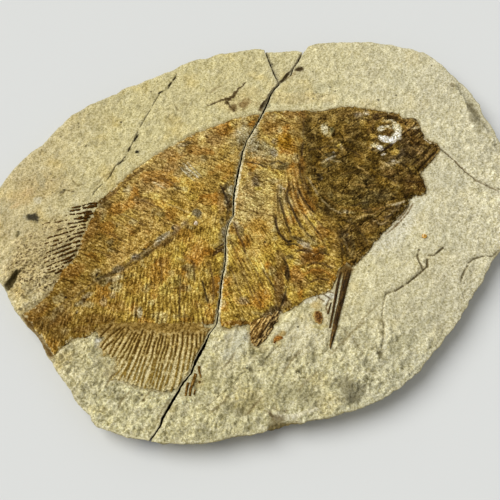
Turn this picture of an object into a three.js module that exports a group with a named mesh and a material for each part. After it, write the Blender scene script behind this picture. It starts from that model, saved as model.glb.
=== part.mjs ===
// Fossil fish slab: a hand-trimmed plate of fine cream limestone, broken in two and
// refitted, with a small third splinter at the top edge, and a deep-bodied bony fish
// lying flat on its upper face. Millimetres, +Z up. The plate lies on its flat
// underside (z = 0), the fish faces up, the head points to +X and its back to +Y.
import * as THREE from 'three';

// ---- driving dimensions (mm) ----
const REAR_T = 12.0;        // thickness of the rear half of the plate
const FRONT_T = 12.8;       // the front half stands a little higher along the break
const WEDGE_T = 9.6;        // the splinter at the top edge has lost its upper layer
const CHAMFER_DROP = 1.4;   // height of the broken arris round the upper face
const BELLY_LEVEL = 0.50;   // share of the height at which the undercut side wall changes slope
const TRUNK_H = 1.1;        // relief of the scaled trunk above the bedding plane
const SKULL_H = 1.6;        // relief of the head bones
const FIN_H = 0.7;          // relief of the pressed fins
const RAY_H = 0.5;          // relief of the thin rear dorsal rays
const SPINE_H = 1.3;        // relief of the glossy pectoral spines
const CHIP_H = 0.8;         // relief of the loose bone chips
const BEAD_R = 1.55;        // radius of the amber-coloured bead
const BEAD_H = 1.2;         // its height above the bedding plane

const COLOURS = {
  limestone: 0xc4b98c, trunk: 0x9a7c3e, skull: 0x6a5427, fin: 0x88723f,
  ray: 0x3b3020, spine: 0x2a1c0e, chip: 0x5a3a1c, amber: 0xb08a3a,
};

// ---- outlines ----
// Plate pieces: [x, y, inset of the upper rim, inset of the lower rim]
const REAR_PLATE = [
  [-46.47, -116.29, 0.35, 0], [-45.95, -112.62, 0.35, 0], [-44.06, -108.98, 0.35, 0], [-42.19, -105.36, 0.35, 0],
  [-39.82, -101.21, 0.35, 0], [-37.74, -97.64, 0.35, 0], [-35.81, -93.92, 0.35, 0], [-32.36, -89.68, 0.35, 0],
  [-29.79, -81.51, 0.35, 0], [-25.81, -73.83, 0.35, 0], [-22.41, -66.79, 0.35, 0], [-19.5, -62.32, 0.35, 0],
  [-18.93, -56.12, 0.35, 0], [-18.01, -46.89, 0.35, 0], [-17.34, -37.48, 0.35, 0], [-16.07, -30.91, 0.35, 0],
  [-15.39, -24.89, 0.35, 0], [-15.48, -18.18, 0.35, 0], [-15.57, -11.35, 0.35, 0], [-14.73, -6.3, 0.35, 0],
  [-13.1, -0.57, 0.35, 0], [-11.23, 2.59, 0.35, 0], [-11.3, 9.62, 0.35, 0], [-11.18, 16.17, 0.35, 0],
  [-10.64, 21.47, 0.35, 0], [-9.54, 27.48, 0.35, 0], [-7.85, 36.26, 0.35, 0], [-6.14, 45.21, 0.35, 0],
  [-3.63, 52.86, 0.35, 0], [-0.67, 58.51, 0.35, 0], [2.31, 64.2, 0.35, 0], [3.52, 67.06, 0.35, 0],
  [5.34, 71.39, 0.35, 0], [7.17, 75.75, 0.35, 0], [8.4, 79.41, 0.35, 0], [9.64, 82.36, 0.35, 0],
  [10.9, 86.08, 0.35, 0], [13.41, 90.59, 0.35, 0], [16.48, 94.26, 0.35, 0], [14.08, 99.44, 0.35, 0],
  [11.7, 106.34, 0.35, 0], [9.29, 114.1, 0.35, 0], [7.57, 120.84, 0.5, 0.3], [1.47, 121.58, 0.75, 2.2],
  [-9.81, 119.61, 0.75, 2.2], [-21.05, 117.49, 0.75, 2.2], [-29.71, 113.88, 0.75, 2.2], [-34.07, 113.57, 0.75, 2.2],
  [-42.66, 109.68, 0.75, 2.2], [-48.69, 105.36, 0.75, 2.2], [-64.36, 97.56, 0.75, 2.2], [-80.44, 89.87, 0.75, 2.2],
  [-82.69, 87.18, 0.75, 2.2], [-97.89, 79.48, 0.75, 2.2], [-109.38, 70.5, 0.75, 2.2], [-117.12, 60.44, 0.75, 2.2],
  [-124.34, 50.22, 0.75, 2.2], [-131.78, 43.27, 0.75, 2.2], [-139.54, 32.67, 0.75, 2.2], [-142.54, 26.61, 0.75, 2.2],
  [-145.39, 20.62, 0.75, 2.2], [-147.38, 15.34, 0.75, 2.2], [-149.25, 8.17, 0.75, 2.2], [-149.99, -0.81, 0.75, 2.2],
  [-149.61, -9.66, 0.81, 2.68], [-147.84, -18.35, 0.87, 3.27], [-145, -26.9, 0.94, 3.87], [-141.37, -33.53, 1, 4.4],
  [-137.74, -38.29, 1, 4.4], [-132.67, -44.78, 1, 4.4], [-132.23, -46.53, 0.99, 4.3], [-126.73, -55.37, 0.5, 4.5],
  [-120.63, -62.76, 0.5, 4.5], [-113.67, -69.49, 0.5, 4.5], [-110.51, -73.93, 0.5, 4.5], [-106.92, -81.06, 0.5, 4.5],
  [-104.24, -83.78, 0.5, 4.5], [-101.56, -88.5, 1, 4.4], [-97.83, -93.3, 1, 4.4], [-93.58, -98.59, 1, 4.4],
  [-91.45, -102.78, 1, 4.4], [-86.47, -108.47, 1, 4.4], [-82.39, -111.86, 1, 4.4], [-81.3, -114.62, 1, 4.4],
  [-78.41, -117.4, 1, 4.4], [-70.68, -120.18, 1, 4.4], [-62.51, -122.83, 1, 4.4], [-51.61, -124.57, 1.2, 3.4],
];
const FRONT_PLATE = [
  [32.58, 118.87, 0.4, 0.2], [29.82, 114.75, 0.3, 0], [27.71, 110.17, 0.3, 0], [25.78, 107.08, 0.3, 0],
  [23.15, 100.17, 0.3, 0], [19.96, 96.31, 0.3, 0], [16.83, 94.08, 0.3, 0], [13.75, 90.35, 0.3, 0],
  [11.28, 85.91, 0.3, 0], [10.03, 82.21, 0.3, 0], [8.8, 79.27, 0.3, 0], [7.56, 75.6, 0.3, 0],
  [5.72, 71.23, 0.3, 0], [3.9, 66.9, 0.3, 0], [2.69, 64.02, 0.3, 0], [-0.3, 58.32, 0.3, 0],
  [-3.24, 52.7, 0.3, 0], [-5.41, 45.03, 0.3, 0], [-7.11, 36.12, 0.3, 0], [-8.8, 27.35, 0.3, 0],
  [-9.9, 21.37, 0.3, 0], [-10.43, 16.12, 0.3, 0], [-10.88, 9.62, 0.3, 0], [-10.82, 2.48, 0.3, 0],
  [-12.72, -0.74, 0.3, 0], [-14.32, -6.4, 0.3, 0], [-15.15, -11.38, 0.3, 0], [-15.06, -18.17, 0.3, 0],
  [-14.97, -24.91, 0.3, 0], [-15.66, -30.97, 0.3, 0], [-16.93, -37.53, 0.3, 0], [-17.59, -46.92, 0.3, 0],
  [-18.51, -56.16, 0.3, 0], [-19.1, -62.46, 0.3, 0], [-22.04, -66.98, 0.3, 0], [-24.63, -74.38, 0.3, 0],
  [-28.6, -82.03, 0.3, 0], [-31.75, -90.02, 0.3, 0], [-35.22, -94.3, 0.3, 0], [-37.12, -97.96, 0.3, 0],
  [-38.85, -101.73, 0.3, 0], [-41.22, -105.89, 0.3, 0], [-43.09, -109.48, 0.3, 0], [-44.92, -113, 0.3, 0],
  [-46.08, -116.44, 0.3, 0], [-51.02, -124.79, 1.2, 3.4], [-45.41, -125.92, 1, 4.4], [-38.44, -126.17, 1, 4.4],
  [-30.98, -126.42, 1, 4.4], [-25.03, -125.92, 1, 4.4], [-15.61, -124.33, 1, 4.4], [-13.63, -123.43, 1, 4.4],
  [-6.66, -122.33, 1, 4.4], [0.83, -121.33, 1, 4.4], [6.33, -120.03, 1, 4.4], [9.02, -117.59, 5, 1.2],
  [11.58, -116.92, 5, 1.2], [14.14, -116.2, 5, 1.2], [21.44, -115.99, 1, 4.4], [25.46, -115.78, 1, 4.4],
  [28.02, -114.46, 1, 4.4], [37.62, -113.24, 1, 4.4], [46.33, -110.38, 1, 4.4], [49.37, -110.17, 1, 4.4],
  [57.14, -107.19, 1, 4.4], [64.96, -103.97, 1, 4.4], [67.13, -102.1, 1, 4.4], [68.89, -101.73, 1, 4.4],
  [71.95, -98.96, 1, 4.4], [74.79, -98.06, 1, 4.4], [79.05, -93.57, 1, 4.4], [81.19, -92.51, 1, 4.4],
  [83.25, -90.1, 1, 4.4], [85.04, -89.73, 1, 4.4], [86.73, -88.17, 1, 4.4], [88, -85.59, 1, 4.4],
  [94.31, -78.19, 1, 4.4], [97.86, -75.12, 1, 4.4], [101.38, -69.91, 1, 4.4], [105.09, -66.21, 1, 4.4],
  [110.25, -59.21, 1, 4.4], [111.25, -56.92, 1, 4.4], [114.7, -52.91, 1, 4.4], [115.9, -49.44, 1, 4.4],
  [117.98, -47.69, 1, 4.4], [119.01, -45.36, 1, 4.4], [125.13, -37.7, 1, 4.4], [127.03, -32.93, 0.98, 4.27],
  [128.67, -31.13, 1, 4.4], [131.14, -26.3, 1, 4.4], [136.12, -20.2, 1, 4.4], [142.28, -10.28, 0.98, 4.23],
  [146.37, -0.81, 0.9, 3.53], [149.02, 10.12, 0.82, 2.86], [150.01, 21.28, 0.76, 2.32], [149.85, 32.67, 0.75, 2.2],
  [148.51, 44.31, 0.75, 2.2], [145.8, 52.67, 1.6, 2.2], [144.51, 55.48, 1.6, 2.2], [144.13, 59.02, 1.6, 2.2],
  [140.82, 67.25, 1.6, 2.2], [137.38, 74.86, 1.6, 2.2], [136.97, 78.52, 1.6, 2.2], [133.02, 87.7, 1.6, 2.2],
  [126.14, 97.19, 1.6, 2.2], [118.8, 107.13, 1.6, 2.2], [112.33, 113.34, 0.75, 2.2], [106.55, 118.27, 0.75, 2.2],
  [103.45, 118.59, 0.75, 2.2], [99.88, 120.79, 0.75, 2.2], [87.58, 123.96, 0.75, 2.2], [73.91, 126.35, 0.75, 2.2],
  [51.86, 126.19, 0.75, 2.2], [41.75, 125.39, 0.75, 2.2], [34.76, 123.01, 0.75, 2.2],
];
const WEDGE_PLATE = [
  [9.78, 114.24, 0.3, 0], [12.17, 106.5, 0.3, 0], [14.55, 99.62, 0.3, 0], [16.74, 94.43, 0.3, 0],
  [19.62, 96.68, 0.3, 0], [22.72, 100.42, 0.3, 0], [25.33, 107.3, 0.3, 0], [27.27, 110.4, 0.3, 0],
  [29.1, 115.1, 0.3, 0], [31.56, 120.79, 0.75, 2.2], [27.83, 122.14, 0.75, 2.2], [13.38, 120.79, 0.75, 2.2],
  [7.97, 120.84, 0.5, 0.3],
];

// Fish pieces: [x, y] outline on the bedding plane
const TRUNK_REAR = [
  [-87.48, 9.62], [-88.14, 6.97], [-90.19, 4.39], [-91.27, 0.57], [-92.86, -3.88], [-94.44, -8.27], [-95.5, -13.88], [-96.27, -18.21],
  [-97.87, -22.51], [-98.7, -25.58], [-102.71, -29.85], [-104.69, -31.62], [-106.16, -35.77], [-107.66, -41.05], [-110.41, -45.74], [-113.32, -48.65],
  [-116.15, -52.12], [-119.02, -54.99], [-123.02, -57.28], [-121.85, -58.13], [-119.13, -60.97], [-116.06, -64.64], [-112.42, -68.84], [-109.63, -71.34],
  [-107.46, -74.94], [-105.36, -78.5], [-104.15, -80.14], [-102.29, -77.96], [-99.95, -75.21], [-96.09, -71.9], [-92.07, -69.95], [-87.86, -69.95],
  [-84.85, -68.28], [-82.46, -66.21], [-79.44, -63.94], [-74.72, -62.8], [-67.82, -62.8], [-59.86, -63.08], [-51.92, -63.37], [-43.99, -63.37],
  [-36.07, -63.08], [-28.14, -62.8], [-20.83, -62.27], [-19.46, -55.98], [-18.56, -46.84], [-17.89, -37.41], [-16.62, -30.83], [-15.94, -24.86],
  [-16.03, -18.18], [-16.11, -11.3], [-15.27, -6.18], [-13.61, -0.36], [-11.76, 2.73], [-11.85, 9.63], [-11.73, 16.21], [-11.19, 21.55],
  [-10.08, 27.59], [-8.39, 36.37], [-6.67, 45.34], [-4.14, 53.07], [-1.16, 58.77], [1.82, 64.44], [2.98, 67.18], [4.33, 72.04],
  [-0.47, 71.31], [-4.67, 70.23], [-10.65, 68.78], [-16.59, 65.9], [-22.52, 63.4], [-27.82, 60.9], [-33.11, 58.77], [-38.35, 55.59],
  [-43.55, 52.43], [-48.13, 48.93], [-52.69, 45.81], [-56.68, 43.39], [-60.01, 39.95], [-65.04, 36.19], [-68.9, 32.8], [-72.14, 29.09],
  [-76.47, 24.74], [-80.69, 19.43], [-84.91, 14.83], [-88.07, 11.57],
];
const TRUNK_FRONT = [
  [4.37, 66.61], [3.19, 63.79], [0.19, 58.06], [-2.74, 52.49], [-4.87, 44.89], [-6.57, 36.02], [-8.26, 27.24], [-9.36, 21.29],
  [-9.88, 16.08], [-10.33, 9.61], [-10.29, 2.34], [-12.21, -0.96], [-13.78, -6.52], [-14.6, -11.42], [-14.51, -18.16], [-14.42, -24.94],
  [-15.12, -31.06], [-16.38, -37.6], [-17.04, -46.97], [-17.96, -56.09], [-17.29, -62.11], [-16.74, -63.52], [-15.13, -65.48], [-12.75, -65.77],
  [-9.6, -64.19], [-5.9, -63.52], [-1.67, -62.95], [2.57, -62.11], [5.76, -60.69], [8.96, -58.99], [12.17, -57.28], [14.84, -56.42],
  [16.45, -56.14], [20.21, -54.42], [25.11, -50.97], [30.04, -47.49], [34.93, -46.03], [38.73, -45.16], [41.48, -43.69], [43.04, -42.52],
  [44.67, -37.51], [46.47, -31.42], [49.48, -29.14], [49.55, -27.63], [49.08, -26.11], [47.68, -20.94], [46.66, -15.4], [45.68, -10.11],
  [43.44, -3.83], [39.41, 0.62], [35.06, 5.1], [31.03, 11.89], [28.3, 20.09], [27.07, 28.09], [26.46, 38.24], [27, 47.89],
  [28.18, 59.12], [28.71, 67.7], [28.86, 73.49], [28.38, 73.49], [22.38, 73.85], [16.36, 73.49], [10.35, 73.13], [7.64, 72.55],
];
const SKULL = [
  [30.32, 67.7], [29.78, 59.12], [28.59, 47.89], [28.04, 38.24], [28.65, 28.76], [29.86, 20.76], [32.48, 12.87], [36.23, 6.39],
  [40.58, 1.89], [44.9, -2.56], [47.41, -8.86], [48.26, -14.47], [49.1, -20.02], [51, -26.11], [53.55, -29.74], [56.97, -27.33],
  [60.47, -23.68], [64.63, -18.79], [67.67, -14.47], [70.7, -10.74], [74.31, -6.98], [77.39, -3.19], [80.46, 0.3], [84.14, 4.14],
  [87.88, 8.32], [88.8, 12.55], [91.21, 14.18], [95.32, 15.49], [98.83, 16.47], [99.56, 18.12], [99.23, 20.76], [98.45, 24.74],
  [97.31, 28.09], [97.55, 30.78], [99.18, 32.8], [101.11, 34.83], [103.73, 37.9], [106.36, 40.98], [108.67, 43.73], [109.83, 46.5],
  [109.45, 48.58], [107.89, 50.68], [104.49, 52.08], [101.73, 54.18], [100.28, 57.71], [99.41, 61.26], [98.9, 65.54], [97, 67.7],
  [94.07, 68.42], [91.02, 67.7], [88.68, 68.42], [87.71, 71.31], [82.38, 72.18], [76.47, 73.64], [70.55, 74.95], [64.57, 75.68],
  [58.6, 76.7], [53.78, 76.63], [48.3, 75.31], [42.82, 73.71], [35.6, 73.71], [30.19, 73.49],
];
const ANAL_FIN = [
  [-81.07, -69.4], [-78.64, -70.23], [-79.78, -72.45], [-80.87, -75.21], [-79.44, -76.86], [-77.9, -79.87], [-75.32, -79.59], [-73.12, -81.23],
  [-70.82, -80.68], [-71.96, -82.86], [-70.55, -84.48], [-71.66, -87.17], [-69.77, -88.25], [-71.66, -90.65], [-73.03, -93.05], [-69.43, -93.21],
  [-66.82, -93.84], [-64.72, -94.64], [-62.1, -95.43], [-60.52, -96.22], [-57.4, -97.01], [-54.31, -97.54], [-52.24, -98.07], [-49.68, -98.07],
  [-47.84, -99.12], [-46.03, -99.64], [-43.82, -97.8], [-41.98, -99.12], [-40.51, -97.54], [-39.57, -98.07], [-37.99, -96.52], [-36.61, -93.41],
  [-33.19, -89.22], [-30.39, -81.25], [-26.4, -73.56], [-23.44, -66.4], [-22.02, -64.4], [-28.1, -64.08], [-36.02, -64.36], [-43.94, -64.64],
  [-51.86, -64.64], [-59.8, -64.36], [-67.75, -64.08], [-74.62, -64.08], [-79.29, -65.2], [-81.75, -67.45],
];
const DORSAL_FIN = [
  [-89.61, 9.83], [-93.6, 8.4], [-97.96, 7.09], [-103.77, 6.1], [-103.67, 5.39], [-97.77, 6.2], [-93.28, 7.34], [-89.2, 8.6],
  [-91.38, 6.35], [-95.52, 4.84], [-99.35, 3.97], [-102.1, 3.47], [-106, 3.1], [-105.96, 2.61], [-102.03, 2.88], [-99.22, 3.28],
  [-95.3, 4.07], [-91.08, 5.5], [-92.8, 2.57], [-97.42, 1.16], [-102.95, 0.5], [-105.74, 0.15], [-108.51, -0.46], [-111.24, -1.12],
  [-114, -1.53], [-116.75, -2.13], [-116.65, -2.61], [-113.9, -2.07], [-111.13, -1.72], [-108.37, -1.11], [-105.63, -0.57], [-102.86, -0.28],
  [-97.25, 0.33], [-92.54, 1.71], [-93.43, 0.75], [-97.27, -1.09], [-101.05, -1.86], [-103.84, -2.03], [-106.61, -2.7], [-109.89, -3.56],
  [-112.06, -4.22], [-111.92, -4.7], [-109.74, -4.1], [-106.46, -3.31], [-103.74, -2.72], [-100.95, -2.62], [-97.01, -1.88], [-93.04, -0.06],
  [-94.38, -1.96], [-97.08, -3.11], [-99.77, -3.77], [-102.55, -4.25], [-104.7, -5.23], [-107.96, -5.89], [-110.14, -6.42], [-110.03, -6.91],
  [-107.84, -6.44], [-104.52, -5.83], [-102.36, -4.92], [-99.63, -4.52], [-96.83, -3.91], [-94.03, -2.79], [-95.06, -3.65], [-96.96, -5.15],
  [-99.61, -5.97], [-102.33, -6.82], [-104.48, -7.73], [-107.69, -8.95], [-110.38, -9.66], [-113.08, -10.5], [-112.94, -10.97], [-110.24, -10.19],
  [-107.5, -9.53], [-104.24, -8.36], [-102.1, -7.51], [-99.38, -6.73], [-96.59, -5.91], [-94.51, -4.36], [-96.06, -6.44], [-97.85, -7.86],
  [-101.03, -9.13], [-103.16, -10.16], [-107.4, -12.05], [-110.06, -12.94], [-112.21, -13.58], [-114.35, -14.23], [-114.21, -14.71], [-112.05, -14.11],
  [-109.88, -13.52], [-107.16, -12.67], [-102.87, -10.82], [-100.73, -9.85], [-97.45, -8.61], [-95.51, -7.15], [-96.69, -9.18], [-100.86, -11.44],
  [-102.92, -12.64], [-107.19, -14.16], [-111.43, -16.06], [-114.06, -17.33], [-113.85, -17.78], [-111.2, -16.59], [-106.95, -14.77], [-102.63, -13.32],
  [-100.47, -12.16], [-96.27, -9.97], [-97.37, -12.34], [-98.99, -13.8], [-101.61, -14.92], [-103.71, -15.99], [-105.81, -16.88], [-107.93, -17.7],
  [-110.07, -18.41], [-113.76, -20.16], [-113.55, -20.61], [-109.86, -18.92], [-107.73, -18.28], [-105.57, -17.5], [-103.41, -16.66], [-101.29, -15.63],
  [-98.56, -14.52], [-96.78, -13.02], [-97.76, -14.73], [-101.44, -17.2], [-104.02, -18.44], [-106.15, -19.2], [-108.79, -20.47], [-110.87, -21.6],
  [-115.55, -24.07], [-115.32, -24.51], [-110.61, -22.1], [-108.51, -21.04], [-105.88, -19.85], [-103.73, -19.14], [-101.02, -17.92], [-97.27, -15.48],
  [-98.29, -17.46], [-100.7, -19.42], [-102.76, -20.4], [-104.85, -21.53], [-107.45, -22.96], [-110.04, -24.32], [-113.16, -25.86], [-115.23, -26.8],
  [-115.04, -27.25], [-112.92, -26.37], [-109.77, -24.87], [-107.14, -23.55], [-104.51, -22.17], [-102.41, -21.1], [-100.24, -20.13], [-97.73, -18.16],
  [-99.6, -20.85], [-100.99, -22.76], [-102.97, -23.95], [-105.57, -25.19], [-108.17, -26.44], [-111.3, -27.98], [-113.36, -29.1], [-113.13, -29.54],
  [-111.05, -28.48], [-107.91, -27], [-105.27, -25.82], [-102.62, -24.63], [-100.43, -23.39], [-98.88, -21.39], [-100.46, -23.72], [-101.8, -25.62],
  [-104.31, -27], [-107.94, -28.84], [-110.53, -30.08], [-114.14, -31.92], [-113.92, -32.36], [-110.28, -30.6], [-107.65, -29.43], [-103.97, -27.65],
  [-101.27, -26.25], [-99.74, -24.25], [-99.28, -25.08], [-98.47, -21.92], [-96.91, -17.39], [-96, -12.42], [-94.67, -6.65], [-92.97, -1.89],
  [-91.51, 2.58], [-89.7, 6.25], [-88.48, 8.79], [-88.55, 10.85],
];
const PELVIC_FIN = [
  [12.16, -58.31], [8.95, -60.01], [5.75, -61.71], [2.56, -63.07], [-1.4, -63.97], [-1.41, -67.45], [-1.67, -70.23], [-1.14, -73],
  [0.42, -75.21], [3.04, -74.66], [5.14, -73], [6.73, -71.34], [8.86, -68.28], [10.81, -64.08], [13.18, -60.69], [15.14, -57.85],
  [14.83, -57.05],
];
const PECTORAL_SPINE_MAIN = [
  [48.28, -36.91], [46, -47.49], [43.6, -56.71], [40.8, -68.56], [39.76, -74.66], [40.23, -77.13], [40.94, -75.21], [43.22, -68.56],
  [46.2, -57.85], [49.6, -46.32], [51.8, -38.1], [53.02, -34.53], [53.47, -31.24], [50.2, -31.12],
];
const PECTORAL_SPINE_MIDDLE = [
  [44.73, -41.05], [42.94, -49.81], [41.1, -58.99], [39.95, -64.92], [40.97, -64.64], [42.85, -56.71], [44.98, -47.49], [46.38, -40.46],
  [48.21, -32.74], [47.15, -32.14],
];
const PECTORAL_SPINE_SHORT = [
  [40.28, -53.27], [39.22, -56.99], [40.11, -57.28], [41.99, -50.68], [41.48, -50.1],
];
const ANAL_RAY_TIP_1 = [
  [-34.03, -94.49], [-34.49, -97.44], [-34.96, -101.66], [-33.92, -101.8], [-33.24, -97.64], [-32.56, -94.78],
];
const ANAL_RAY_TIP_2 = [
  [-30.3, -89.61], [-31.62, -94.42], [-32.72, -98.2], [-32.79, -101.7], [-31.61, -101.76], [-31.38, -98.45], [-30.15, -94.86], [-28.67, -90.09],
];
const ANAL_RAY_TIP_3 = [
  [-30.04, -98.23], [-30.49, -100.88], [-29.88, -101.02], [-29.16, -98.43],
];
const ANAL_RAY_TIP_4 = [
  [-28.44, -85.77], [-28.54, -88.06], [-27.29, -92.11], [-26.42, -91.86], [-27.44, -87.9], [-27.14, -85.89],
];
const ANAL_RAY_TIP_5 = [
  [-28.46, -94.16], [-27.73, -95.13], [-26.85, -94.68], [-27.21, -93.53],
];
const BONE_CHIP_BROWN = [
  [31.98, -58.42], [32.79, -61.26], [34.85, -62.95], [36.73, -62.11], [37.44, -58.99], [36.43, -56.14], [34.61, -54.71], [32.72, -55.57],
];
const BONE_CHIP_ORANGE = [
  [11.68, -74.11], [12.49, -71.9], [14.08, -71.34], [15.67, -70.4], [14.63, -69.4], [12.54, -68.84], [10.83, -71.07], [10.64, -73.28],
];

// ---- geometry helpers ----
// inward unit normal at each corner of a closed counter-clockwise outline
function inwardNormals(ring) {
  const n = ring.length;
  const edge = ring.map((p, i) => {
    const q = ring[(i + 1) % n];
    const dx = q[0] - p[0], dy = q[1] - p[1], l = Math.hypot(dx, dy);
    return [-dy / l, dx / l];
  });
  return ring.map((_, i) => {
    const a = edge[(i + n - 1) % n], b = edge[i];
    const x = a[0] + b[0], y = a[1] + b[1], l = Math.hypot(x, y);
    return [x / l, y / l];
  });
}

// closed solid through a stack of equal-length rings, with flat caps
function stack(loops) {
  const n = loops[0].ring.length, pos = [], idx = [];
  for (const { ring, z } of loops) for (const [x, y] of ring) pos.push(x, y, z);
  for (let k = 0; k + 1 < loops.length; k++) {
    for (let i = 0; i < n; i++) {
      const j = (i + 1) % n;
      const a = k * n + i, b = k * n + j, c = (k + 1) * n + j, d = (k + 1) * n + i;
      idx.push(a, b, c, a, c, d);
    }
  }
  const cap = (k, up) => {
    const contour = loops[k].ring.map(([x, y]) => new THREE.Vector2(x, y));
    for (const [a, b, c] of THREE.ShapeUtils.triangulateShape(contour, [])) {
      const A = contour[a], B = contour[b], C = contour[c];
      const ccw = (B.x - A.x) * (C.y - A.y) - (B.y - A.y) * (C.x - A.x) > 0;
      if (ccw === up) idx.push(k * n + a, k * n + b, k * n + c);
      else idx.push(k * n + a, k * n + c, k * n + b);
    }
  };
  cap(0, false);
  cap(loops.length - 1, true);
  const g = new THREE.BufferGeometry();
  g.setAttribute('position', new THREE.Float32BufferAttribute(pos, 3));
  g.setIndex(idx);
  g.computeVertexNormals();
  return g;
}

// a plate of stone: the side wall is widest just below the upper face and undercut below
// that, as it is when a plate is trimmed by blows on the fossil's side
function plate(outline, t) {
  const nrm = inwardNormals(outline);
  const inset = (f) => outline.map(([x, y, up, low], i) => {
    const d = f(up, low);
    return [x + nrm[i][0] * d, y + nrm[i][1] * d];
  });
  return stack([
    { z: 0, ring: inset((up, low) => low) },
    { z: t * BELLY_LEVEL, ring: inset((up, low) => 0.42 * low) },
    { z: t - CHAMFER_DROP, ring: inset((up) => 0.3 * up) },
    { z: t, ring: inset((up) => up) },
  ]);
}

// a thin pressed layer lying on the bedding plane, with a softened upper edge
function layer(outline, z0, h, soft) {
  const nrm = inwardNormals(outline);
  const top = outline.map(([x, y], i) => [x + nrm[i][0] * soft, y + nrm[i][1] * soft]);
  return stack([
    { z: z0, ring: outline },
    { z: z0 + 0.6 * h, ring: outline },
    { z: z0 + h, ring: top },
  ]);
}

// ---- the model ----
const model = new THREE.Group();
model.name = 'fossil_fish_slab';

function add(name, geometry, color, roughness, metalness = 0) {
  const mesh = new THREE.Mesh(geometry, new THREE.MeshStandardMaterial({ color, roughness, metalness }));
  mesh.name = name;
  model.add(mesh);
  return mesh;
}

// stone
add('slab_rear_half', plate(REAR_PLATE, REAR_T), COLOURS.limestone, 0.95);
add('slab_front_half', plate(FRONT_PLATE, FRONT_T), COLOURS.limestone, 0.95);
add('slab_top_wedge', plate(WEDGE_PLATE, WEDGE_T), COLOURS.limestone, 0.95);

// fish, rear half of the plate
add('trunk_rear', layer(TRUNK_REAR, REAR_T, TRUNK_H, 0.45), COLOURS.trunk, 0.6);
add('anal_fin', layer(ANAL_FIN, REAR_T, FIN_H, 0.45), COLOURS.fin, 0.65);
add('dorsal_fin', layer(DORSAL_FIN, REAR_T, RAY_H, 0.15), COLOURS.ray, 0.55);

// fish, front half of the plate
add('trunk_front', layer(TRUNK_FRONT, FRONT_T, TRUNK_H, 0.45), COLOURS.trunk, 0.6);
add('skull', layer(SKULL, FRONT_T, SKULL_H, 0.45), COLOURS.skull, 0.5);
add('pelvic_fin', layer(PELVIC_FIN, FRONT_T, FIN_H, 0.45), COLOURS.ray, 0.5);
add('pectoral_spine_main', layer(PECTORAL_SPINE_MAIN, FRONT_T, SPINE_H, 0.15), COLOURS.spine, 0.35);
add('pectoral_spine_middle', layer(PECTORAL_SPINE_MIDDLE, FRONT_T, 0.8 * SPINE_H, 0.15), COLOURS.spine, 0.35);
add('pectoral_spine_short', layer(PECTORAL_SPINE_SHORT, FRONT_T, 0.6 * SPINE_H, 0.15), COLOURS.spine, 0.35);

// ray tips that stayed on the front half when the plate broke
[ANAL_RAY_TIP_1, ANAL_RAY_TIP_2, ANAL_RAY_TIP_3, ANAL_RAY_TIP_4, ANAL_RAY_TIP_5].forEach((o, i) => {
  add(`anal_ray_tip_${i + 1}`, layer(o, FRONT_T, FIN_H, 0.15), COLOURS.fin, 0.6);
});

// loose bits in the stone
add('bone_chip_brown', layer(BONE_CHIP_BROWN, FRONT_T, CHIP_H, 0.15), COLOURS.chip, 0.5);
add('bone_chip_orange', layer(BONE_CHIP_ORANGE, FRONT_T, CHIP_H, 0.15), COLOURS.chip, 0.5);

// half-buried bead: a low dome, its profile closed on the axis
const beadProfile = [new THREE.Vector2(0, 0)];
for (let i = 0; i <= 5; i++) {
  const a = (i / 5) * Math.PI / 2;
  beadProfile.push(new THREE.Vector2(i === 5 ? 0 : BEAD_R * Math.cos(a), BEAD_H * Math.sin(a)));
}
const bead = new THREE.LatheGeometry(beadProfile, 14);
bead.rotateX(Math.PI / 2);
const beadMesh = add('amber_bead', bead, COLOURS.amber, 0.3);
beadMesh.position.set(95.20, -10.74, FRONT_T);

export default model;
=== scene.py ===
import bpy, math
import numpy as np
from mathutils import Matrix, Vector
from mathutils.geometry import delaunay_2d_cdt


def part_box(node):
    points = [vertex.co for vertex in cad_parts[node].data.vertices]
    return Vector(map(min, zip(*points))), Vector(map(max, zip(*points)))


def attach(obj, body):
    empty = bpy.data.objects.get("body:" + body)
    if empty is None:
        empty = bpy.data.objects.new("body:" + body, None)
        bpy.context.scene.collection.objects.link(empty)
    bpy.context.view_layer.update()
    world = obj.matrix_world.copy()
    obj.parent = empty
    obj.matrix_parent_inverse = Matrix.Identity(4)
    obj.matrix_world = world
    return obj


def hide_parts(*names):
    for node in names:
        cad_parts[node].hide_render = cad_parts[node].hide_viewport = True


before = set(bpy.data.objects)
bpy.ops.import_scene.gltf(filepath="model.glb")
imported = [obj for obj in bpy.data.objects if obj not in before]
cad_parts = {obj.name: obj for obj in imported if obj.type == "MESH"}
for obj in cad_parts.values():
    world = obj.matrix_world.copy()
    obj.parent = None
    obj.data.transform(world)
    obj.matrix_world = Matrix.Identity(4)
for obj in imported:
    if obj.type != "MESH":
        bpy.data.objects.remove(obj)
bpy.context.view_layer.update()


# Everything below is worked out in millimetres in the row frame and turned into metres
# when a mesh is made. Z_* are the levels of the bedding plane on the three plate pieces.
Z_REAR, Z_FRONT, Z_WEDGE = (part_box(n)[1].z * 1000 for n in ("slab_rear_half", "slab_front_half", "slab_top_wedge"))

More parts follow.
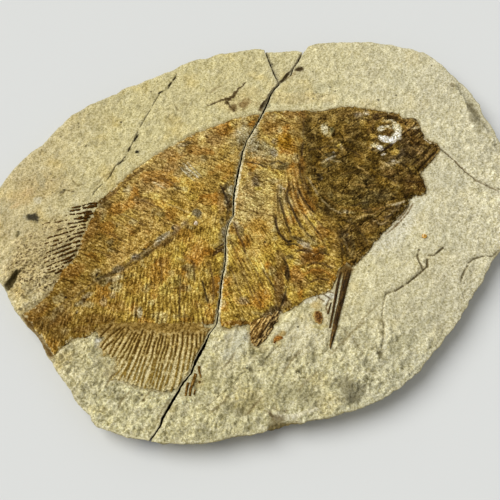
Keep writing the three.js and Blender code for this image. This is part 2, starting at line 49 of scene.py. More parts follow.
# ------------------------------------------------------------------ outlines and traces (mm)
# plate pieces: x, y, inset of the upper rim, inset of the lower rim, 1 along a break between pieces
PLATES = {
    "slab_rear_half": [
        (-46.47, -116.29, 0.35, 0, 1), (-45.95, -112.62, 0.35, 0, 1), (-44.06, -108.98, 0.35, 0, 1), (-42.19, -105.36, 0.35, 0, 1), (-39.82, -101.21, 0.35, 0, 1),
        (-37.74, -97.64, 0.35, 0, 1), (-35.81, -93.92, 0.35, 0, 1), (-32.36, -89.68, 0.35, 0, 1), (-29.79, -81.51, 0.35, 0, 1), (-25.81, -73.83, 0.35, 0, 1),
        (-22.41, -66.79, 0.35, 0, 1), (-19.5, -62.32, 0.35, 0, 1), (-18.93, -56.12, 0.35, 0, 1), (-18.01, -46.89, 0.35, 0, 1), (-17.34, -37.48, 0.35, 0, 1),
        (-16.07, -30.91, 0.35, 0, 1), (-15.39, -24.89, 0.35, 0, 1), (-15.48, -18.18, 0.35, 0, 1), (-15.57, -11.35, 0.35, 0, 1), (-14.73, -6.3, 0.35, 0, 1),
        (-13.1, -0.57, 0.35, 0, 1), (-11.23, 2.59, 0.35, 0, 1), (-11.3, 9.62, 0.35, 0, 1), (-11.18, 16.17, 0.35, 0, 1), (-10.64, 21.47, 0.35, 0, 1),
        (-9.54, 27.48, 0.35, 0, 1), (-7.85, 36.26, 0.35, 0, 1), (-6.14, 45.21, 0.35, 0, 1), (-3.63, 52.86, 0.35, 0, 1), (-0.67, 58.51, 0.35, 0, 1),
        (2.31, 64.2, 0.35, 0, 1), (3.52, 67.06, 0.35, 0, 1), (5.34, 71.39, 0.35, 0, 1), (7.17, 75.75, 0.35, 0, 1), (8.4, 79.41, 0.35, 0, 1),
        (9.64, 82.36, 0.35, 0, 1), (10.9, 86.08, 0.35, 0, 1), (13.41, 90.59, 0.35, 0, 1), (16.48, 94.26, 0.35, 0, 1), (14.08, 99.44, 0.35, 0, 1),
        (11.7, 106.34, 0.35, 0, 1), (9.29, 114.1, 0.35, 0, 1), (7.57, 120.84, 0.5, 0.3, 1), (1.47, 121.58, 0.75, 2.2, 0), (-9.81, 119.61, 0.75, 2.2, 0),
        (-21.05, 117.49, 0.75, 2.2, 0), (-29.71, 113.88, 0.75, 2.2, 0), (-34.07, 113.57, 0.75, 2.2, 0), (-42.66, 109.68, 0.75, 2.2, 0), (-48.69, 105.36, 0.75, 2.2, 0),
        (-64.36, 97.56, 0.75, 2.2, 0), (-80.44, 89.87, 0.75, 2.2, 0), (-82.69, 87.18, 0.75, 2.2, 0), (-97.89, 79.48, 0.75, 2.2, 0), (-109.38, 70.5, 0.75, 2.2, 0),
        (-117.12, 60.44, 0.75, 2.2, 0), (-124.34, 50.22, 0.75, 2.2, 0), (-131.78, 43.27, 0.75, 2.2, 0), (-139.54, 32.67, 0.75, 2.2, 0), (-142.54, 26.61, 0.75, 2.2, 0),
        (-145.39, 20.62, 0.75, 2.2, 0), (-147.38, 15.34, 0.75, 2.2, 0), (-149.25, 8.17, 0.75, 2.2, 0), (-149.99, -0.81, 0.75, 2.2, 0), (-149.61, -9.66, 0.81, 2.68, 0),
        (-147.84, -18.35, 0.87, 3.27, 0), (-145, -26.9, 0.94, 3.87, 0), (-141.37, -33.53, 1, 4.4, 0), (-137.74, -38.29, 1, 4.4, 0), (-132.67, -44.78, 1, 4.4, 0),
        (-132.23, -46.53, 0.99, 4.3, 0), (-126.73, -55.37, 0.5, 4.5, 0), (-120.63, -62.76, 0.5, 4.5, 0), (-113.67, -69.49, 0.5, 4.5, 0), (-110.51, -73.93, 0.5, 4.5, 0),
        (-106.92, -81.06, 0.5, 4.5, 0), (-104.24, -83.78, 0.5, 4.5, 0), (-101.56, -88.5, 1, 4.4, 0), (-97.83, -93.3, 1, 4.4, 0), (-93.58, -98.59, 1, 4.4, 0),
        (-91.45, -102.78, 1, 4.4, 0), (-86.47, -108.47, 1, 4.4, 0), (-82.39, -111.86, 1, 4.4, 0), (-81.3, -114.62, 1, 4.4, 0), (-78.41, -117.4, 1, 4.4, 0),
        (-70.68, -120.18, 1, 4.4, 0), (-62.51, -122.83, 1, 4.4, 0), (-51.61, -124.57, 1.2, 3.4, 1),
    ],
    "slab_front_half": [
        (32.58, 118.87, 0.4, 0.2, 0), (29.82, 114.75, 0.3, 0, 1), (27.71, 110.17, 0.3, 0, 1), (25.78, 107.08, 0.3, 0, 1), (23.15, 100.17, 0.3, 0, 1),
        (19.96, 96.31, 0.3, 0, 1), (16.83, 94.08, 0.3, 0, 1), (13.75, 90.35, 0.3, 0, 1), (11.28, 85.91, 0.3, 0, 1), (10.03, 82.21, 0.3, 0, 1),
        (8.8, 79.27, 0.3, 0, 1), (7.56, 75.6, 0.3, 0, 1), (5.72, 71.23, 0.3, 0, 1), (3.9, 66.9, 0.3, 0, 1), (2.69, 64.02, 0.3, 0, 1),
        (-0.3, 58.32, 0.3, 0, 1), (-3.24, 52.7, 0.3, 0, 1), (-5.41, 45.03, 0.3, 0, 1), (-7.11, 36.12, 0.3, 0, 1), (-8.8, 27.35, 0.3, 0, 1),
        (-9.9, 21.37, 0.3, 0, 1), (-10.43, 16.12, 0.3, 0, 1), (-10.88, 9.62, 0.3, 0, 1), (-10.82, 2.48, 0.3, 0, 1), (-12.72, -0.74, 0.3, 0, 1),
        (-14.32, -6.4, 0.3, 0, 1), (-15.15, -11.38, 0.3, 0, 1), (-15.06, -18.17, 0.3, 0, 1), (-14.97, -24.91, 0.3, 0, 1), (-15.66, -30.97, 0.3, 0, 1),
        (-16.93, -37.53, 0.3, 0, 1), (-17.59, -46.92, 0.3, 0, 1), (-18.51, -56.16, 0.3, 0, 1), (-19.1, -62.46, 0.3, 0, 1), (-22.04, -66.98, 0.3, 0, 1),
        (-24.63, -74.38, 0.3, 0, 1), (-28.6, -82.03, 0.3, 0, 1), (-31.75, -90.02, 0.3, 0, 1), (-35.22, -94.3, 0.3, 0, 1), (-37.12, -97.96, 0.3, 0, 1),
        (-38.85, -101.73, 0.3, 0, 1), (-41.22, -105.89, 0.3, 0, 1), (-43.09, -109.48, 0.3, 0, 1), (-44.92, -113, 0.3, 0, 1), (-46.08, -116.44, 0.3, 0, 1),
        (-51.02, -124.79, 1.2, 3.4, 1), (-45.41, -125.92, 1, 4.4, 0), (-38.44, -126.17, 1, 4.4, 0), (-30.98, -126.42, 1, 4.4, 0), (-25.03, -125.92, 1, 4.4, 0),
        (-15.61, -124.33, 1, 4.4, 0), (-13.63, -123.43, 1, 4.4, 0), (-6.66, -122.33, 1, 4.4, 0), (0.83, -121.33, 1, 4.4, 0), (6.33, -120.03, 1, 4.4, 0),
        (9.02, -117.59, 5, 1.2, 0), (11.58, -116.92, 5, 1.2, 0), (14.14, -116.2, 5, 1.2, 0), (21.44, -115.99, 1, 4.4, 0), (25.46, -115.78, 1, 4.4, 0),
        (28.02, -114.46, 1, 4.4, 0), (37.62, -113.24, 1, 4.4, 0), (46.33, -110.38, 1, 4.4, 0), (49.37, -110.17, 1, 4.4, 0), (57.14, -107.19, 1, 4.4, 0),
        (64.96, -103.97, 1, 4.4, 0), (67.13, -102.1, 1, 4.4, 0), (68.89, -101.73, 1, 4.4, 0), (71.95, -98.96, 1, 4.4, 0), (74.79, -98.06, 1, 4.4, 0),
        (79.05, -93.57, 1, 4.4, 0), (81.19, -92.51, 1, 4.4, 0), (83.25, -90.1, 1, 4.4, 0), (85.04, -89.73, 1, 4.4, 0), (86.73, -88.17, 1, 4.4, 0),
        (88, -85.59, 1, 4.4, 0), (94.31, -78.19, 1, 4.4, 0), (97.86, -75.12, 1, 4.4, 0), (101.38, -69.91, 1, 4.4, 0), (105.09, -66.21, 1, 4.4, 0),
        (110.25, -59.21, 1, 4.4, 0), (111.25, -56.92, 1, 4.4, 0), (114.7, -52.91, 1, 4.4, 0), (115.9, -49.44, 1, 4.4, 0), (117.98, -47.69, 1, 4.4, 0),
        (119.01, -45.36, 1, 4.4, 0), (125.13, -37.7, 1, 4.4, 0), (127.03, -32.93, 0.98, 4.27, 0), (128.67, -31.13, 1, 4.4, 0), (131.14, -26.3, 1, 4.4, 0),
        (136.12, -20.2, 1, 4.4, 0), (142.28, -10.28, 0.98, 4.23, 0), (146.37, -0.81, 0.9, 3.53, 0), (149.02, 10.12, 0.82, 2.86, 0), (150.01, 21.28, 0.76, 2.32, 0),
        (149.85, 32.67, 0.75, 2.2, 0), (148.51, 44.31, 0.75, 2.2, 0), (145.8, 52.67, 1.6, 2.2, 0), (144.51, 55.48, 1.6, 2.2, 0), (144.13, 59.02, 1.6, 2.2, 0),
        (140.82, 67.25, 1.6, 2.2, 0), (137.38, 74.86, 1.6, 2.2, 0), (136.97, 78.52, 1.6, 2.2, 0), (133.02, 87.7, 1.6, 2.2, 0), (126.14, 97.19, 1.6, 2.2, 0),
        (118.8, 107.13, 1.6, 2.2, 0), (112.33, 113.34, 0.75, 2.2, 0), (106.55, 118.27, 0.75, 2.2, 0), (103.45, 118.59, 0.75, 2.2, 0), (99.88, 120.79, 0.75, 2.2, 0),
        (87.58, 123.96, 0.75, 2.2, 0), (73.91, 126.35, 0.75, 2.2, 0), (51.86, 126.19, 0.75, 2.2, 0), (41.75, 125.39, 0.75, 2.2, 0), (34.76, 123.01, 0.75, 2.2, 0),
    ],
    "slab_top_wedge": [
        (9.78, 114.24, 0.3, 0, 1), (12.17, 106.5, 0.3, 0, 1), (14.55, 99.62, 0.3, 0, 1), (16.74, 94.43, 0.3, 0, 1), (19.62, 96.68, 0.3, 0, 1),
        (22.72, 100.42, 0.3, 0, 1), (25.33, 107.3, 0.3, 0, 1), (27.27, 110.4, 0.3, 0, 1), (29.1, 115.1, 0.3, 0, 1), (31.56, 120.79, 0.75, 2.2, 0),
        (27.83, 122.14, 0.75, 2.2, 0), (13.38, 120.79, 0.75, 2.2, 0), (7.97, 120.84, 0.5, 0.3, 1),
    ],
}
# outlines of the fish's pieces; where two join, the lower one is tucked under the upper
SHAPES = {
    "trunk_rear": [
        (-87.48, 9.62), (-88.14, 6.97), (-90.19, 4.39), (-91.27, 0.57), (-92.86, -3.88), (-94.44, -8.27), (-95.5, -13.88), (-96.27, -18.21),
        (-97.87, -22.51), (-98.7, -25.58), (-102.71, -29.85), (-104.69, -31.62), (-106.16, -35.77), (-107.66, -41.05), (-110.41, -45.74), (-113.32, -48.65),
        (-116.15, -52.12), (-119.02, -54.99), (-123.02, -57.28), (-121.85, -58.13), (-119.13, -60.97), (-116.06, -64.64), (-112.42, -68.84), (-109.63, -71.34),
        (-107.46, -74.94), (-105.36, -78.5), (-104.15, -80.14), (-102.29, -77.96), (-99.95, -75.21), (-96.09, -71.9), (-92.07, -69.95), (-87.86, -69.95),
        (-84.85, -68.28), (-82.46, -66.21), (-79.44, -63.94), (-74.72, -62.8), (-67.82, -62.8), (-59.86, -63.08), (-51.92, -63.37), (-43.99, -63.37),
        (-36.07, -63.08), (-28.14, -62.8), (-20.83, -62.27), (-19.46, -55.98), (-18.56, -46.84), (-17.89, -37.41), (-16.62, -30.83), (-15.94, -24.86),
        (-16.03, -18.18), (-16.11, -11.3), (-15.27, -6.18), (-13.61, -0.36), (-11.76, 2.73), (-11.85, 9.63), (-11.73, 16.21), (-11.19, 21.55),
        (-10.08, 27.59), (-8.39, 36.37), (-6.67, 45.34), (-4.14, 53.07), (-1.16, 58.77), (1.82, 64.44), (2.98, 67.18), (4.33, 72.04),
        (-0.47, 71.31), (-4.67, 70.23), (-10.65, 68.78), (-16.59, 65.9), (-22.52, 63.4), (-27.82, 60.9), (-33.11, 58.77), (-38.35, 55.59),
        (-43.55, 52.43), (-48.13, 48.93), (-52.69, 45.81), (-56.68, 43.39), (-60.01, 39.95), (-65.04, 36.19), (-68.9, 32.8), (-72.14, 29.09),
        (-76.47, 24.74), (-80.69, 19.43), (-84.91, 14.83), (-88.07, 11.57),
    ],
    "trunk_front": [
        (4.37, 66.61), (3.19, 63.79), (1.69, 60.93), (0.19, 58.06), (-1.27, 55.28), (-2.74, 52.49), (-3.8, 48.69), (-4.87, 44.89),
        (-5.44, 41.94), (-6.01, 38.98), (-6.57, 36.02), (-7.42, 31.63), (-8.26, 27.24), (-8.81, 24.27), (-9.36, 21.29), (-9.88, 16.08),
        (-10.1, 12.84), (-10.33, 9.61), (-10.31, 5.97), (-10.29, 2.34), (-12.21, -0.96), (-13.78, -6.52), (-14.6, -11.42), (-14.55, -14.79),
        (-14.51, -18.16), (-14.46, -21.55), (-14.42, -24.94), (-14.77, -28), (-15.12, -31.06), (-15.75, -34.33), (-16.38, -37.6), (-16.6, -40.73),
        (-16.82, -43.85), (-17.04, -46.97), (-17.35, -50.01), (-17.65, -53.05), (-17.96, -56.09), (-17.63, -59.1), (-17.29, -62.11), (-16.74, -63.52),
        (-15.13, -65.48), (-12.75, -65.77), (-9.6, -64.19), (-5.9, -63.52), (-1.67, -62.95), (2.57, -62.11), (5.76, -60.69), (8.96, -58.99),
        (12.17, -57.28), (14.84, -56.42), (16.45, -56.14), (20.21, -54.42), (25.11, -50.97), (27.57, -49.23), (30.04, -47.49), (34.93, -46.03),
        (38.73, -45.16), (41.48, -43.69), (43.04, -42.52), (44.67, -37.51), (45.57, -34.46), (46.47, -31.42), (49.48, -29.14), (53.03, -25.18),
        (52.93, -24.91), (51.34, -19.8), (50.54, -14.81), (49.73, -9.5), (48.41, -5.43), (47.17, -2.34), (44.32, 1.2), (42.23, 3.35),
        (40.06, 5.6), (37.89, 7.84), (36.42, 10.45), (34.44, 13.87), (33.35, 17.22), (31.99, 21.32), (31.49, 24.67), (30.89, 28.66),
        (30.66, 31.71), (30.44, 35.1), (30.24, 38.24), (30.41, 41.24), (30.6, 44.46), (30.78, 47.67), (31.16, 51.23), (31.56, 54.98),
        (31.95, 58.72), (32.24, 63.17), (32.51, 67.46), (32.39, 73.49), (32.39, 73.49), (25.38, 73.67), (22.38, 73.85), (19.37, 73.67),
        (16.36, 73.49), (13.35, 73.31), (10.35, 73.13), (7.64, 72.55), (6.01, 69.58),
    ],
    "skull": [
        (30.32, 67.7), (29.78, 59.12), (28.59, 47.89), (28.04, 38.24), (28.65, 28.76), (29.86, 20.76), (32.48, 12.87), (36.23, 6.39),
        (40.58, 1.89), (44.9, -2.56), (47.41, -8.86), (48.26, -14.47), (49.1, -20.02), (51, -26.11), (53.55, -29.74), (56.97, -27.33),
        (60.47, -23.68), (64.63, -18.79), (67.67, -14.47), (70.7, -10.74), (74.31, -6.98), (77.39, -3.19), (80.46, 0.3), (84.14, 4.14),
        (87.88, 8.32), (88.8, 12.55), (91.21, 14.18), (95.32, 15.49), (98.83, 16.47), (99.56, 18.12), (99.23, 20.76), (98.45, 24.74),
        (97.31, 28.09), (97.55, 30.78), (99.18, 32.8), (101.11, 34.83), (103.73, 37.9), (106.36, 40.98), (108.67, 43.73), (109.83, 46.5),
        (109.45, 48.58), (107.89, 50.68), (104.49, 52.08), (101.73, 54.18), (100.28, 57.71), (99.41, 61.26), (98.9, 65.54), (97, 67.7),
        (94.07, 68.42), (91.02, 67.7), (88.68, 68.42), (87.71, 71.31), (82.38, 72.18), (76.47, 73.64), (70.55, 74.95), (64.57, 75.68),
        (58.6, 76.7), (53.78, 76.63), (48.3, 75.31), (42.82, 73.71), (35.6, 73.71), (30.19, 73.49),
    ],
    "anal_fin": [
        (-81.07, -69.4), (-78.64, -70.23), (-79.78, -72.45), (-80.87, -75.21), (-79.44, -76.86), (-77.9, -79.87), (-75.32, -79.59), (-73.12, -81.23),
        (-70.82, -80.68), (-71.96, -82.86), (-70.55, -84.48), (-71.66, -87.17), (-69.77, -88.25), (-71.66, -90.65), (-73.03, -93.05), (-69.43, -93.21),
        (-66.82, -93.84), (-64.72, -94.64), (-62.1, -95.43), (-60.52, -96.22), (-57.4, -97.01), (-54.31, -97.54), (-52.24, -98.07), (-49.68, -98.07),
        (-47.84, -99.12), (-46.03, -99.64), (-43.82, -97.8), (-41.98, -99.12), (-40.51, -97.54), (-39.57, -98.07), (-37.99, -96.52), (-36.61, -93.41),
        (-33.19, -89.22), (-31.79, -85.24), (-30.39, -81.25), (-28.39, -77.41), (-26.4, -73.56), (-24.92, -69.98), (-23.44, -66.4), (-22.02, -64.4),
        (-25.06, -64.24), (-28.2, -61.2), (-32.16, -61.34), (-36.12, -61.49), (-40.08, -61.63), (-44.04, -61.77), (-47.9, -61.77), (-51.86, -61.77),
        (-55.73, -61.63), (-59.7, -61.49), (-63.68, -61.35), (-67.65, -61.21), (-71.19, -61.2), (-75.29, -61.3), (-80.91, -63.04), (-83.72, -65.18),
    ],
    "pelvic_fin": [
        (10.98, -56.1), (7.77, -57.81), (4.72, -59.4), (2.07, -60.57), (-1.92, -61.37), (-1.41, -67.45), (-1.67, -70.23), (-1.14, -73),
        (0.42, -75.21), (3.04, -74.66), (5.14, -73), (6.73, -71.34), (8.86, -68.28), (10.81, -64.08), (13.18, -60.69), (14.21, -54.95),
        (14.16, -54.96),
    ],
    "pectoral_spine_main": [
        (48.28, -36.91), (46, -47.49), (43.6, -56.71), (40.8, -68.56), (39.76, -74.66), (40.23, -77.13), (40.94, -75.21), (43.22, -68.56),
        (46.2, -57.85), (49.6, -46.32), (51.8, -38.1), (53.02, -34.53), (53.47, -31.24), (50.2, -31.12),
    ],
    "pectoral_spine_middle": [
        (44.73, -41.05), (42.94, -49.81), (41.1, -58.99), (39.95, -64.92), (40.97, -64.64), (42.85, -56.71), (44.98, -47.49), (46.38, -40.46),
        (48.21, -32.74), (47.15, -32.14),
    ],
    "pectoral_spine_short": [
        (40.28, -53.27), (39.22, -56.99), (40.11, -57.28), (41.99, -50.68), (41.48, -50.1),
    ],
    "bone_chip_brown": [
        (31.98, -58.42), (32.79, -61.26), (34.85, -62.95), (36.73, -62.11), (37.44, -58.99), (36.43, -56.14), (34.61, -54.71), (32.72, -55.57),
    ],
    "bone_chip_orange": [
        (11.68, -74.11), (12.49, -71.9), (14.08, -71.34), (15.67, -70.4), (14.63, -69.4), (12.54, -68.84), (10.83, -71.07), (10.64, -73.28),
    ],
    "anal_ray_tip_1": [
        (-34.03, -94.49), (-34.49, -97.44), (-34.96, -101.66), (-33.92, -101.8), (-33.24, -97.64), (-32.56, -94.78),
    ],
    "anal_ray_tip_2": [
        (-30.3, -89.61), (-31.62, -94.42), (-32.72, -98.2), (-32.79, -101.7), (-31.61, -101.76), (-31.38, -98.45), (-30.15, -94.86), (-28.67, -90.09),
    ],
    "anal_ray_tip_3": [
        (-30.04, -98.23), (-30.49, -100.88), (-29.88, -101.02), (-29.16, -98.43),
    ],
    "anal_ray_tip_4": [
        (-28.44, -85.77), (-28.54, -88.06), (-27.29, -92.11), (-26.42, -91.86), (-27.44, -87.9), (-27.14, -85.89),
    ],
    "anal_ray_tip_5": [
        (-28.46, -94.16), (-27.73, -95.13), (-26.85, -94.68), (-27.21, -93.53),
    ],
}
# rear dorsal fin rays, base to tip
DORSAL_RAYS = [
    [(-88, 10.6), (-92.5, 10.4), (-96.9, 8.8), (-100.3, 8), (-103, 7.4)],
    [(-88.4, 9), (-93.4, 7.9), (-97.9, 6.6), (-103.7, 5.7)],
    [(-91, 5.7), (-95.4, 4.5), (-99.3, 3.6), (-102.1, 3.2), (-106, 2.9)],
    [(-90.3, 4.5), (-95.3, 2.9), (-98.6, 1.9)],
    [(-91.8, 1.9), (-97.3, 0.7), (-102.9, 0.1), (-105.7, -0.2), (-108.4, -0.8), (-111.2, -1.4), (-114, -1.8), (-116.7, -2.4), (-118.3, -3.2)],
    [(-92.2, 0), (-97.1, -1.5), (-101, -2.2), (-103.8, -2.4), (-106.5, -3), (-109.8, -3.8), (-112, -4.5)],
    [(-93.7, -2.6), (-97, -3.5), (-99.7, -4.1), (-102.5, -4.6), (-104.6, -5.5), (-107.9, -6.2), (-110.1, -6.7)],
    [(-93.5, -4.5), (-96.8, -5.5), (-99.5, -6.4), (-102.2, -7.2), (-104.4, -8), (-107.6, -9.2), (-110.3, -9.9), (-113, -10.7), (-114.6, -11.7)],
    [(-94.4, -7.3), (-97.6, -8.2), (-100.9, -9.5), (-103, -10.5), (-104.6, -11.4), (-107.3, -12.4), (-110, -13.2), (-112.1, -13.8), (-114.3, -14.5), (-115.9, -15.1)],
    [(-95.3, -9.8), (-98, -10.7), (-100.7, -11.8), (-102.8, -13), (-104.4, -13.6), (-107.1, -14.5), (-108.7, -15.1), (-111.3, -16.3), (-114, -17.6)],
    [(-95.8, -12.9), (-98.8, -14.2), (-101.4, -15.3), (-103.6, -16.3), (-105.7, -17.2), (-107.8, -18), (-110, -18.7), (-113.7, -20.4), (-114.7, -21)],
    [(-95.9, -15.4), (-98.6, -16.5), (-101.2, -17.6), (-103.9, -18.8), (-106, -19.5), (-108.6, -20.8), (-110.7, -21.9), (-115.4, -24.3), (-117, -24.9)],
    [(-97, -18.2), (-100.5, -19.8), (-102.6, -20.8), (-104.7, -21.9), (-107.3, -23.3), (-109.9, -24.6), (-113, -26.1), (-115.1, -27)],
    [(-98.1, -21.5), (-100.7, -23.1), (-102.8, -24.3), (-105.4, -25.5), (-108, -26.7), (-111.2, -28.2), (-113.2, -29.3)],
    [(-98.9, -24.3), (-101.5, -25.9), (-104.1, -27.3), (-105.7, -28.1), (-107.8, -29.1), (-110.4, -30.3), (-112, -30.9), (-114, -32.1)],
    [(-103.5, -28.5), (-104.5, -29.3), (-106.6, -30.5), (-108.1, -31.5), (-110.7, -32.7), (-112.7, -33.9)],
    [(-104, -31.1), (-106.4, -32.5), (-108.4, -33.7)],
]
# grooves between the anal fin rays
ANAL_RAYS = [
    [(-74.7, -63), (-77.6, -66.3), (-80, -69.1)],
    [(-69.8, -64.6), (-74.8, -68.6), (-77.2, -71.3), (-79.5, -75.5)],
    [(-67.8, -64.1), (-71.2, -68), (-73.5, -71.9), (-76.5, -74.7), (-77.9, -76.9)],
    [(-68.1, -66.3), (-70, -69.7), (-72.4, -73), (-73.7, -76.3), (-74.8, -79)],
    [(-65.6, -65.2), (-67, -68), (-68.8, -71.9), (-71.1, -76.3), (-73.2, -80.7)],
    [(-63.8, -67.4), (-65.7, -71.3), (-67.5, -75.2), (-69.9, -79.6), (-71.2, -82.3)],
    [(-61.7, -67.4), (-63.6, -71.3), (-65.4, -75.8), (-67.3, -79.6), (-69.6, -83.4), (-71.4, -87.2)],
    [(-60.6, -68.6), (-62, -71.9), (-63.8, -76.9), (-65.5, -81.8), (-67.9, -86.1), (-69.7, -89.3), (-72.8, -92.8)],
    [(-59, -68.6), (-60.4, -72.5), (-61.7, -76.9), (-63.5, -81.2), (-64.8, -85.6), (-66.6, -89.3), (-68.9, -93)],
    [(-58.1, -66.3), (-59.4, -71.3), (-60.7, -75.8), (-62.5, -80.7), (-64.3, -85.6), (-65.6, -88.8), (-66.3, -94.1)],
    [(-56.5, -67.4), (-57.2, -72.5), (-58.6, -76.9), (-59.9, -81.2), (-61.6, -86.1), (-63, -89.3), (-64.8, -93.6)],
    [(-54.3, -68.6), (-55.6, -73.6), (-56.9, -78), (-58.2, -82.3), (-59.5, -86.6), (-60.8, -90.9), (-61.6, -95.2)],
    [(-52.8, -67.4), (-53.6, -72.5), (-54.9, -77.4), (-55.7, -81.2), (-57, -85.6), (-57.8, -89.3), (-59.1, -94.1), (-60.5, -96.2)],
    [(-50.5, -70.2), (-51.9, -75.2), (-52.6, -80.1), (-54, -84.5), (-55.8, -88.2), (-56.6, -92.5), (-57.4, -96.8)],
    [(-48.5, -68.6), (-49.8, -74.1), (-50.6, -80.1), (-51.9, -85), (-52.7, -89.9), (-54.5, -94.6), (-55.3, -97.3)],
    [(-47.4, -69.7), (-48.2, -75.2), (-50, -81.2), (-50.8, -85.6), (-52, -92), (-53.3, -97.3)],
    [(-45.3, -69.1), (-46.1, -74.7), (-47.5, -79.6), (-48.8, -85), (-49.6, -89.3), (-50.9, -94.1), (-52.2, -97.8)],
    [(-44.3, -69.7), (-44.5, -75.2), (-45.9, -80.1), (-47.2, -85.6), (-48, -90.4), (-49.3, -95.2), (-49.7, -98.3)],
    [(-41.7, -68.6), (-42, -74.1), (-42.8, -79.6), (-44.1, -84.5), (-45.5, -88.8), (-46.3, -93), (-47.6, -98.3)],
    [(-39.6, -68.6), (-39.9, -74.1), (-40.7, -79.6), (-42.1, -84.5), (-42.9, -89.3), (-44.2, -94.1), (-46, -99.4)],
    [(-37, -67.4), (-37, -74.1), (-38.1, -80.1), (-38.9, -85.6), (-39.7, -90.9), (-41.1, -96.8), (-42, -98.9)],
    [(-34.3, -67.4), (-34.4, -74.1), (-35.5, -80.7), (-36.3, -86.6), (-37.1, -92), (-38, -97.3), (-38.9, -99.4)],
    [(-31.9, -68.6), (-32, -75.2), (-32.9, -80.7), (-33.7, -86.1), (-34.3, -90.9)],
    [(-29.6, -68.6), (-29.6, -75.2), (-30.8, -81.2), (-31.7, -85.6)],
    [(-27.5, -67.4), (-27.6, -73.6), (-28.8, -78.5)],
    [(-25.4, -67.4), (-26, -73)],
    [(-23.3, -65.8), (-24.3, -69.7)],
]
# hairline cracks in the front half and at the rear edge
STONE_CRACKS = [
    [(110.4, 46.5), (114.7, 42.4), (118.7, 36.2), (122.8, 31.4), (126.4, 27.4), (130.7, 24.7), (136, 21.4), (141.5, 19.4), (149.1, 16.8)],
    [(91.7, -18.8), (90.2, -23.1), (91, -26.7), (92.8, -30.9)],
    [(105.1, -17.6), (101.5, -20.6), (99.6, -22.5), (96.9, -22.5), (95.6, -24.9), (95.2, -29.1), (92.7, -31.5), (89.2, -34.5), (86.3, -36.9), (83.4, -39.3), (78.8, -42.2), (76, -44), (73.2, -44.6), (71.6, -45.2), (70.6, -48.1), (69.5, -51.5), (68.5, -58.4), (69.2, -63.5), (68.2, -70.8), (67, -76.3)],
    [(135.9, -18.8), (132, -23.1), (126, -23.1), (121.4, -24.3), (118.4, -26.7), (117, -29.1), (115.1, -32.1), (113.6, -35.1), (112.1, -39.3)],
    [(120.7, -30.9), (118.2, -33.3)],
    [(113, -45.7), (113.1, -49.8)],
    [(-1.7, -87.7), (-6.8, -90.4), (-9.4, -94.1), (-14.4, -99.4), (-19.4, -103.6), (-24.4, -107.7)],
    [(3, -88.8), (6.1, -82.3), (9.8, -78), (14, -74.1)],
    [(-123.8, 47.2), (-124.5, 43)],
    [(-126, -55), (-122.4, -53.3), (-119.5, -51), (-115.4, -49.2)],
]
# mineral dendrite at the back of the trunk
DENDRITES = [
    [(-27.6, 78.6), (-24, 79.3), (-21, 81.5), (-17.4, 82.3), (-13.8, 83), (-12, 85.2), (-10.2, 88.2), (-7.8, 91.2), (-4.1, 95.7)],
    [(-16.2, 81.5), (-13.7, 77.9), (-11.3, 74.2)],
]
# hairline across the rear half
HAIR = [(-46.1, 104.1), (-47.7, 98.8), (-50, 95), (-51.7, 91.2), (-54.1, 89), (-56.4, 87.5), (-57.5, 85.2), (-59.2, 81.5), (-60.8, 77.1), (-62.4, 73.5), (-64, 69.9), (-66.1, 65.5), (-68.2, 59.8), (-69.7, 54.9), (-71.7, 49.3), (-72.7, 46.5), (-74.2, 42.4), (-76.3, 38.9), (-79, 36.9), (-81.1, 32.8), (-82, 29.4), (-84.6, 25.4), (-88.8, 20.8), (-90.9, 18.1), (-92.2, 12.9)]
# lateral midline of the trunk
MIDLINE = [(-31.6, 5.1), (-35.4, -0.7), (-40.8, -5.7), (-46.2, -10.1), (-51.6, -14.5), (-56.9, -18.8), (-62.2, -23.1), (-65.9, -25.5), (-72.7, -29.7), (-80.5, -35.1), (-85.7, -38.7), (-90.7, -42.8), (-95.7, -47.5), (-100.7, -51.5), (-108.1, -57.3), (-115.1, -61.3)]
# chip out of the rear edge
NOTCH = [(-126.7, -31.2), (-127.6, -32.7), (-128.7, -36.9), (-130.4, -40.8), (-132.3, -43.1), (-135, -42.8), (-134.9, -39.9), (-132.6, -36.3), (-130.9, -32.7), (-129.5, -30.9)]
# bruise above the chip
NOTCH_LINE = [(-126.6, -31.5), (-124.8, -28.5), (-122.2, -27.3), (-118.2, -23.7), (-114.7, -20.6)]
# step inside the far right edge
BEVEL = [(118.6, 103.3), (123.7, 93.5), (126.9, 83.8), (130.6, 73.5), (134.7, 67.7), (140.5, 57), (142.8, 43)]
# base of the rear dorsal fin
FIN_BASE = [(-88.1, 11.6), (-87.6, 9.6), (-88.3, 7), (-90.3, 4.5), (-91.4, 0.6), (-93, -3.8), (-94.6, -8.2), (-95.6, -13.8), (-96.4, -18.2), (-98, -22.5), (-98.8, -25.5), (-102.8, -29.7), (-104.8, -31.5), (-106.3, -35.7)]
# base of the anal fin
ANAL_BASE = [(-82.4, -66.3), (-79.4, -64.1), (-74.7, -63), (-67.8, -63), (-59.9, -63.2), (-51.9, -63.5), (-44, -63.5), (-36.1, -63.2), (-28.1, -63), (-20.7, -62.4)]
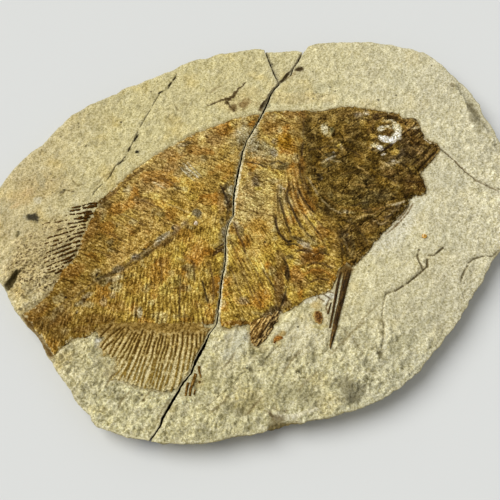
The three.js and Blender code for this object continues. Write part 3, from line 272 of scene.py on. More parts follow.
# the break between the halves, top to bottom
BREAK = [(31.4, 118.1), (29.5, 115), (27.5, 110.3), (25.6, 107.2), (22.9, 100.3), (19.8, 96.5), (16.7, 94.2), (13.6, 90.5), (11.1, 86), (9.8, 82.3), (8.6, 79.3), (7.4, 75.7), (5.5, 71.3), (3.7, 67), (2.5, 64.1), (-0.5, 58.4), (-3.4, 52.8), (-5.8, 45.1), (-7.5, 36.2), (-9.2, 27.4), (-10.3, 21.4), (-10.8, 16.1), (-11.1, 9.6), (-11, 2.5), (-12.9, -0.7), (-14.5, -6.4), (-15.4, -11.4), (-15.3, -18.2), (-15.2, -24.9), (-15.9, -30.9), (-17.1, -37.5), (-17.8, -46.9), (-18.7, -56.1), (-19.3, -62.4), (-22.2, -66.9), (-25.2, -74.1), (-29.2, -81.8), (-32.1, -89.9), (-35.5, -94.1), (-37.4, -97.8), (-39.3, -101.5), (-41.7, -105.6), (-43.6, -109.2), (-45.4, -112.8), (-46.3, -116.4), (-48.1, -120.4), (-50.4, -123.4), (-51.3, -125.2)]
# patches: x, y, radii, turn in degrees, colour, strength
MARKS_REAR = [
    (-50.8, -32.1, 5.5, 10.7, -20, (172, 108, 34), 0.42), (-40.8, -36.9, 4.9, 8.3, -10, (204, 156, 66), 0.32), (-72.7, -21.9, 11.4, 4.7, 35, (190, 152, 92), 0.32),
    (-117.2, -56.7, 7.7, 5.6, 40, (122, 80, 30), 0.42), (-91.2, -5.1, 3.4, 12.4, -25, (122, 84, 36), 0.42), (-29.3, -18.8, 7.7, 12.3, 0, (168, 112, 40), 0.28),
    (-57.7, -3.2, 17.6, 7.3, 35, (176, 140, 84), 0.22), (-43.9, 45.1, 29.9, 14.5, 35, (188, 158, 94), 0.42), (-16.3, 41, 4.7, 9.6, 0, (178, 142, 56), 0.5),
    (-14.4, 34.2, 3.5, 5.4, 0, (170, 125, 35), 0.6), (-41.3, 6.4, 7.4, 5.1, 10, (180, 142, 54), 0.5), (-32.6, 21.4, 5.8, 3.3, -10, (172, 130, 45), 0.5),
    (-63.7, -15.7, 9.6, 4.9, 25, (174, 138, 60), 0.5), (-52.9, -32.7, 7.1, 4.8, 0, (160, 115, 40), 0.55), (-63.9, -41.1, 5.9, 4.7, 0, (162, 118, 42), 0.55),
    (-74.1, -26.1, 6.2, 3.6, 25, (172, 138, 66), 0.4), (-61.2, 9.6, 5.7, 4.5, 0, (150, 112, 54), 0.55), (-90.7, -5.1, 5, 8.2, 0, (128, 92, 34), 0.75),
    (-97.7, -32.1, 6.7, 3.5, 30, (122, 86, 30), 0.7), (-49.4, -26.1, 3.8, 3, 0, (122, 84, 30), 0.6), (-37.3, -10.1, 5, 5, 0, (150, 105, 36), 0.6),
    (-30.6, 31.4, 5.8, 4, 0, (184, 170, 104), 0.4), (-41.8, -38.1, 4.3, 3.6, 0, (188, 170, 84), 0.6), (-47, -43.4, 4.3, 2.9, 0, (182, 164, 78), 0.5),
    (-26.1, -12.6, 6.7, 6.2, 0, (178, 156, 66), 0.4), (-31.6, 3.8, 2.7, 3.4, 40, (104, 96, 74), 0.85), (-32, -2.6, 1.3, 1.4, 0, (238, 220, 196), 1),
    (-38.1, 31.4, 4.3, 2.2, -40, (190, 182, 150), 0.6), (-71.5, 19.4, 2.9, 2.6, 0, (166, 158, 126), 0.5), (-51.6, 22.1, 4.1, 2, -15, (192, 168, 124), 0.4),
    (-50.1, -11.4, 4.7, 1.8, 40, (206, 198, 168), 0.85), (-53.2, -15.1, 2.9, 1.8, 40, (190, 182, 150), 0.7), (-64.4, -23.7, 2.8, 2.1, 30, (150, 140, 124), 0.8),
    (-58.4, -21.2, 3.4, 1.8, 35, (140, 136, 96), 0.7), (-73.8, -30.9, 3.4, 2.3, 30, (150, 142, 116), 0.75), (-81.4, -37.5, 3.8, 3.6, 0, (112, 104, 64), 0.7),
    (-75, -36.3, 4.9, 2.4, 20, (194, 184, 150), 0.65), (-74.1, -41.6, 3.8, 2.9, 0, (178, 170, 132), 0.55), (-88.8, -46.3, 3.3, 1.7, 30, (194, 180, 146), 0.65),
    (-93.2, -51, 2.7, 1.7, 30, (150, 140, 110), 0.6), (-79.9, -49.8, 2.1, 2.9, 0, (194, 176, 146), 0.5), (-75.4, -46.3, 2.2, 1.7, 0, (186, 172, 140), 0.5),
    (-47.7, -14.5, 5.2, 1.5, 38, (84, 60, 24), 0.8), (-56.8, -20.6, 4, 1.1, 35, (96, 70, 30), 0.6), (-43, -8.2, 3.7, 1.7, 60, (110, 84, 50), 0.6),
    (-43.6, -5.1, 2.2, 1.9, 0, (130, 112, 90), 0.6), (-38.1, -2.6, 2.2, 1.9, 0, (170, 150, 120), 0.5), (-65.4, -24.3, 1.3, 0.7, 0, (30, 22, 14), 1),
    (-60.2, -18.8, 1.1, 0.6, 0, (36, 26, 16), 1), (-84.9, -34.5, 0.8, 1.1, 0, (40, 30, 16), 1), (-84.2, -36.9, 1.2, 0.9, 0, (60, 50, 24), 0.9),
    (-75.7, -42.2, 0.6, 0.6, 0, (34, 24, 12), 1), (-69, -36.3, 0.6, 0.5, 0, (44, 30, 14), 1), (-100.5, -47.5, 0.9, 0.7, 0, (30, 20, 12), 1),
    (-93.8, -56.1, 0.6, 1.2, -20, (50, 36, 16), 1), (-98.1, -21.2, 0.9, 0.7, 0, (24, 18, 12), 1), (-76.2, -4.5, 0.6, 0.6, 0, (50, 36, 20), 0.9),
    (-44.7, -5.7, 0.8, 1.3, 40, (50, 40, 26), 0.9), (-90.7, -49.2, 0.8, 1.5, 30, (70, 50, 22), 0.9), (-60.3, -56.1, 1.6, 3.4, 0, (196, 188, 156), 0.85),
    (-63, -55.6, 0.9, 3.4, -5, (206, 188, 140), 0.6), (-54.2, -50.4, 2.1, 1.7, 0, (200, 186, 140), 0.5), (-110.2, -63, 6.4, 4.5, 0, (118, 90, 42), 0.6),
    (-101.6, -59, 5.3, 5.7, 0, (112, 86, 42), 0.5), (-113.9, -53.3, 5.5, 2.8, 35, (124, 96, 48), 0.6), (-81.3, -60.1, 9.6, 3.4, 0, (118, 86, 32), 0.75),
    (-88.8, -65.8, 6.3, 2.2, 0, (104, 74, 26), 0.75), (-101.7, -68.6, 5.3, 3.8, 30, (122, 94, 44), 0.5), (-72.2, -52.7, 5.3, 3.5, 0, (122, 84, 26), 0.6),
    (-96.1, -42.8, 5.6, 3.4, 35, (136, 104, 50), 0.4), (-95.9, -15.7, 4.4, 4.9, 0, (132, 100, 48), 0.4), (-83.9, 9.6, 4.5, 3.2, 0, (86, 70, 36), 0.7),
    (-85.5, 15.5, 4.7, 3.2, 30, (92, 70, 34), 0.7), (-80.5, 17.5, 3.6, 2.5, 30, (104, 76, 32), 0.6), (-51.4, 43, 6, 3.4, 20, (140, 104, 54), 0.45),
    (-39.9, 50, 5.4, 1.7, 20, (150, 140, 112), 0.6), (-47, 34.8, 4.6, 3.4, 0, (146, 112, 60), 0.4), (-22.3, 53.5, 5.9, 4.9, 0, (140, 104, 56), 0.4),
    (-7.6, 62, 3.6, 5.7, 0, (158, 138, 92), 0.5), (-9.9, 53.5, 5.3, 6.3, 0, (160, 146, 104), 0.5), (-5.8, 57, 3.6, 6.9, -20, (172, 164, 128), 0.7),
    (-27.2, 9.6, 4.5, 3.9, 0, (184, 158, 80), 0.4), (-59.1, 22.7, 8, 5.3, 0, (158, 124, 72), 0.4), (-17.6, 12.9, 2.6, 10.4, 0, (134, 108, 60), 0.6),
    (-14.2, 16.1, 2, 7.9, -8, (118, 112, 86), 0.75), (-16, 20.8, 1.4, 4.5, -30, (60, 48, 28), 0.7), (-13.6, 9.6, 1.4, 5.2, 0, (72, 58, 34), 0.7),
    (-12.5, 19.4, 1.2, 3.3, -10, (176, 172, 146), 0.7), (-15.6, 31.4, 3.5, 5.4, 0, (150, 118, 58), 0.4), (-19.3, -20, 4.6, 1.3, 40, (70, 48, 28), 0.8),
    (-17.2, -11.4, 2.2, 6.2, 0, (120, 110, 78), 0.5), (-16.2, -7.6, 1.4, 3.1, 0, (196, 190, 170), 0.55), (-17.4, -1.3, 1.7, 3.2, 0, (110, 96, 60), 0.6),
    (-35.6, -29.7, 3.3, 2.4, 0, (176, 170, 130), 0.5), (-34.3, -33.9, 2.2, 3.6, 0, (150, 146, 110), 0.5), (-22.2, -42.8, 2.7, 7, 0, (160, 120, 50), 0.5),
    (-23, -56.7, 3.7, 3.4, 0, (156, 104, 28), 0.6), (-25.5, -61.8, 3.2, 1.7, 0, (122, 84, 30), 0.6), (-52.4, 3.2, 2.8, 1.9, 0, (192, 180, 134), 0.4),
    (-32.1, -18.8, 5, 3.7, 0, (160, 120, 50), 0.45),
]
# the same on the front of the trunk
MARKS_FRONT = [
    (20.1, 49.3, 4.8, 8.2, 20, (168, 104, 38), 0.48), (1.7, -14.5, 5.6, 14.9, -5, (206, 164, 74), 0.32), (31.9, -23.7, 6.6, 5.5, 0, (146, 94, 42), 0.38),
    (48.3, -12.6, 6.9, 6.1, 30, (150, 104, 50), 0.28), (0.6, 9.6, 13.6, 18.1, 0, (204, 180, 120), 0.46), (5, -7.6, 7.9, 11.2, -20, (190, 164, 98), 0.3),
    (-1.7, 12.9, 6.9, 16.9, -10, (196, 174, 110), 0.6), (5.2, 26.1, 8.1, 6.7, 0, (190, 168, 108), 0.5), (-7.1, -33.9, 5.5, 15.5, -12, (184, 152, 70), 0.5),
    (-1.7, 58.4, 4.8, 9.1, -15, (180, 172, 136), 0.8), (5.4, 45.1, 7, 6.2, 0, (166, 156, 112), 0.75), (-0.5, 49.3, 4.7, 6.3, 0, (166, 158, 124), 0.7),
    (13.1, 51.4, 2.1, 2.1, 0, (206, 188, 150), 0.75), (12.4, 43.7, 2.1, 3.4, 20, (130, 122, 104), 0.6), (7.1, 37.6, 7, 3.4, 0, (166, 146, 92), 0.5),
    (19, 51.4, 5.3, 5.6, 0, (160, 116, 24), 0.85), (10.2, 61.3, 5.4, 5, 0, (150, 108, 42), 0.6), (22.4, 46.5, 5.5, 3.3, -30, (150, 110, 28), 0.6),
    (16.2, 64.8, 4.2, 2.5, 0, (106, 78, 26), 0.7), (31.3, 70.6, 4.8, 2.9, 0, (166, 126, 72), 0.5), (28.2, 66.3, 3, 2.9, 0, (180, 160, 110), 0.5),
    (22.3, 70.6, 4.8, 2.9, 0, (140, 100, 44), 0.5), (-0.5, 69.9, 3.6, 1.8, 0, (124, 84, 40), 0.6), (25.6, 59.1, 3, 6.4, 0, (156, 120, 50), 0.5),
    (9.1, 69.1, 4.2, 2.2, 0, (150, 122, 70), 0.5), (25.2, 39.6, 2.3, 3.4, 0, (196, 180, 130), 0.6), (18.1, 34.2, 3.6, 2.6, 30, (120, 112, 76), 0.6),
    (1.2, 24.7, 2.3, 4, 0, (106, 90, 66), 0.65), (-1.1, 29.4, 1.7, 1.7, 0, (96, 74, 46), 0.6), (2.3, 22.1, 1.7, 1.3, 0, (70, 58, 40), 0.6),
    (-4, 20.1, 1.7, 1.3, 0, (80, 66, 30), 0.5), (2.9, 19.4, 2.3, 1.3, 0, (188, 164, 60), 0.7), (8, 16.1, 3.4, 7.9, 0, (190, 164, 84), 0.45),
    (2.9, 9.6, 5.7, 5.2, 0, (188, 164, 92), 0.4), (3.4, -5.1, 6.2, 5.7, 0, (180, 136, 50), 0.7), (8.8, -19.4, 3.3, 3.1, 0, (182, 142, 54), 0.6),
    (-0.6, -20, 4.4, 3.1, 0, (170, 136, 66), 0.4), (-7.3, -7.6, 2.3, 6.2, 15, (156, 144, 106), 0.5), (-9.5, -3.2, 1.7, 5, 15, (206, 196, 160), 0.5),
    (-11.7, -12.6, 2.8, 7.5, 0, (186, 166, 96), 0.4), (16, 12.9, 2.3, 9.8, 0, (122, 114, 74), 0.55), (15.5, 19.4, 1.7, 3.3, 0, (112, 106, 86), 0.6),
    (17.8, 19.4, 0.9, 0.8, 0, (226, 212, 190), 0.9), (21.8, 20.8, 1.4, 4.6, 20, (88, 60, 20), 0.7), (25.2, 19.4, 1.4, 7.9, 0, (128, 90, 36), 0.6),
    (25.7, 15.5, 0.8, 3.3, 0, (50, 34, 16), 0.8), (6.6, -14.8, 0.6, 0.7, 0, (24, 18, 10), 1), (20.8, -14, 1.1, 0.7, 0, (16, 12, 8), 1),
    (28.8, -16.3, 2.8, 1.8, -20, (190, 176, 150), 0.8), (26.1, -14.5, 2.2, 1.5, 0, (120, 110, 86), 0.7), (30.9, -18.2, 2, 1, -30, (200, 180, 150), 0.7),
    (24.5, -12.6, 4.5, 1.5, -20, (80, 70, 50), 0.6), (15.3, -26.1, 3.3, 7.2, 10, (116, 88, 42), 0.7), (14, -39.9, 3.2, 8.3, 0, (112, 80, 34), 0.75),
    (14.4, -48.7, 3.8, 7, 0, (100, 72, 30), 0.75), (18.5, -33.9, 1.4, 4.8, 0, (56, 42, 24), 0.85), (11.6, -56.7, 4.4, 4.5, 35, (60, 46, 26), 0.85),
    (17.1, -50.4, 2.7, 5.2, 20, (84, 64, 36), 0.7), (7.9, -60.1, 3.8, 2.8, 40, (84, 66, 40), 0.8), (24.6, -27.3, 2.7, 2.1, 0, (166, 146, 84), 0.7),
    (32.4, -23.7, 6, 3.7, 0, (124, 84, 30), 0.8), (34.3, -32.1, 5.5, 2.4, 0, (112, 74, 22), 0.75), (41, -29.7, 4.4, 4.8, 0, (130, 98, 40), 0.6),
    (38.1, -20, 3.4, 1.8, -30, (90, 76, 44), 0.6), (29.2, -20, 3.9, 1.8, -20, (86, 64, 36), 0.6), (25.4, -39.3, 5.4, 3.5, 0, (168, 136, 80), 0.5),
    (36.3, -36.9, 5.4, 3.6, 0, (134, 104, 52), 0.5), (20.3, -23.7, 2.2, 1.8, 0, (60, 52, 40), 0.5), (27.4, -26.1, 1.6, 3.6, 0, (110, 80, 36), 0.6),
    (-8.6, -62.4, 6.9, 1.5, 0, (118, 80, 24), 0.85), (-13.8, -64.9, 2.6, 1.1, 0, (196, 166, 76), 0.9), (-4.3, -57.3, 7.5, 3.4, 0, (160, 134, 66), 0.3),
    (-7.1, -36.9, 5.4, 4.7, 0, (156, 134, 78), 0.35), (-5.4, -49.8, 3.2, 2.3, 0, (170, 160, 140), 0.5), (1, -44, 3.2, 4.7, 0, (164, 130, 56), 0.4),
    (23.4, -33.9, 3.3, 3.6, 0, (150, 116, 60), 0.5), (35, -42.8, 6.6, 2.3, 30, (136, 116, 70), 0.4), (45.2, -20, 3.3, 4.9, 0, (150, 124, 70), 0.4),
    (37.3, -9.5, 4.5, 7.5, 0, (168, 146, 90), 0.3), (-9.7, -49.2, 2.1, 7, 0, (172, 142, 60), 0.4),
]
# on the skull
MARKS_SKULL = [
    (93.3, 62.3, 4.2, 2.1, 10, (184, 150, 84), 0.6), (51.2, 72, 24, 6.5, -2, (166, 136, 72), 0.4), (83.2, 67.7, 12, 4.3, -8, (170, 140, 78), 0.35),
    (42.3, 59.8, 2.4, 3.9, 0, (214, 206, 166), 0.9), (44.5, 56.3, 2.4, 2.1, 0, (196, 186, 140), 0.6), (46.4, 59.1, 1.8, 2.1, 0, (128, 122, 78), 0.8),
    (44.2, 64.1, 1.5, 1.4, 0, (170, 150, 90), 0.6), (51.2, 48.2, 1.9, 2.1, 0, (196, 168, 66), 0.85), (46.9, 43.4, 1, 0.8, 0, (226, 216, 196), 0.9),
    (39.2, 26.1, 1, 1.1, 0, (232, 222, 206), 1), (38.1, 26.7, 1.7, 3, 0, (46, 38, 24), 0.8), (45.1, 41.7, 4.7, 2.1, 10, (66, 58, 34), 0.7),
    (43.2, 37.6, 4.1, 1.1, 15, (150, 140, 112), 0.6), (47.3, 38.2, 3.5, 0.9, -15, (140, 130, 100), 0.6), (42.5, 34.8, 3.5, 1.7, 0, (72, 66, 40), 0.6),
    (44.9, 22.7, 8.6, 6, 0, (122, 98, 38), 0.7), (52.3, 11.6, 9.1, 3.9, 0, (116, 98, 42), 0.6), (62.7, 22.7, 6.9, 6, 0, (98, 84, 44), 0.5),
    (62.6, 41.7, 4.1, 3.4, 0, (138, 108, 46), 0.55), (58.9, 59.1, 5.9, 5.7, 0, (98, 76, 34), 0.5), (39, 67.7, 5.4, 4.3, 0, (140, 112, 54), 0.55),
    (34.9, 53.5, 4.1, 7, 0, (104, 82, 36), 0.5), (55.3, 71.3, 5.4, 3.6, 0, (116, 90, 40), 0.5), (63, 69.9, 3, 2.2, 0, (156, 142, 118), 0.75),
    (67.9, 71.7, 2.1, 1.9, 0, (214, 202, 170), 0.85), (65.3, 67, 4.2, 2.2, 0, (162, 136, 70), 0.6), (70.5, 64.8, 2.4, 2.9, 0, (120, 88, 40), 0.5),
    (73.7, 68.4, 2.4, 2.9, 0, (62, 42, 24), 0.8), (81, 69.5, 7.2, 1.7, -6, (72, 50, 22), 0.85), (83.2, 67, 4.8, 1.4, -8, (60, 46, 22), 0.8),
    (88.2, 69.9, 1.8, 1.2, 0, (150, 116, 48), 0.7), (79.4, 73.1, 7.2, 1.2, -8, (128, 98, 44), 0.7), (94.2, 62.7, 4.8, 2.1, 10, (156, 126, 58), 0.75),
    (90.2, 64.8, 3.6, 1.7, 0, (96, 66, 24), 0.7), (96.9, 66.3, 3.1, 1.4, -20, (90, 68, 30), 0.6), (91.9, 56.3, 3.6, 4.2, 0, (88, 64, 30), 0.7),
    (96.8, 58.4, 1.8, 3.5, 0, (58, 40, 24), 0.7), (96.8, 51.4, 4.7, 4.2, 0, (98, 70, 28), 0.6), (88.5, 51.4, 3.7, 2.7, 30, (66, 48, 24), 0.7),
    (92.1, 45.1, 7, 4.8, 0, (86, 68, 42), 0.7), (87.6, 39.6, 8.2, 4.1, 0, (76, 62, 36), 0.7), (85.5, 43, 3.5, 3.4, 0, (74, 62, 44), 0.6),
    (102.9, 47.2, 5, 2, 35, (74, 56, 22), 0.6), (97.8, 43.7, 2.5, 1.1, 35, (168, 140, 96), 0.6), (104.6, 41, 3.8, 1.7, 45, (62, 44, 16), 0.7),
    (98.5, 38.2, 5.1, 1.3, 45, (128, 100, 50), 0.6), (107.5, 47.2, 1.8, 1.8, 0, (70, 50, 24), 0.5), (109.3, 46.8, 1.2, 2.1, 0, (176, 150, 100), 0.7),
    (92.5, 22.7, 7.5, 6, 0, (84, 58, 18), 0.8), (83.7, 27.4, 5.8, 5.4, 0, (88, 66, 28), 0.6), (78.1, 30.1, 4, 2.7, 0, (112, 84, 40), 0.6),
    (79.7, 35.5, 4.1, 1.5, 12, (164, 150, 110), 0.7), (82.2, 37.6, 3.5, 1, -8, (196, 186, 156), 0.7), (74.9, 33.5, 1.7, 2, 0, (150, 126, 80), 0.6),
    (92.2, 19.4, 1.3, 0.7, 0, (150, 126, 60), 0.8), (75.3, 14.8, 6.8, 4.6, 0, (72, 58, 28), 0.6), (67.8, 13.5, 4.6, 4.6, 0, (80, 70, 40), 0.5),
    (63.5, 9, 2.3, 3.9, 0, (66, 60, 34), 0.6), (54.8, 4.1, 1.5, 1, 0, (196, 180, 124), 0.85), (52.5, 4.1, 2, 1.3, 0, (200, 184, 140), 0.85),
    (56.5, 3.8, 1.4, 0.9, 0, (190, 170, 110), 0.6), (69, 6.1, 5.1, 0.9, 5, (146, 108, 48), 0.75), (73.1, 7, 2.8, 0.6, 10, (156, 120, 60), 0.6),
    (64.4, 4.8, 2.8, 1.9, 0, (62, 46, 22), 0.7), (60.8, 0.3, 4, 1, 12, (160, 134, 70), 0.75), (63.2, -5.7, 7.3, 3.8, 0, (124, 94, 40), 0.6),
    (67.9, -2.6, 3.4, 3.2, 0, (84, 62, 26), 0.6), (75.3, -1.3, 2.3, 3.8, -20, (70, 50, 22), 0.6), (50.6, -12.6, 3.3, 4.4, 0, (48, 38, 22), 0.8),
    (53.1, -6.4, 2.8, 2.5, 0, (96, 74, 40), 0.6), (48.6, -7.6, 2.2, 1.5, 0, (160, 132, 80), 0.5), (51.8, -10.1, 1.1, 0.9, 0, (190, 176, 150), 0.7),
    (54.8, -16.9, 1.7, 4.9, 0, (44, 34, 18), 0.6), (60.4, -15.7, 4.4, 4.3, 0, (120, 92, 40), 0.5), (56.7, -23.1, 3.3, 3, 0, (110, 84, 40), 0.5),
    (53.9, -1.3, 1.7, 0.7, 30, (180, 160, 110), 0.6), (43.5, 5.1, 4.8, 1.8, -40, (104, 84, 40), 0.4), (71.7, 55.6, 2.5, 2.3, 0, (172, 136, 62), 0.75),
    (68.9, 58.4, 1.5, 2.1, 0, (112, 84, 44), 0.5), (72.4, 48.6, 3.5, 2.1, -10, (196, 176, 130), 0.7), (68.2, 46.5, 1.8, 1.1, 0, (186, 156, 100), 0.6),
    (71, 45.1, 3, 1.1, -25, (190, 168, 120), 0.6),
]
# in and round the eye socket
MARKS_EYE = [
    (85.1, 61.3, 3.2, 2.7, -40, (216, 208, 168), 0.95), (86.1, 58.4, 1.9, 3.2, 0, (222, 214, 180), 0.95), (84.7, 54.9, 2.8, 3, 30, (228, 222, 196), 1),
    (81.5, 52.1, 3.1, 2.4, 30, (230, 226, 206), 1), (77.7, 53.1, 3.9, 2.5, -15, (234, 230, 214), 1), (75.5, 54.5, 1.8, 1.7, 0, (226, 220, 196), 0.95),
    (75.9, 60.3, 2.7, 2, 25, (226, 218, 186), 0.95), (79.8, 62, 2, 1.1, 10, (214, 204, 166), 0.9), (80.4, 65.1, 3.3, 0.8, -8, (196, 172, 108), 0.9),
    (84.1, 63.8, 1.9, 0.9, -30, (206, 190, 140), 0.85), (78.5, 57.7, 3.2, 1.7, 3, (100, 76, 36), 1), (81.7, 59.1, 1.5, 1.4, 0, (124, 96, 48), 0.95),
    (80.3, 55.9, 1.3, 1.1, 0, (84, 58, 28), 0.9), (79.3, 63.3, 2.4, 0.7, 5, (90, 68, 30), 0.7), (81.4, 60.8, 1, 0.8, 0, (206, 196, 158), 0.9),
    (81.8, 61, 0.5, 0.6, 0, (110, 86, 40), 0.8), (70.8, 55.2, 2, 2, 0, (186, 154, 72), 0.85), (73.1, 58.4, 1.1, 1.8, 0, (96, 74, 32), 0.7),
    (71.2, 48.2, 2.4, 1.5, -20, (220, 208, 160), 0.9), (74.3, 46.8, 2.2, 1.5, -10, (232, 226, 204), 1), (69.6, 50, 1.3, 1.1, 0, (196, 170, 96), 0.8),
    (77.1, 48.2, 1.5, 0.8, 30, (196, 176, 112), 0.75), (82.9, 43.9, 2.6, 2.3, 15, (190, 160, 78), 1), (81.7, 43, 1.2, 1, 0, (170, 136, 58), 0.8),
    (76.1, 42.4, 1.6, 0.7, 25, (222, 212, 190), 0.95),
]
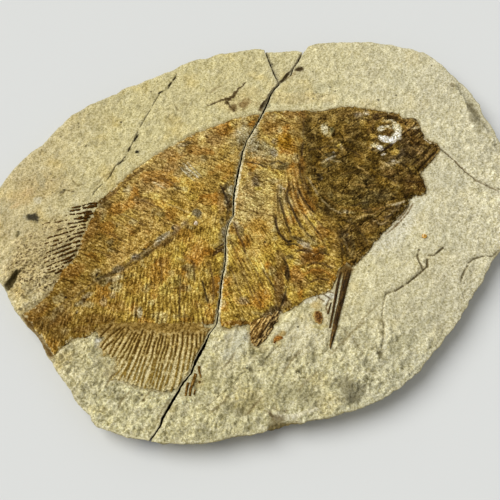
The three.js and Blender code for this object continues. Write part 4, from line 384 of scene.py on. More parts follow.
# on the limestone
MARKS_STONE = [
    (-8, -70.2, 7.4, 4.4, 0, (236, 230, 206), 0.5), (20.5, -65.8, 11.6, 5, 12, (232, 226, 198), 0.4), (41.3, -48.7, 5.4, 7, 0, (234, 228, 200), 0.4),
    # among these, the dark patches at (12.4, -113.8) and (18.4, -115.9) are painted shadow under the overhanging flake
    # at the nook
    (84.8, -1.3, 9.7, 5.3, 50, (230, 224, 198), 0.35), (-19.5, -74.1, 4.2, 3.3, 0, (236, 230, 204), 0.4), (12.4, -113.8, 4, 2.3, 0, (108, 92, 62), 0.8),
    (18.4, -115.9, 5, 1.3, 6, (84, 68, 42), 0.85), (65.5, -78.5, 1.2, 0.8, 30, (60, 52, 40), 0.9), (50.2, -30.9, 4.4, 3.6, 0, (98, 72, 30), 0.9),
    (47.3, -33.9, 2.7, 2.4, 0, (120, 92, 44), 0.6), (28.6, 104.9, 2.9, 1.8, 18, (60, 46, 24), 0.9), (22.9, 100.3, 3.9, 2.2, 30, (150, 128, 80), 0.6),
    (133, 73.5, 3.4, 2, -50, (150, 140, 106), 0.6), (130, 79.3, 1.9, 1.4, -30, (110, 100, 70), 0.6), (121.8, 92.7, 1.9, 1.4, -30, (120, 108, 76), 0.6),
    (5.6, 76.4, 1.9, 2.8, -30, (84, 62, 30), 0.8), (75.7, -3.8, 13, 20.5, -40, (228, 223, 198), 0.6), (90.8, 15.5, 11.4, 10.5, 0, (223, 218, 190), 0.5),
    (24.5, -74.1, 13.7, 6.6, 25, (220, 213, 182), 0.5), (-11.1, -76.9, 6.3, 14.2, -20, (214, 206, 170), 0.4), (48.9, -97.8, 2, 3.7, -10, (150, 143, 114), 0.6),
    (52.3, -102, 3.1, 2.3, 20, (140, 134, 106), 0.65), (56.1, -97.8, 1.8, 3.1, -15, (152, 146, 118), 0.6), (47.6, -92.5, 1.3, 2.6, -20, (158, 150, 120), 0.5),
    (58.9, -101.5, 2, 1.4, 0, (156, 150, 122), 0.5), (53.7, -95.2, 1.1, 1.6, 0, (128, 122, 96), 0.6), (50.1, -104.1, 1.5, 1, 0, (96, 90, 70), 0.7),
    (-117.4, -64.1, 10, 1.8, -62, (126, 96, 40), 0.85), (-108.1, -76.9, 4.3, 1.4, -55, (132, 104, 50), 0.6), (12.5, -70.8, 2.5, 1.7, 50, (150, 106, 44), 0.8),
    (15.7, -68, 1.6, 1.3, 0, (160, 118, 56), 0.7), (19.4, -113.3, 4, 1.8, 12, (226, 220, 192), 0.6), (10.9, -115.9, 3.5, 1.5, 0, (132, 114, 74), 0.55),
    (-107.1, -14.5, 20, 16.1, 0, (202, 186, 138), 0.35), (35.5, -59, 4.9, 3.4, -30, (222, 206, 160), 0.5), (31.6, -48.7, 4.9, 2.3, 20, (230, 226, 206), 0.6),
    (-69.2, 54.9, 3, 0.8, -117, (38, 32, 16), 1), (-72.6, 47.2, 1.9, 0.6, -110, (44, 36, 20), 1), (-77.2, 37.8, 2.6, 0.7, -141, (44, 36, 20), 1),
    (-56.1, 87.8, 1.8, 0.6, -152, (50, 42, 24), 1), (-50.6, 94.2, 2.1, 0.7, -122, (50, 42, 24), 0.95), (-48.2, 98.3, 1.8, 0.6, -118, (60, 50, 28), 0.9),
    (-81.6, 31.4, 2.6, 0.4, -118, (90, 76, 44), 0.7), (-88.8, 20.8, 1.9, 0.4, -130, (110, 96, 58), 0.7), (-131.6, 14.2, 7.4, 5.2, 10, (206, 182, 132), 0.5),
    (-128.6, 18.1, 4.8, 1.9, 30, (212, 186, 134), 0.5), (-122.3, 12.9, 2.8, 2.6, 0, (222, 212, 176), 0.8), (-134.9, 9, 3.5, 1.9, 20, (208, 178, 124), 0.5),
    (-109.2, 18.1, 1.4, 0.9, 0, (110, 100, 74), 0.8), (-108.2, 19.4, 0.8, 0.7, 0, (60, 54, 36), 0.8), (-102.9, 18.1, 1.2, 0.6, 20, (110, 100, 70), 0.8),
    (-106.1, 15.5, 1.1, 0.5, 0, (150, 138, 100), 0.7), (-122.1, 26.1, 2.4, 5.9, 20, (170, 162, 128), 0.45), (-88.4, 67.7, 6.3, 4.1, 30, (204, 190, 138), 0.5),
    (-67.9, 45.1, 1.2, 1, 0, (26, 22, 10), 1), (-78.7, 66.3, 0.7, 0.6, 0, (60, 50, 24), 1), (-98.1, 49.3, 0.6, 0.7, 0, (80, 70, 40), 0.9),
    (-103.5, 62.7, 0.6, 0.7, 0, (90, 80, 50), 0.8), (-113.5, 55.6, 0.6, 0.7, 0, (90, 80, 50), 0.8), (-61.9, 88.2, 0.6, 0.7, 0, (70, 60, 36), 0.9),
    (12, 111.1, 0.8, 1, 0, (60, 52, 30), 0.9), (-1.7, 88.2, 7.3, 4.5, 0, (206, 188, 130), 0.5), (-5.9, 78.6, 3, 2.6, 0, (128, 100, 56), 0.7),
    (-3.5, 81.5, 3, 2.2, 0, (160, 134, 84), 0.6), (-11.9, 76.4, 2.5, 2.8, -30, (92, 70, 36), 0.7), (-15.6, 80.1, 1.6, 1.2, 0, (70, 52, 26), 0.7),
    (7.4, 77.9, 3, 2.6, 0, (126, 122, 96), 0.75), (3.2, 79.3, 2.4, 1.5, 0, (180, 160, 110), 0.5), (41.1, 91.2, 5.5, 4.5, 0, (190, 184, 146), 0.4),
    (52.1, 93.5, 3.1, 3, 0, (176, 168, 128), 0.5), (75.8, 81.5, 0.8, 0.7, 0, (70, 64, 44), 0.9), (87, 85.2, 0.7, 0.7, 0, (80, 74, 50), 0.9),
    (36.5, 82.3, 0.6, 0.9, 0, (110, 104, 76), 0.8), (38.5, 87.5, 0.6, 0.7, 0, (110, 104, 76), 0.8), (42, 84.5, 0.6, 0.7, 0, (120, 110, 80), 0.8),
    (47.2, 91.2, 0.9, 0.7, 0, (110, 104, 76), 0.8), (50.1, 88.2, 0.6, 0.7, 0, (120, 112, 84), 0.8), (33.7, 89.7, 0.6, 0.6, 0, (120, 112, 84), 0.7),
    (-6.9, -74.1, 4.2, 8.8, -10, (212, 208, 178), 0.7), (-13.1, -79.6, 4.2, 3.8, 0, (216, 212, 184), 0.6), (-25.1, -78, 3.1, 7.6, -10, (196, 190, 144), 0.4),
    (1, -48.7, 1.1, 1.2, 0, (190, 180, 140), 0.1), (24.2, -65.8, 1.6, 1.1, 0, (216, 212, 186), 0.5), (38.6, -48.7, 2.7, 2.9, 0, (226, 222, 198), 0.7),
    (41.4, -46.3, 3.3, 1.7, -20, (226, 222, 200), 0.85), (-24.7, -94.6, 5.1, 4.2, 0, (188, 178, 124), 0.5), (-28.3, -94.6, 3.1, 3.2, 0, (200, 180, 122), 0.5),
    (-34.8, -99.4, 4.1, 4.1, 45, (206, 196, 150), 0.4), (-81.4, -71.9, 1.8, 1.9, 0, (226, 222, 202), 0.95), (-81.2, -74.1, 2.1, 1.7, 0, (214, 208, 180), 0.6),
    (-73.6, -78, 2.6, 2.7, 0, (180, 164, 104), 0.5), (-77.7, -79.6, 2.1, 1.1, 0, (178, 162, 100), 0.5), (-72.8, -88.8, 5.2, 3.7, 30, (188, 172, 124), 0.5),
    (-60.6, -102.5, 2, 1.6, 0, (150, 142, 104), 0.5), (-66.4, -99.4, 0.8, 0.7, 0, (70, 64, 40), 0.9), (-66.5, -99.1, 0.4, 0.4, 0, (200, 190, 150), 0.9),
    (-64.2, -102.5, 0.6, 0.5, 0, (90, 84, 56), 0.8), (-77.8, -98.3, 0.5, 0.5, 0, (100, 92, 60), 0.8), (-77.6, -94.1, 0.7, 0.5, 0, (130, 120, 84), 0.7),
    (-56.7, -100.7, 0.6, 0.5, 0, (80, 70, 44), 0.9), (-50.1, -99.4, 0.6, 0.5, 0, (80, 72, 46), 0.8), (-75.9, -102.5, 0.6, 0.5, 0, (120, 112, 76), 0.7),
    (-80.1, -100.9, 1.3, 0.4, -50, (100, 92, 60), 0.8), (-3.2, -87.4, 0.6, 0.6, 0, (50, 44, 22), 0.9), (-3.2, -85.8, 0.6, 0.4, 0, (120, 112, 80), 0.7),
    (-18, -100.4, 0.7, 0.6, 0, (80, 74, 44), 0.8), (-13.7, -75.2, 0.8, 0.7, 0, (150, 142, 110), 0.7), (23.7, -64.1, 0.5, 0.5, 0, (60, 54, 30), 0.9),
    (49.3, -99.4, 6.1, 6.3, 20, (132, 126, 98), 0.6), (47, -95.7, 4.1, 3.7, 0, (150, 142, 108), 0.5), (50.1, -103.6, 3.6, 2.6, 0, (120, 114, 88), 0.5),
    (66, -79, 1.6, 2.2, 0, (110, 102, 70), 0.7), (18.7, -99.4, 13.3, 5.2, 8, (160, 152, 112), 0.4), (-1.7, -106.1, 13.2, 4.6, 12, (166, 158, 116), 0.35),
    (28.8, -103.6, 8.1, 4.2, 0, (158, 150, 112), 0.4), (76.8, -74.1, 7.4, 4.4, 30, (158, 152, 114), 0.35), (132.4, 69.1, 3.7, 5.7, -20, (120, 112, 84), 0.55),
    (130.9, 76.4, 1.9, 3.6, -20, (110, 102, 76), 0.5), (135.2, 62, 2.4, 5.6, -20, (150, 142, 110), 0.45), (112.3, -12.6, 8.9, 7.5, 0, (206, 200, 166), 0.4),
    (93, -10.7, 2.3, 2.1, 0, (206, 196, 150), 0.3), (113.5, 26.1, 11.5, 9.4, 0, (206, 200, 170), 0.4), (115.7, 74.9, 9.6, 8.7, 0, (206, 198, 164), 0.35),
    (90.4, 97.3, 9.8, 7.6, 0, (206, 200, 164), 0.3), (84.1, -3.2, 0.9, 0.7, 40, (130, 122, 92), 0.8), (85.8, -16.3, 0.7, 0.5, 0, (140, 130, 96), 0.6),
    (97.9, -39.9, 1.1, 0.8, 0, (150, 142, 108), 0.5), (110.2, 5.1, 0.8, 0.6, 0, (150, 142, 108), 0.5), (60.5, 112.6, 7.5, 3.9, 0, (206, 198, 156), 0.3),
    (28.8, 88.2, 4.9, 6, 0, (210, 200, 156), 0.3), (-44.2, 86, 10, 5.8, 20, (204, 194, 150), 0.3), (-40.3, 79.3, 1.9, 1.1, -30, (150, 136, 94), 0.5),
    (33.6, -52.1, 3.2, 2.3, -20, (206, 178, 112), 0.6), (35.9, -49.2, 2.2, 1.7, -40, (196, 172, 112), 0.5), (32.9, -57.9, 1.6, 3.4, 0, (196, 178, 108), 0.7),
    (34.3, -64.6, 3.2, 1.3, -10, (206, 190, 120), 0.5), (38, -64.1, 2.1, 1, 0, (196, 178, 110), 0.5), (15.2, -68, 2.1, 1.7, 0, (202, 182, 120), 0.6),
    (13.5, -73.6, 1.6, 1.7, 0, (200, 180, 116), 0.5), (4.6, -76.3, 4.2, 1.6, 0, (196, 180, 128), 0.4), (-124.8, -5.1, 8, 3.7, 20, (198, 186, 142), 0.3),
    (-126.7, -12.6, 1.1, 1.9, 0, (130, 120, 84), 0.5), (-131.1, -8.9, 0.9, 1.9, -15, (90, 82, 50), 0.7), (-131.2, -7.3, 0.9, 0.5, 0, (84, 76, 46), 0.8),
    (-103.4, 5.1, 6.8, 2.6, 5, (214, 204, 166), 0.4),
]
# strokes: points, half width, colour, strength
STROKES_REAR = [
    # the first four dark strokes are painted shadow along the lower side of the raised midline ridge; they are also cut
    # in as a shallow groove
    ([(-83.2, -36.3), (-78.9, -34.5), (-74.2, -32.1)], 0.91, (62, 50, 24), 0.65),
    ([(-74.2, -32.1), (-69.5, -29.1), (-64.8, -24.9)], 0.74, (70, 54, 24), 0.6),
    ([(-63.3, -23.1), (-60.2, -20), (-57, -16.9)], 0.8, (64, 50, 24), 0.65),
    ([(-55.5, -14.5), (-51.7, -12), (-47.4, -8.9)], 0.74, (72, 56, 28), 0.6),
    ([(-81.2, -33.3), (-76, -29.7), (-69.8, -24.9), (-63.5, -19.4), (-57.2, -13.2)], 0.8, (206, 178, 112), 0.45),
    ([(-76.6, -36.3), (-71.4, -32.7), (-65.7, -28.5)], 0.68, (204, 172, 100), 0.45),
    ([(-102.6, -59), (-96.9, -52.1), (-90, -45.2)], 0.85, (190, 156, 84), 0.4),
    ([(-107.5, -63.5), (-102.7, -57.9), (-97, -51)], 0.74, (74, 52, 20), 0.45),
    ([(-42.9, -8.6), (-48.9, -13.8), (-55.8, -19.7), (-62.1, -25.2), (-68.4, -29.7), (-73.6, -33.3)], 0.63, (84, 60, 26), 0.45),
    ([(-41.9, -7), (-46.3, -9.5), (-48.4, -11.7)], 0.85, (200, 178, 126), 0.4),
    ([(-52.7, -14.5), (-56.9, -18.2), (-60.1, -20.6)], 0.8, (196, 168, 110), 0.4),
    ([(-64.3, -24.3), (-67.5, -26.7)], 0.8, (192, 164, 104), 0.4),
    ([(-18.3, 22.1), (-15.9, 16.1), (-13.6, 9.6)], 0.68, (46, 34, 20), 0.85),
    ([(-21, -18.8), (-18.3, -16.6), (-15.5, -14.5)], 0.63, (54, 40, 24), 0.85),
    ([(-31.6, 5.1), (-40.8, -5.7), (-51.6, -14.5), (-62.2, -23.1), (-72.7, -29.7), (-85.7, -38.7), (-95.7, -47.5), (-108.1, -57.3)], 0.85, (112, 90, 54), 0.45),
    ([(-40.6, 36.9), (-36.4, 32.1), (-31.1, 26.7)], 0.57, (204, 196, 166), 0.8),
    ([(-38.3, 37.6), (-34.1, 32.8), (-29.9, 28.1)], 0.51, (196, 188, 156), 0.7),
    ([(-42.3, 34.2), (-38.1, 29.4), (-33.3, 24.7)], 0.51, (190, 182, 150), 0.6),
    ([(-57.4, 24.1), (-53.9, 22.1), (-49.8, 19.4)], 0.68, (206, 190, 140), 0.7),
    ([(-53.6, 27.4), (-48.9, 25.4), (-44.1, 22.1)], 0.63, (84, 62, 34), 0.6),
    ([(-64.3, 12.9), (-57.3, 9.6), (-50.3, 5.7)], 0.68, (96, 72, 38), 0.5),
    ([(-75, 3.8), (-68.1, 0.6), (-60.5, -3.8)], 0.68, (92, 68, 36), 0.5),
    ([(-83.2, -7.6), (-76.9, -10.1), (-70.5, -14.5)], 0.68, (88, 64, 32), 0.5),
    ([(-48.2, 9.6), (-41.3, 7), (-35.5, 3.8)], 0.63, (196, 174, 116), 0.45),
    ([(-80.3, -1.3), (-74.5, -3.8), (-68.7, -7)], 0.57, (186, 160, 104), 0.4),
    ([(-27.7, -36.9), (-26.2, -42.8), (-24.2, -50.4)], 0.68, (50, 38, 20), 0.8),
    ([(-32.6, -26.1), (-31.9, -32.1), (-31.5, -38.1)], 0.63, (72, 54, 30), 0.6),
    ([(-39.4, -33.9), (-39.4, -44), (-39.2, -59.6)], 0.63, (76, 58, 30), 0.6),
    ([(-50.5, -26.1), (-49.7, -32.1), (-49.6, -38.7)], 0.63, (90, 66, 32), 0.55),
    ([(-23.6, -26.1), (-21.8, -36.9), (-21, -48.7)], 0.63, (84, 62, 34), 0.5),
    ([(-89, -18.8), (-83.3, -20.6), (-77.6, -23.7)], 0.68, (84, 60, 30), 0.5),
    ([(-39.1, -21.2), (-33.5, -26.1), (-28.9, -32.1)], 0.63, (110, 84, 44), 0.5),
    ([(-14.1, 7.7), (-14.6, -1.3), (-16.2, -10.1)], 0.68, (70, 56, 32), 0.5),
    ([(-25.8, -26.1), (-22.4, -33.9), (-20, -42.8)], 0.63, (118, 92, 50), 0.4),
    ([(-96.5, 3.8), (-89.5, 7.7), (-84.7, 11.6), (-77.3, 19.4), (-70.9, 27.4), (-62, 34.2)], 1.03, (92, 68, 34), 0.5),
]
# the same on the front of the trunk
STROKES_FRONT = [
    ([(51.8, -10.1), (52, -17.6), (51.6, -24.9)], 0.91, (52, 36, 12), 0.6),
    ([(48.8, -13.8), (49, -21.2), (48.7, -28.5)], 0.68, (60, 42, 14), 0.5),
    ([(12.7, 14.8), (12, 2), (13.8, -7.4), (16.9, -15)], 0.56, (88, 62, 24), 0.27),
    ([(14.1, 26.5), (13.2, 14.8), (13.5, 4), (16.2, -5.8), (19.5, -15.2)], 0.67, (216, 190, 122), 0.34),
    ([(15.1, 27.8), (14.3, 16), (14.7, 4.3), (17.8, -5), (22, -14)], 0.62, (88, 62, 24), 0.35),
    ([(16, 27.9), (14.8, 15.6), (15.4, 4.3), (18.2, -5.5)], 0.62, (216, 190, 122), 0.4),
    ([(16.5, 28.5), (17.3, 16.2), (17.4, 4.6), (20.4, -4.4), (25.5, -13.9)], 0.59, (88, 62, 24), 0.25),
    ([(17.4, 29.2), (17.1, 16.5), (17.9, 5.2), (21.8, -3.8)], 0.66, (216, 190, 122), 0.46),
    ([(18.9, 29.6), (18, 17), (20.1, 6.5), (23.3, -3.2), (28.1, -12.4)], 0.73, (88, 62, 24), 0.35),
    ([(18.8, 30.5), (19.2, 18.2), (22.1, 6.1), (25.4, -3.2), (29.9, -11.9)], 0.69, (216, 190, 122), 0.45),
    ([(20, 31), (20.8, 18.9), (23.9, 7.2), (27.3, -3)], 0.62, (88, 62, 24), 0.37),
    ([(20.8, 31.7), (22.5, 19), (24.7, 7.6), (29.6, -2.2), (34.9, -12.1)], 0.72, (216, 190, 122), 0.4),
    ([(22, 31.9), (23.4, 19.4), (26.1, 8.6), (31.5, -1), (37.1, -10.7), (41.2, -20.5)], 0.55, (88, 62, 24), 0.35),
    ([(22.6, 32.8), (24.3, 20.2), (28.2, 9.4), (33.1, -0.5)], 0.73, (216, 190, 122), 0.47),
    ([(24.4, 33.8), (25.6, 21.6), (29.5, 9.4), (34.5, 0), (40, -10.2), (44.8, -19.8)], 0.6, (88, 62, 24), 0.3),
    ([(24.2, 34.3), (26.7, 22.1), (29.6, 10.1), (35.6, 0.5)], 0.74, (216, 190, 122), 0.38),
    ([(27.9, 22.8), (31.8, 10.7), (38.2, 0.5), (44, -8.9)], 0.54, (88, 62, 24), 0.29),
    ([(25.7, 35), (29.1, 23.1), (33, 12), (40, 1.6), (45.6, -9.2), (49.2, -19.2)], 0.68, (216, 190, 122), 0.36),
    ([(29.9, 23.6), (35.1, 12.1), (40.6, 2.2), (47.4, -9.4)], 0.61, (88, 62, 24), 0.32),
    ([(28, 36.5), (31.7, 24.1), (36.7, 12.7), (43.7, 2.6), (50, -8.2), (52.3, -18.8)], 0.62, (216, 190, 122), 0.36),
    ([(12.6, 1.9), (12.9, -3.8), (14.5, -8.9), (17.2, -12.6), (20.5, -15.7)], 0.85, (54, 40, 24), 0.85),
    ([(14.3, 14.8), (15.9, 9), (17.5, 2.5), (19.1, -3.8), (21.2, -10.1)], 0.74, (66, 50, 28), 0.75),
    ([(20.3, 20.1), (19.2, 15.5), (20.5, 10.3), (22.6, 5.1), (24.7, -0.7), (27.4, -6.4)], 0.8, (54, 40, 22), 0.8),
    ([(25.8, 20.1), (27.4, 15.5), (29.6, 10.9), (32.3, 7), (35.5, 2.5)], 0.8, (60, 44, 24), 0.75),
    ([(22.4, 20.1), (22.8, 14.2), (25, 7.7), (27.6, 1.9), (31.4, -4.5)], 0.63, (186, 152, 84), 0.6),
    ([(17.2, 18.1), (18.2, 11.6), (19.8, 5.1), (21.9, -2.6)], 0.63, (196, 172, 112), 0.6),
    ([(10.8, 9), (10.7, 2.5), (11.2, -5.1)], 0.68, (190, 164, 96), 0.5),
    ([(24.3, 2.5), (26.9, -3.8), (30.6, -10.1), (34.4, -14.5)], 0.63, (70, 52, 28), 0.55),
    ([(28.2, 3.8), (31.5, -1.3), (35.2, -7), (38.4, -11.4)], 0.63, (72, 54, 28), 0.55),
    ([(32.2, 3.8), (36, -1.3), (40.2, -7)], 0.63, (78, 58, 30), 0.55),
    ([(30, 6.4), (33.8, 1.3), (38.1, -4.5)], 0.57, (206, 176, 104), 0.5),
    ([(26, 5.1), (29.8, -0.7), (33.5, -7)], 0.57, (200, 168, 96), 0.45),
    ([(-10.7, -1.3), (-8.4, -9.5), (-5.5, -15.7), (-3.9, -22.5)], 0.68, (84, 62, 34), 0.75),
    ([(4.9, -30.9), (8.1, -36.3), (12.4, -44)], 0.68, (66, 50, 26), 0.7),
    ([(-3.3, -23.7), (1.6, -32.1), (5.9, -42.8)], 0.57, (92, 70, 36), 0.55),
    ([(-9.3, -26.1), (-3.8, -36.9), (0.5, -48.7)], 0.57, (104, 80, 42), 0.5),
    ([(-12.8, -12.6), (-8.3, -23.7), (-3.8, -34.5)], 0.57, (96, 72, 36), 0.5),
    ([(-0.6, -18.8), (4.9, -28.5), (9.2, -39.3)], 0.57, (208, 180, 110), 0.45),
    ([(-7.2, -18.8), (-1.7, -30.9), (2.7, -41.6)], 0.57, (206, 176, 104), 0.45),
    ([(-13.7, -26.1), (-9.3, -38.1), (-4.9, -51)], 0.57, (92, 70, 36), 0.5),
    ([(-12.5, -36.9), (-9.2, -47.5), (-5.9, -56.7)], 0.57, (202, 170, 92), 0.4),
    ([(-0.6, -40.5), (2.6, -48.7), (4.7, -54.4)], 0.57, (98, 74, 38), 0.5),
    ([(18.3, -16.3), (22.7, -15.7), (26.5, -17.6)], 0.57, (50, 40, 24), 0.7),
    ([(23.7, -20), (28.1, -19.4), (32, -20.6)], 0.74, (60, 44, 26), 0.75),
    ([(28.9, -29.7), (33.4, -27.3), (38.9, -27.9), (43.1, -30.9)], 0.68, (70, 50, 24), 0.7),
    ([(27.7, -34.5), (32.2, -31.5), (37.6, -31.5), (41.9, -34.5)], 0.63, (176, 124, 48), 0.6),
    ([(29.7, -39.3), (35.3, -36.9), (41.7, -37.5)], 0.63, (84, 62, 32), 0.6),
    ([(32.4, -23.7), (36.9, -21.2), (42.4, -22.5)], 0.63, (64, 46, 22), 0.6),
    ([(-1.7, 5.1), (2.8, 3.8), (8.5, 2.5), (12.4, 1.3)], 0.57, (92, 66, 28), 0.6),
    ([(5.5, 71.3), (1.9, 62.7), (-2.3, 53.5), (-5.2, 43), (-6.9, 32.8)], 1.25, (186, 176, 138), 0.45),
    ([(-5.7, 37.6), (-0.5, 36.9), (4.1, 35.5), (8.8, 32.8)], 0.63, (74, 58, 34), 0.7),
    ([(10, 35.5), (14.6, 38.2), (19.2, 35.5)], 0.63, (76, 64, 40), 0.6),
    ([(17.8, -42.8), (16.6, -48.7), (14.4, -53.8)], 0.68, (40, 30, 18), 0.7),
    ([(7.9, -55.6), (4.7, -59), (0.5, -61.3)], 0.68, (70, 50, 28), 0.6),
    ([(16.5, -23.7), (19.1, -29.7), (20, -36.9)], 0.68, (60, 46, 26), 0.65),
    ([(27.4, 37.6), (27.2, 28.8), (28.8, 22.1)], 0.8, (60, 46, 26), 0.6),
]
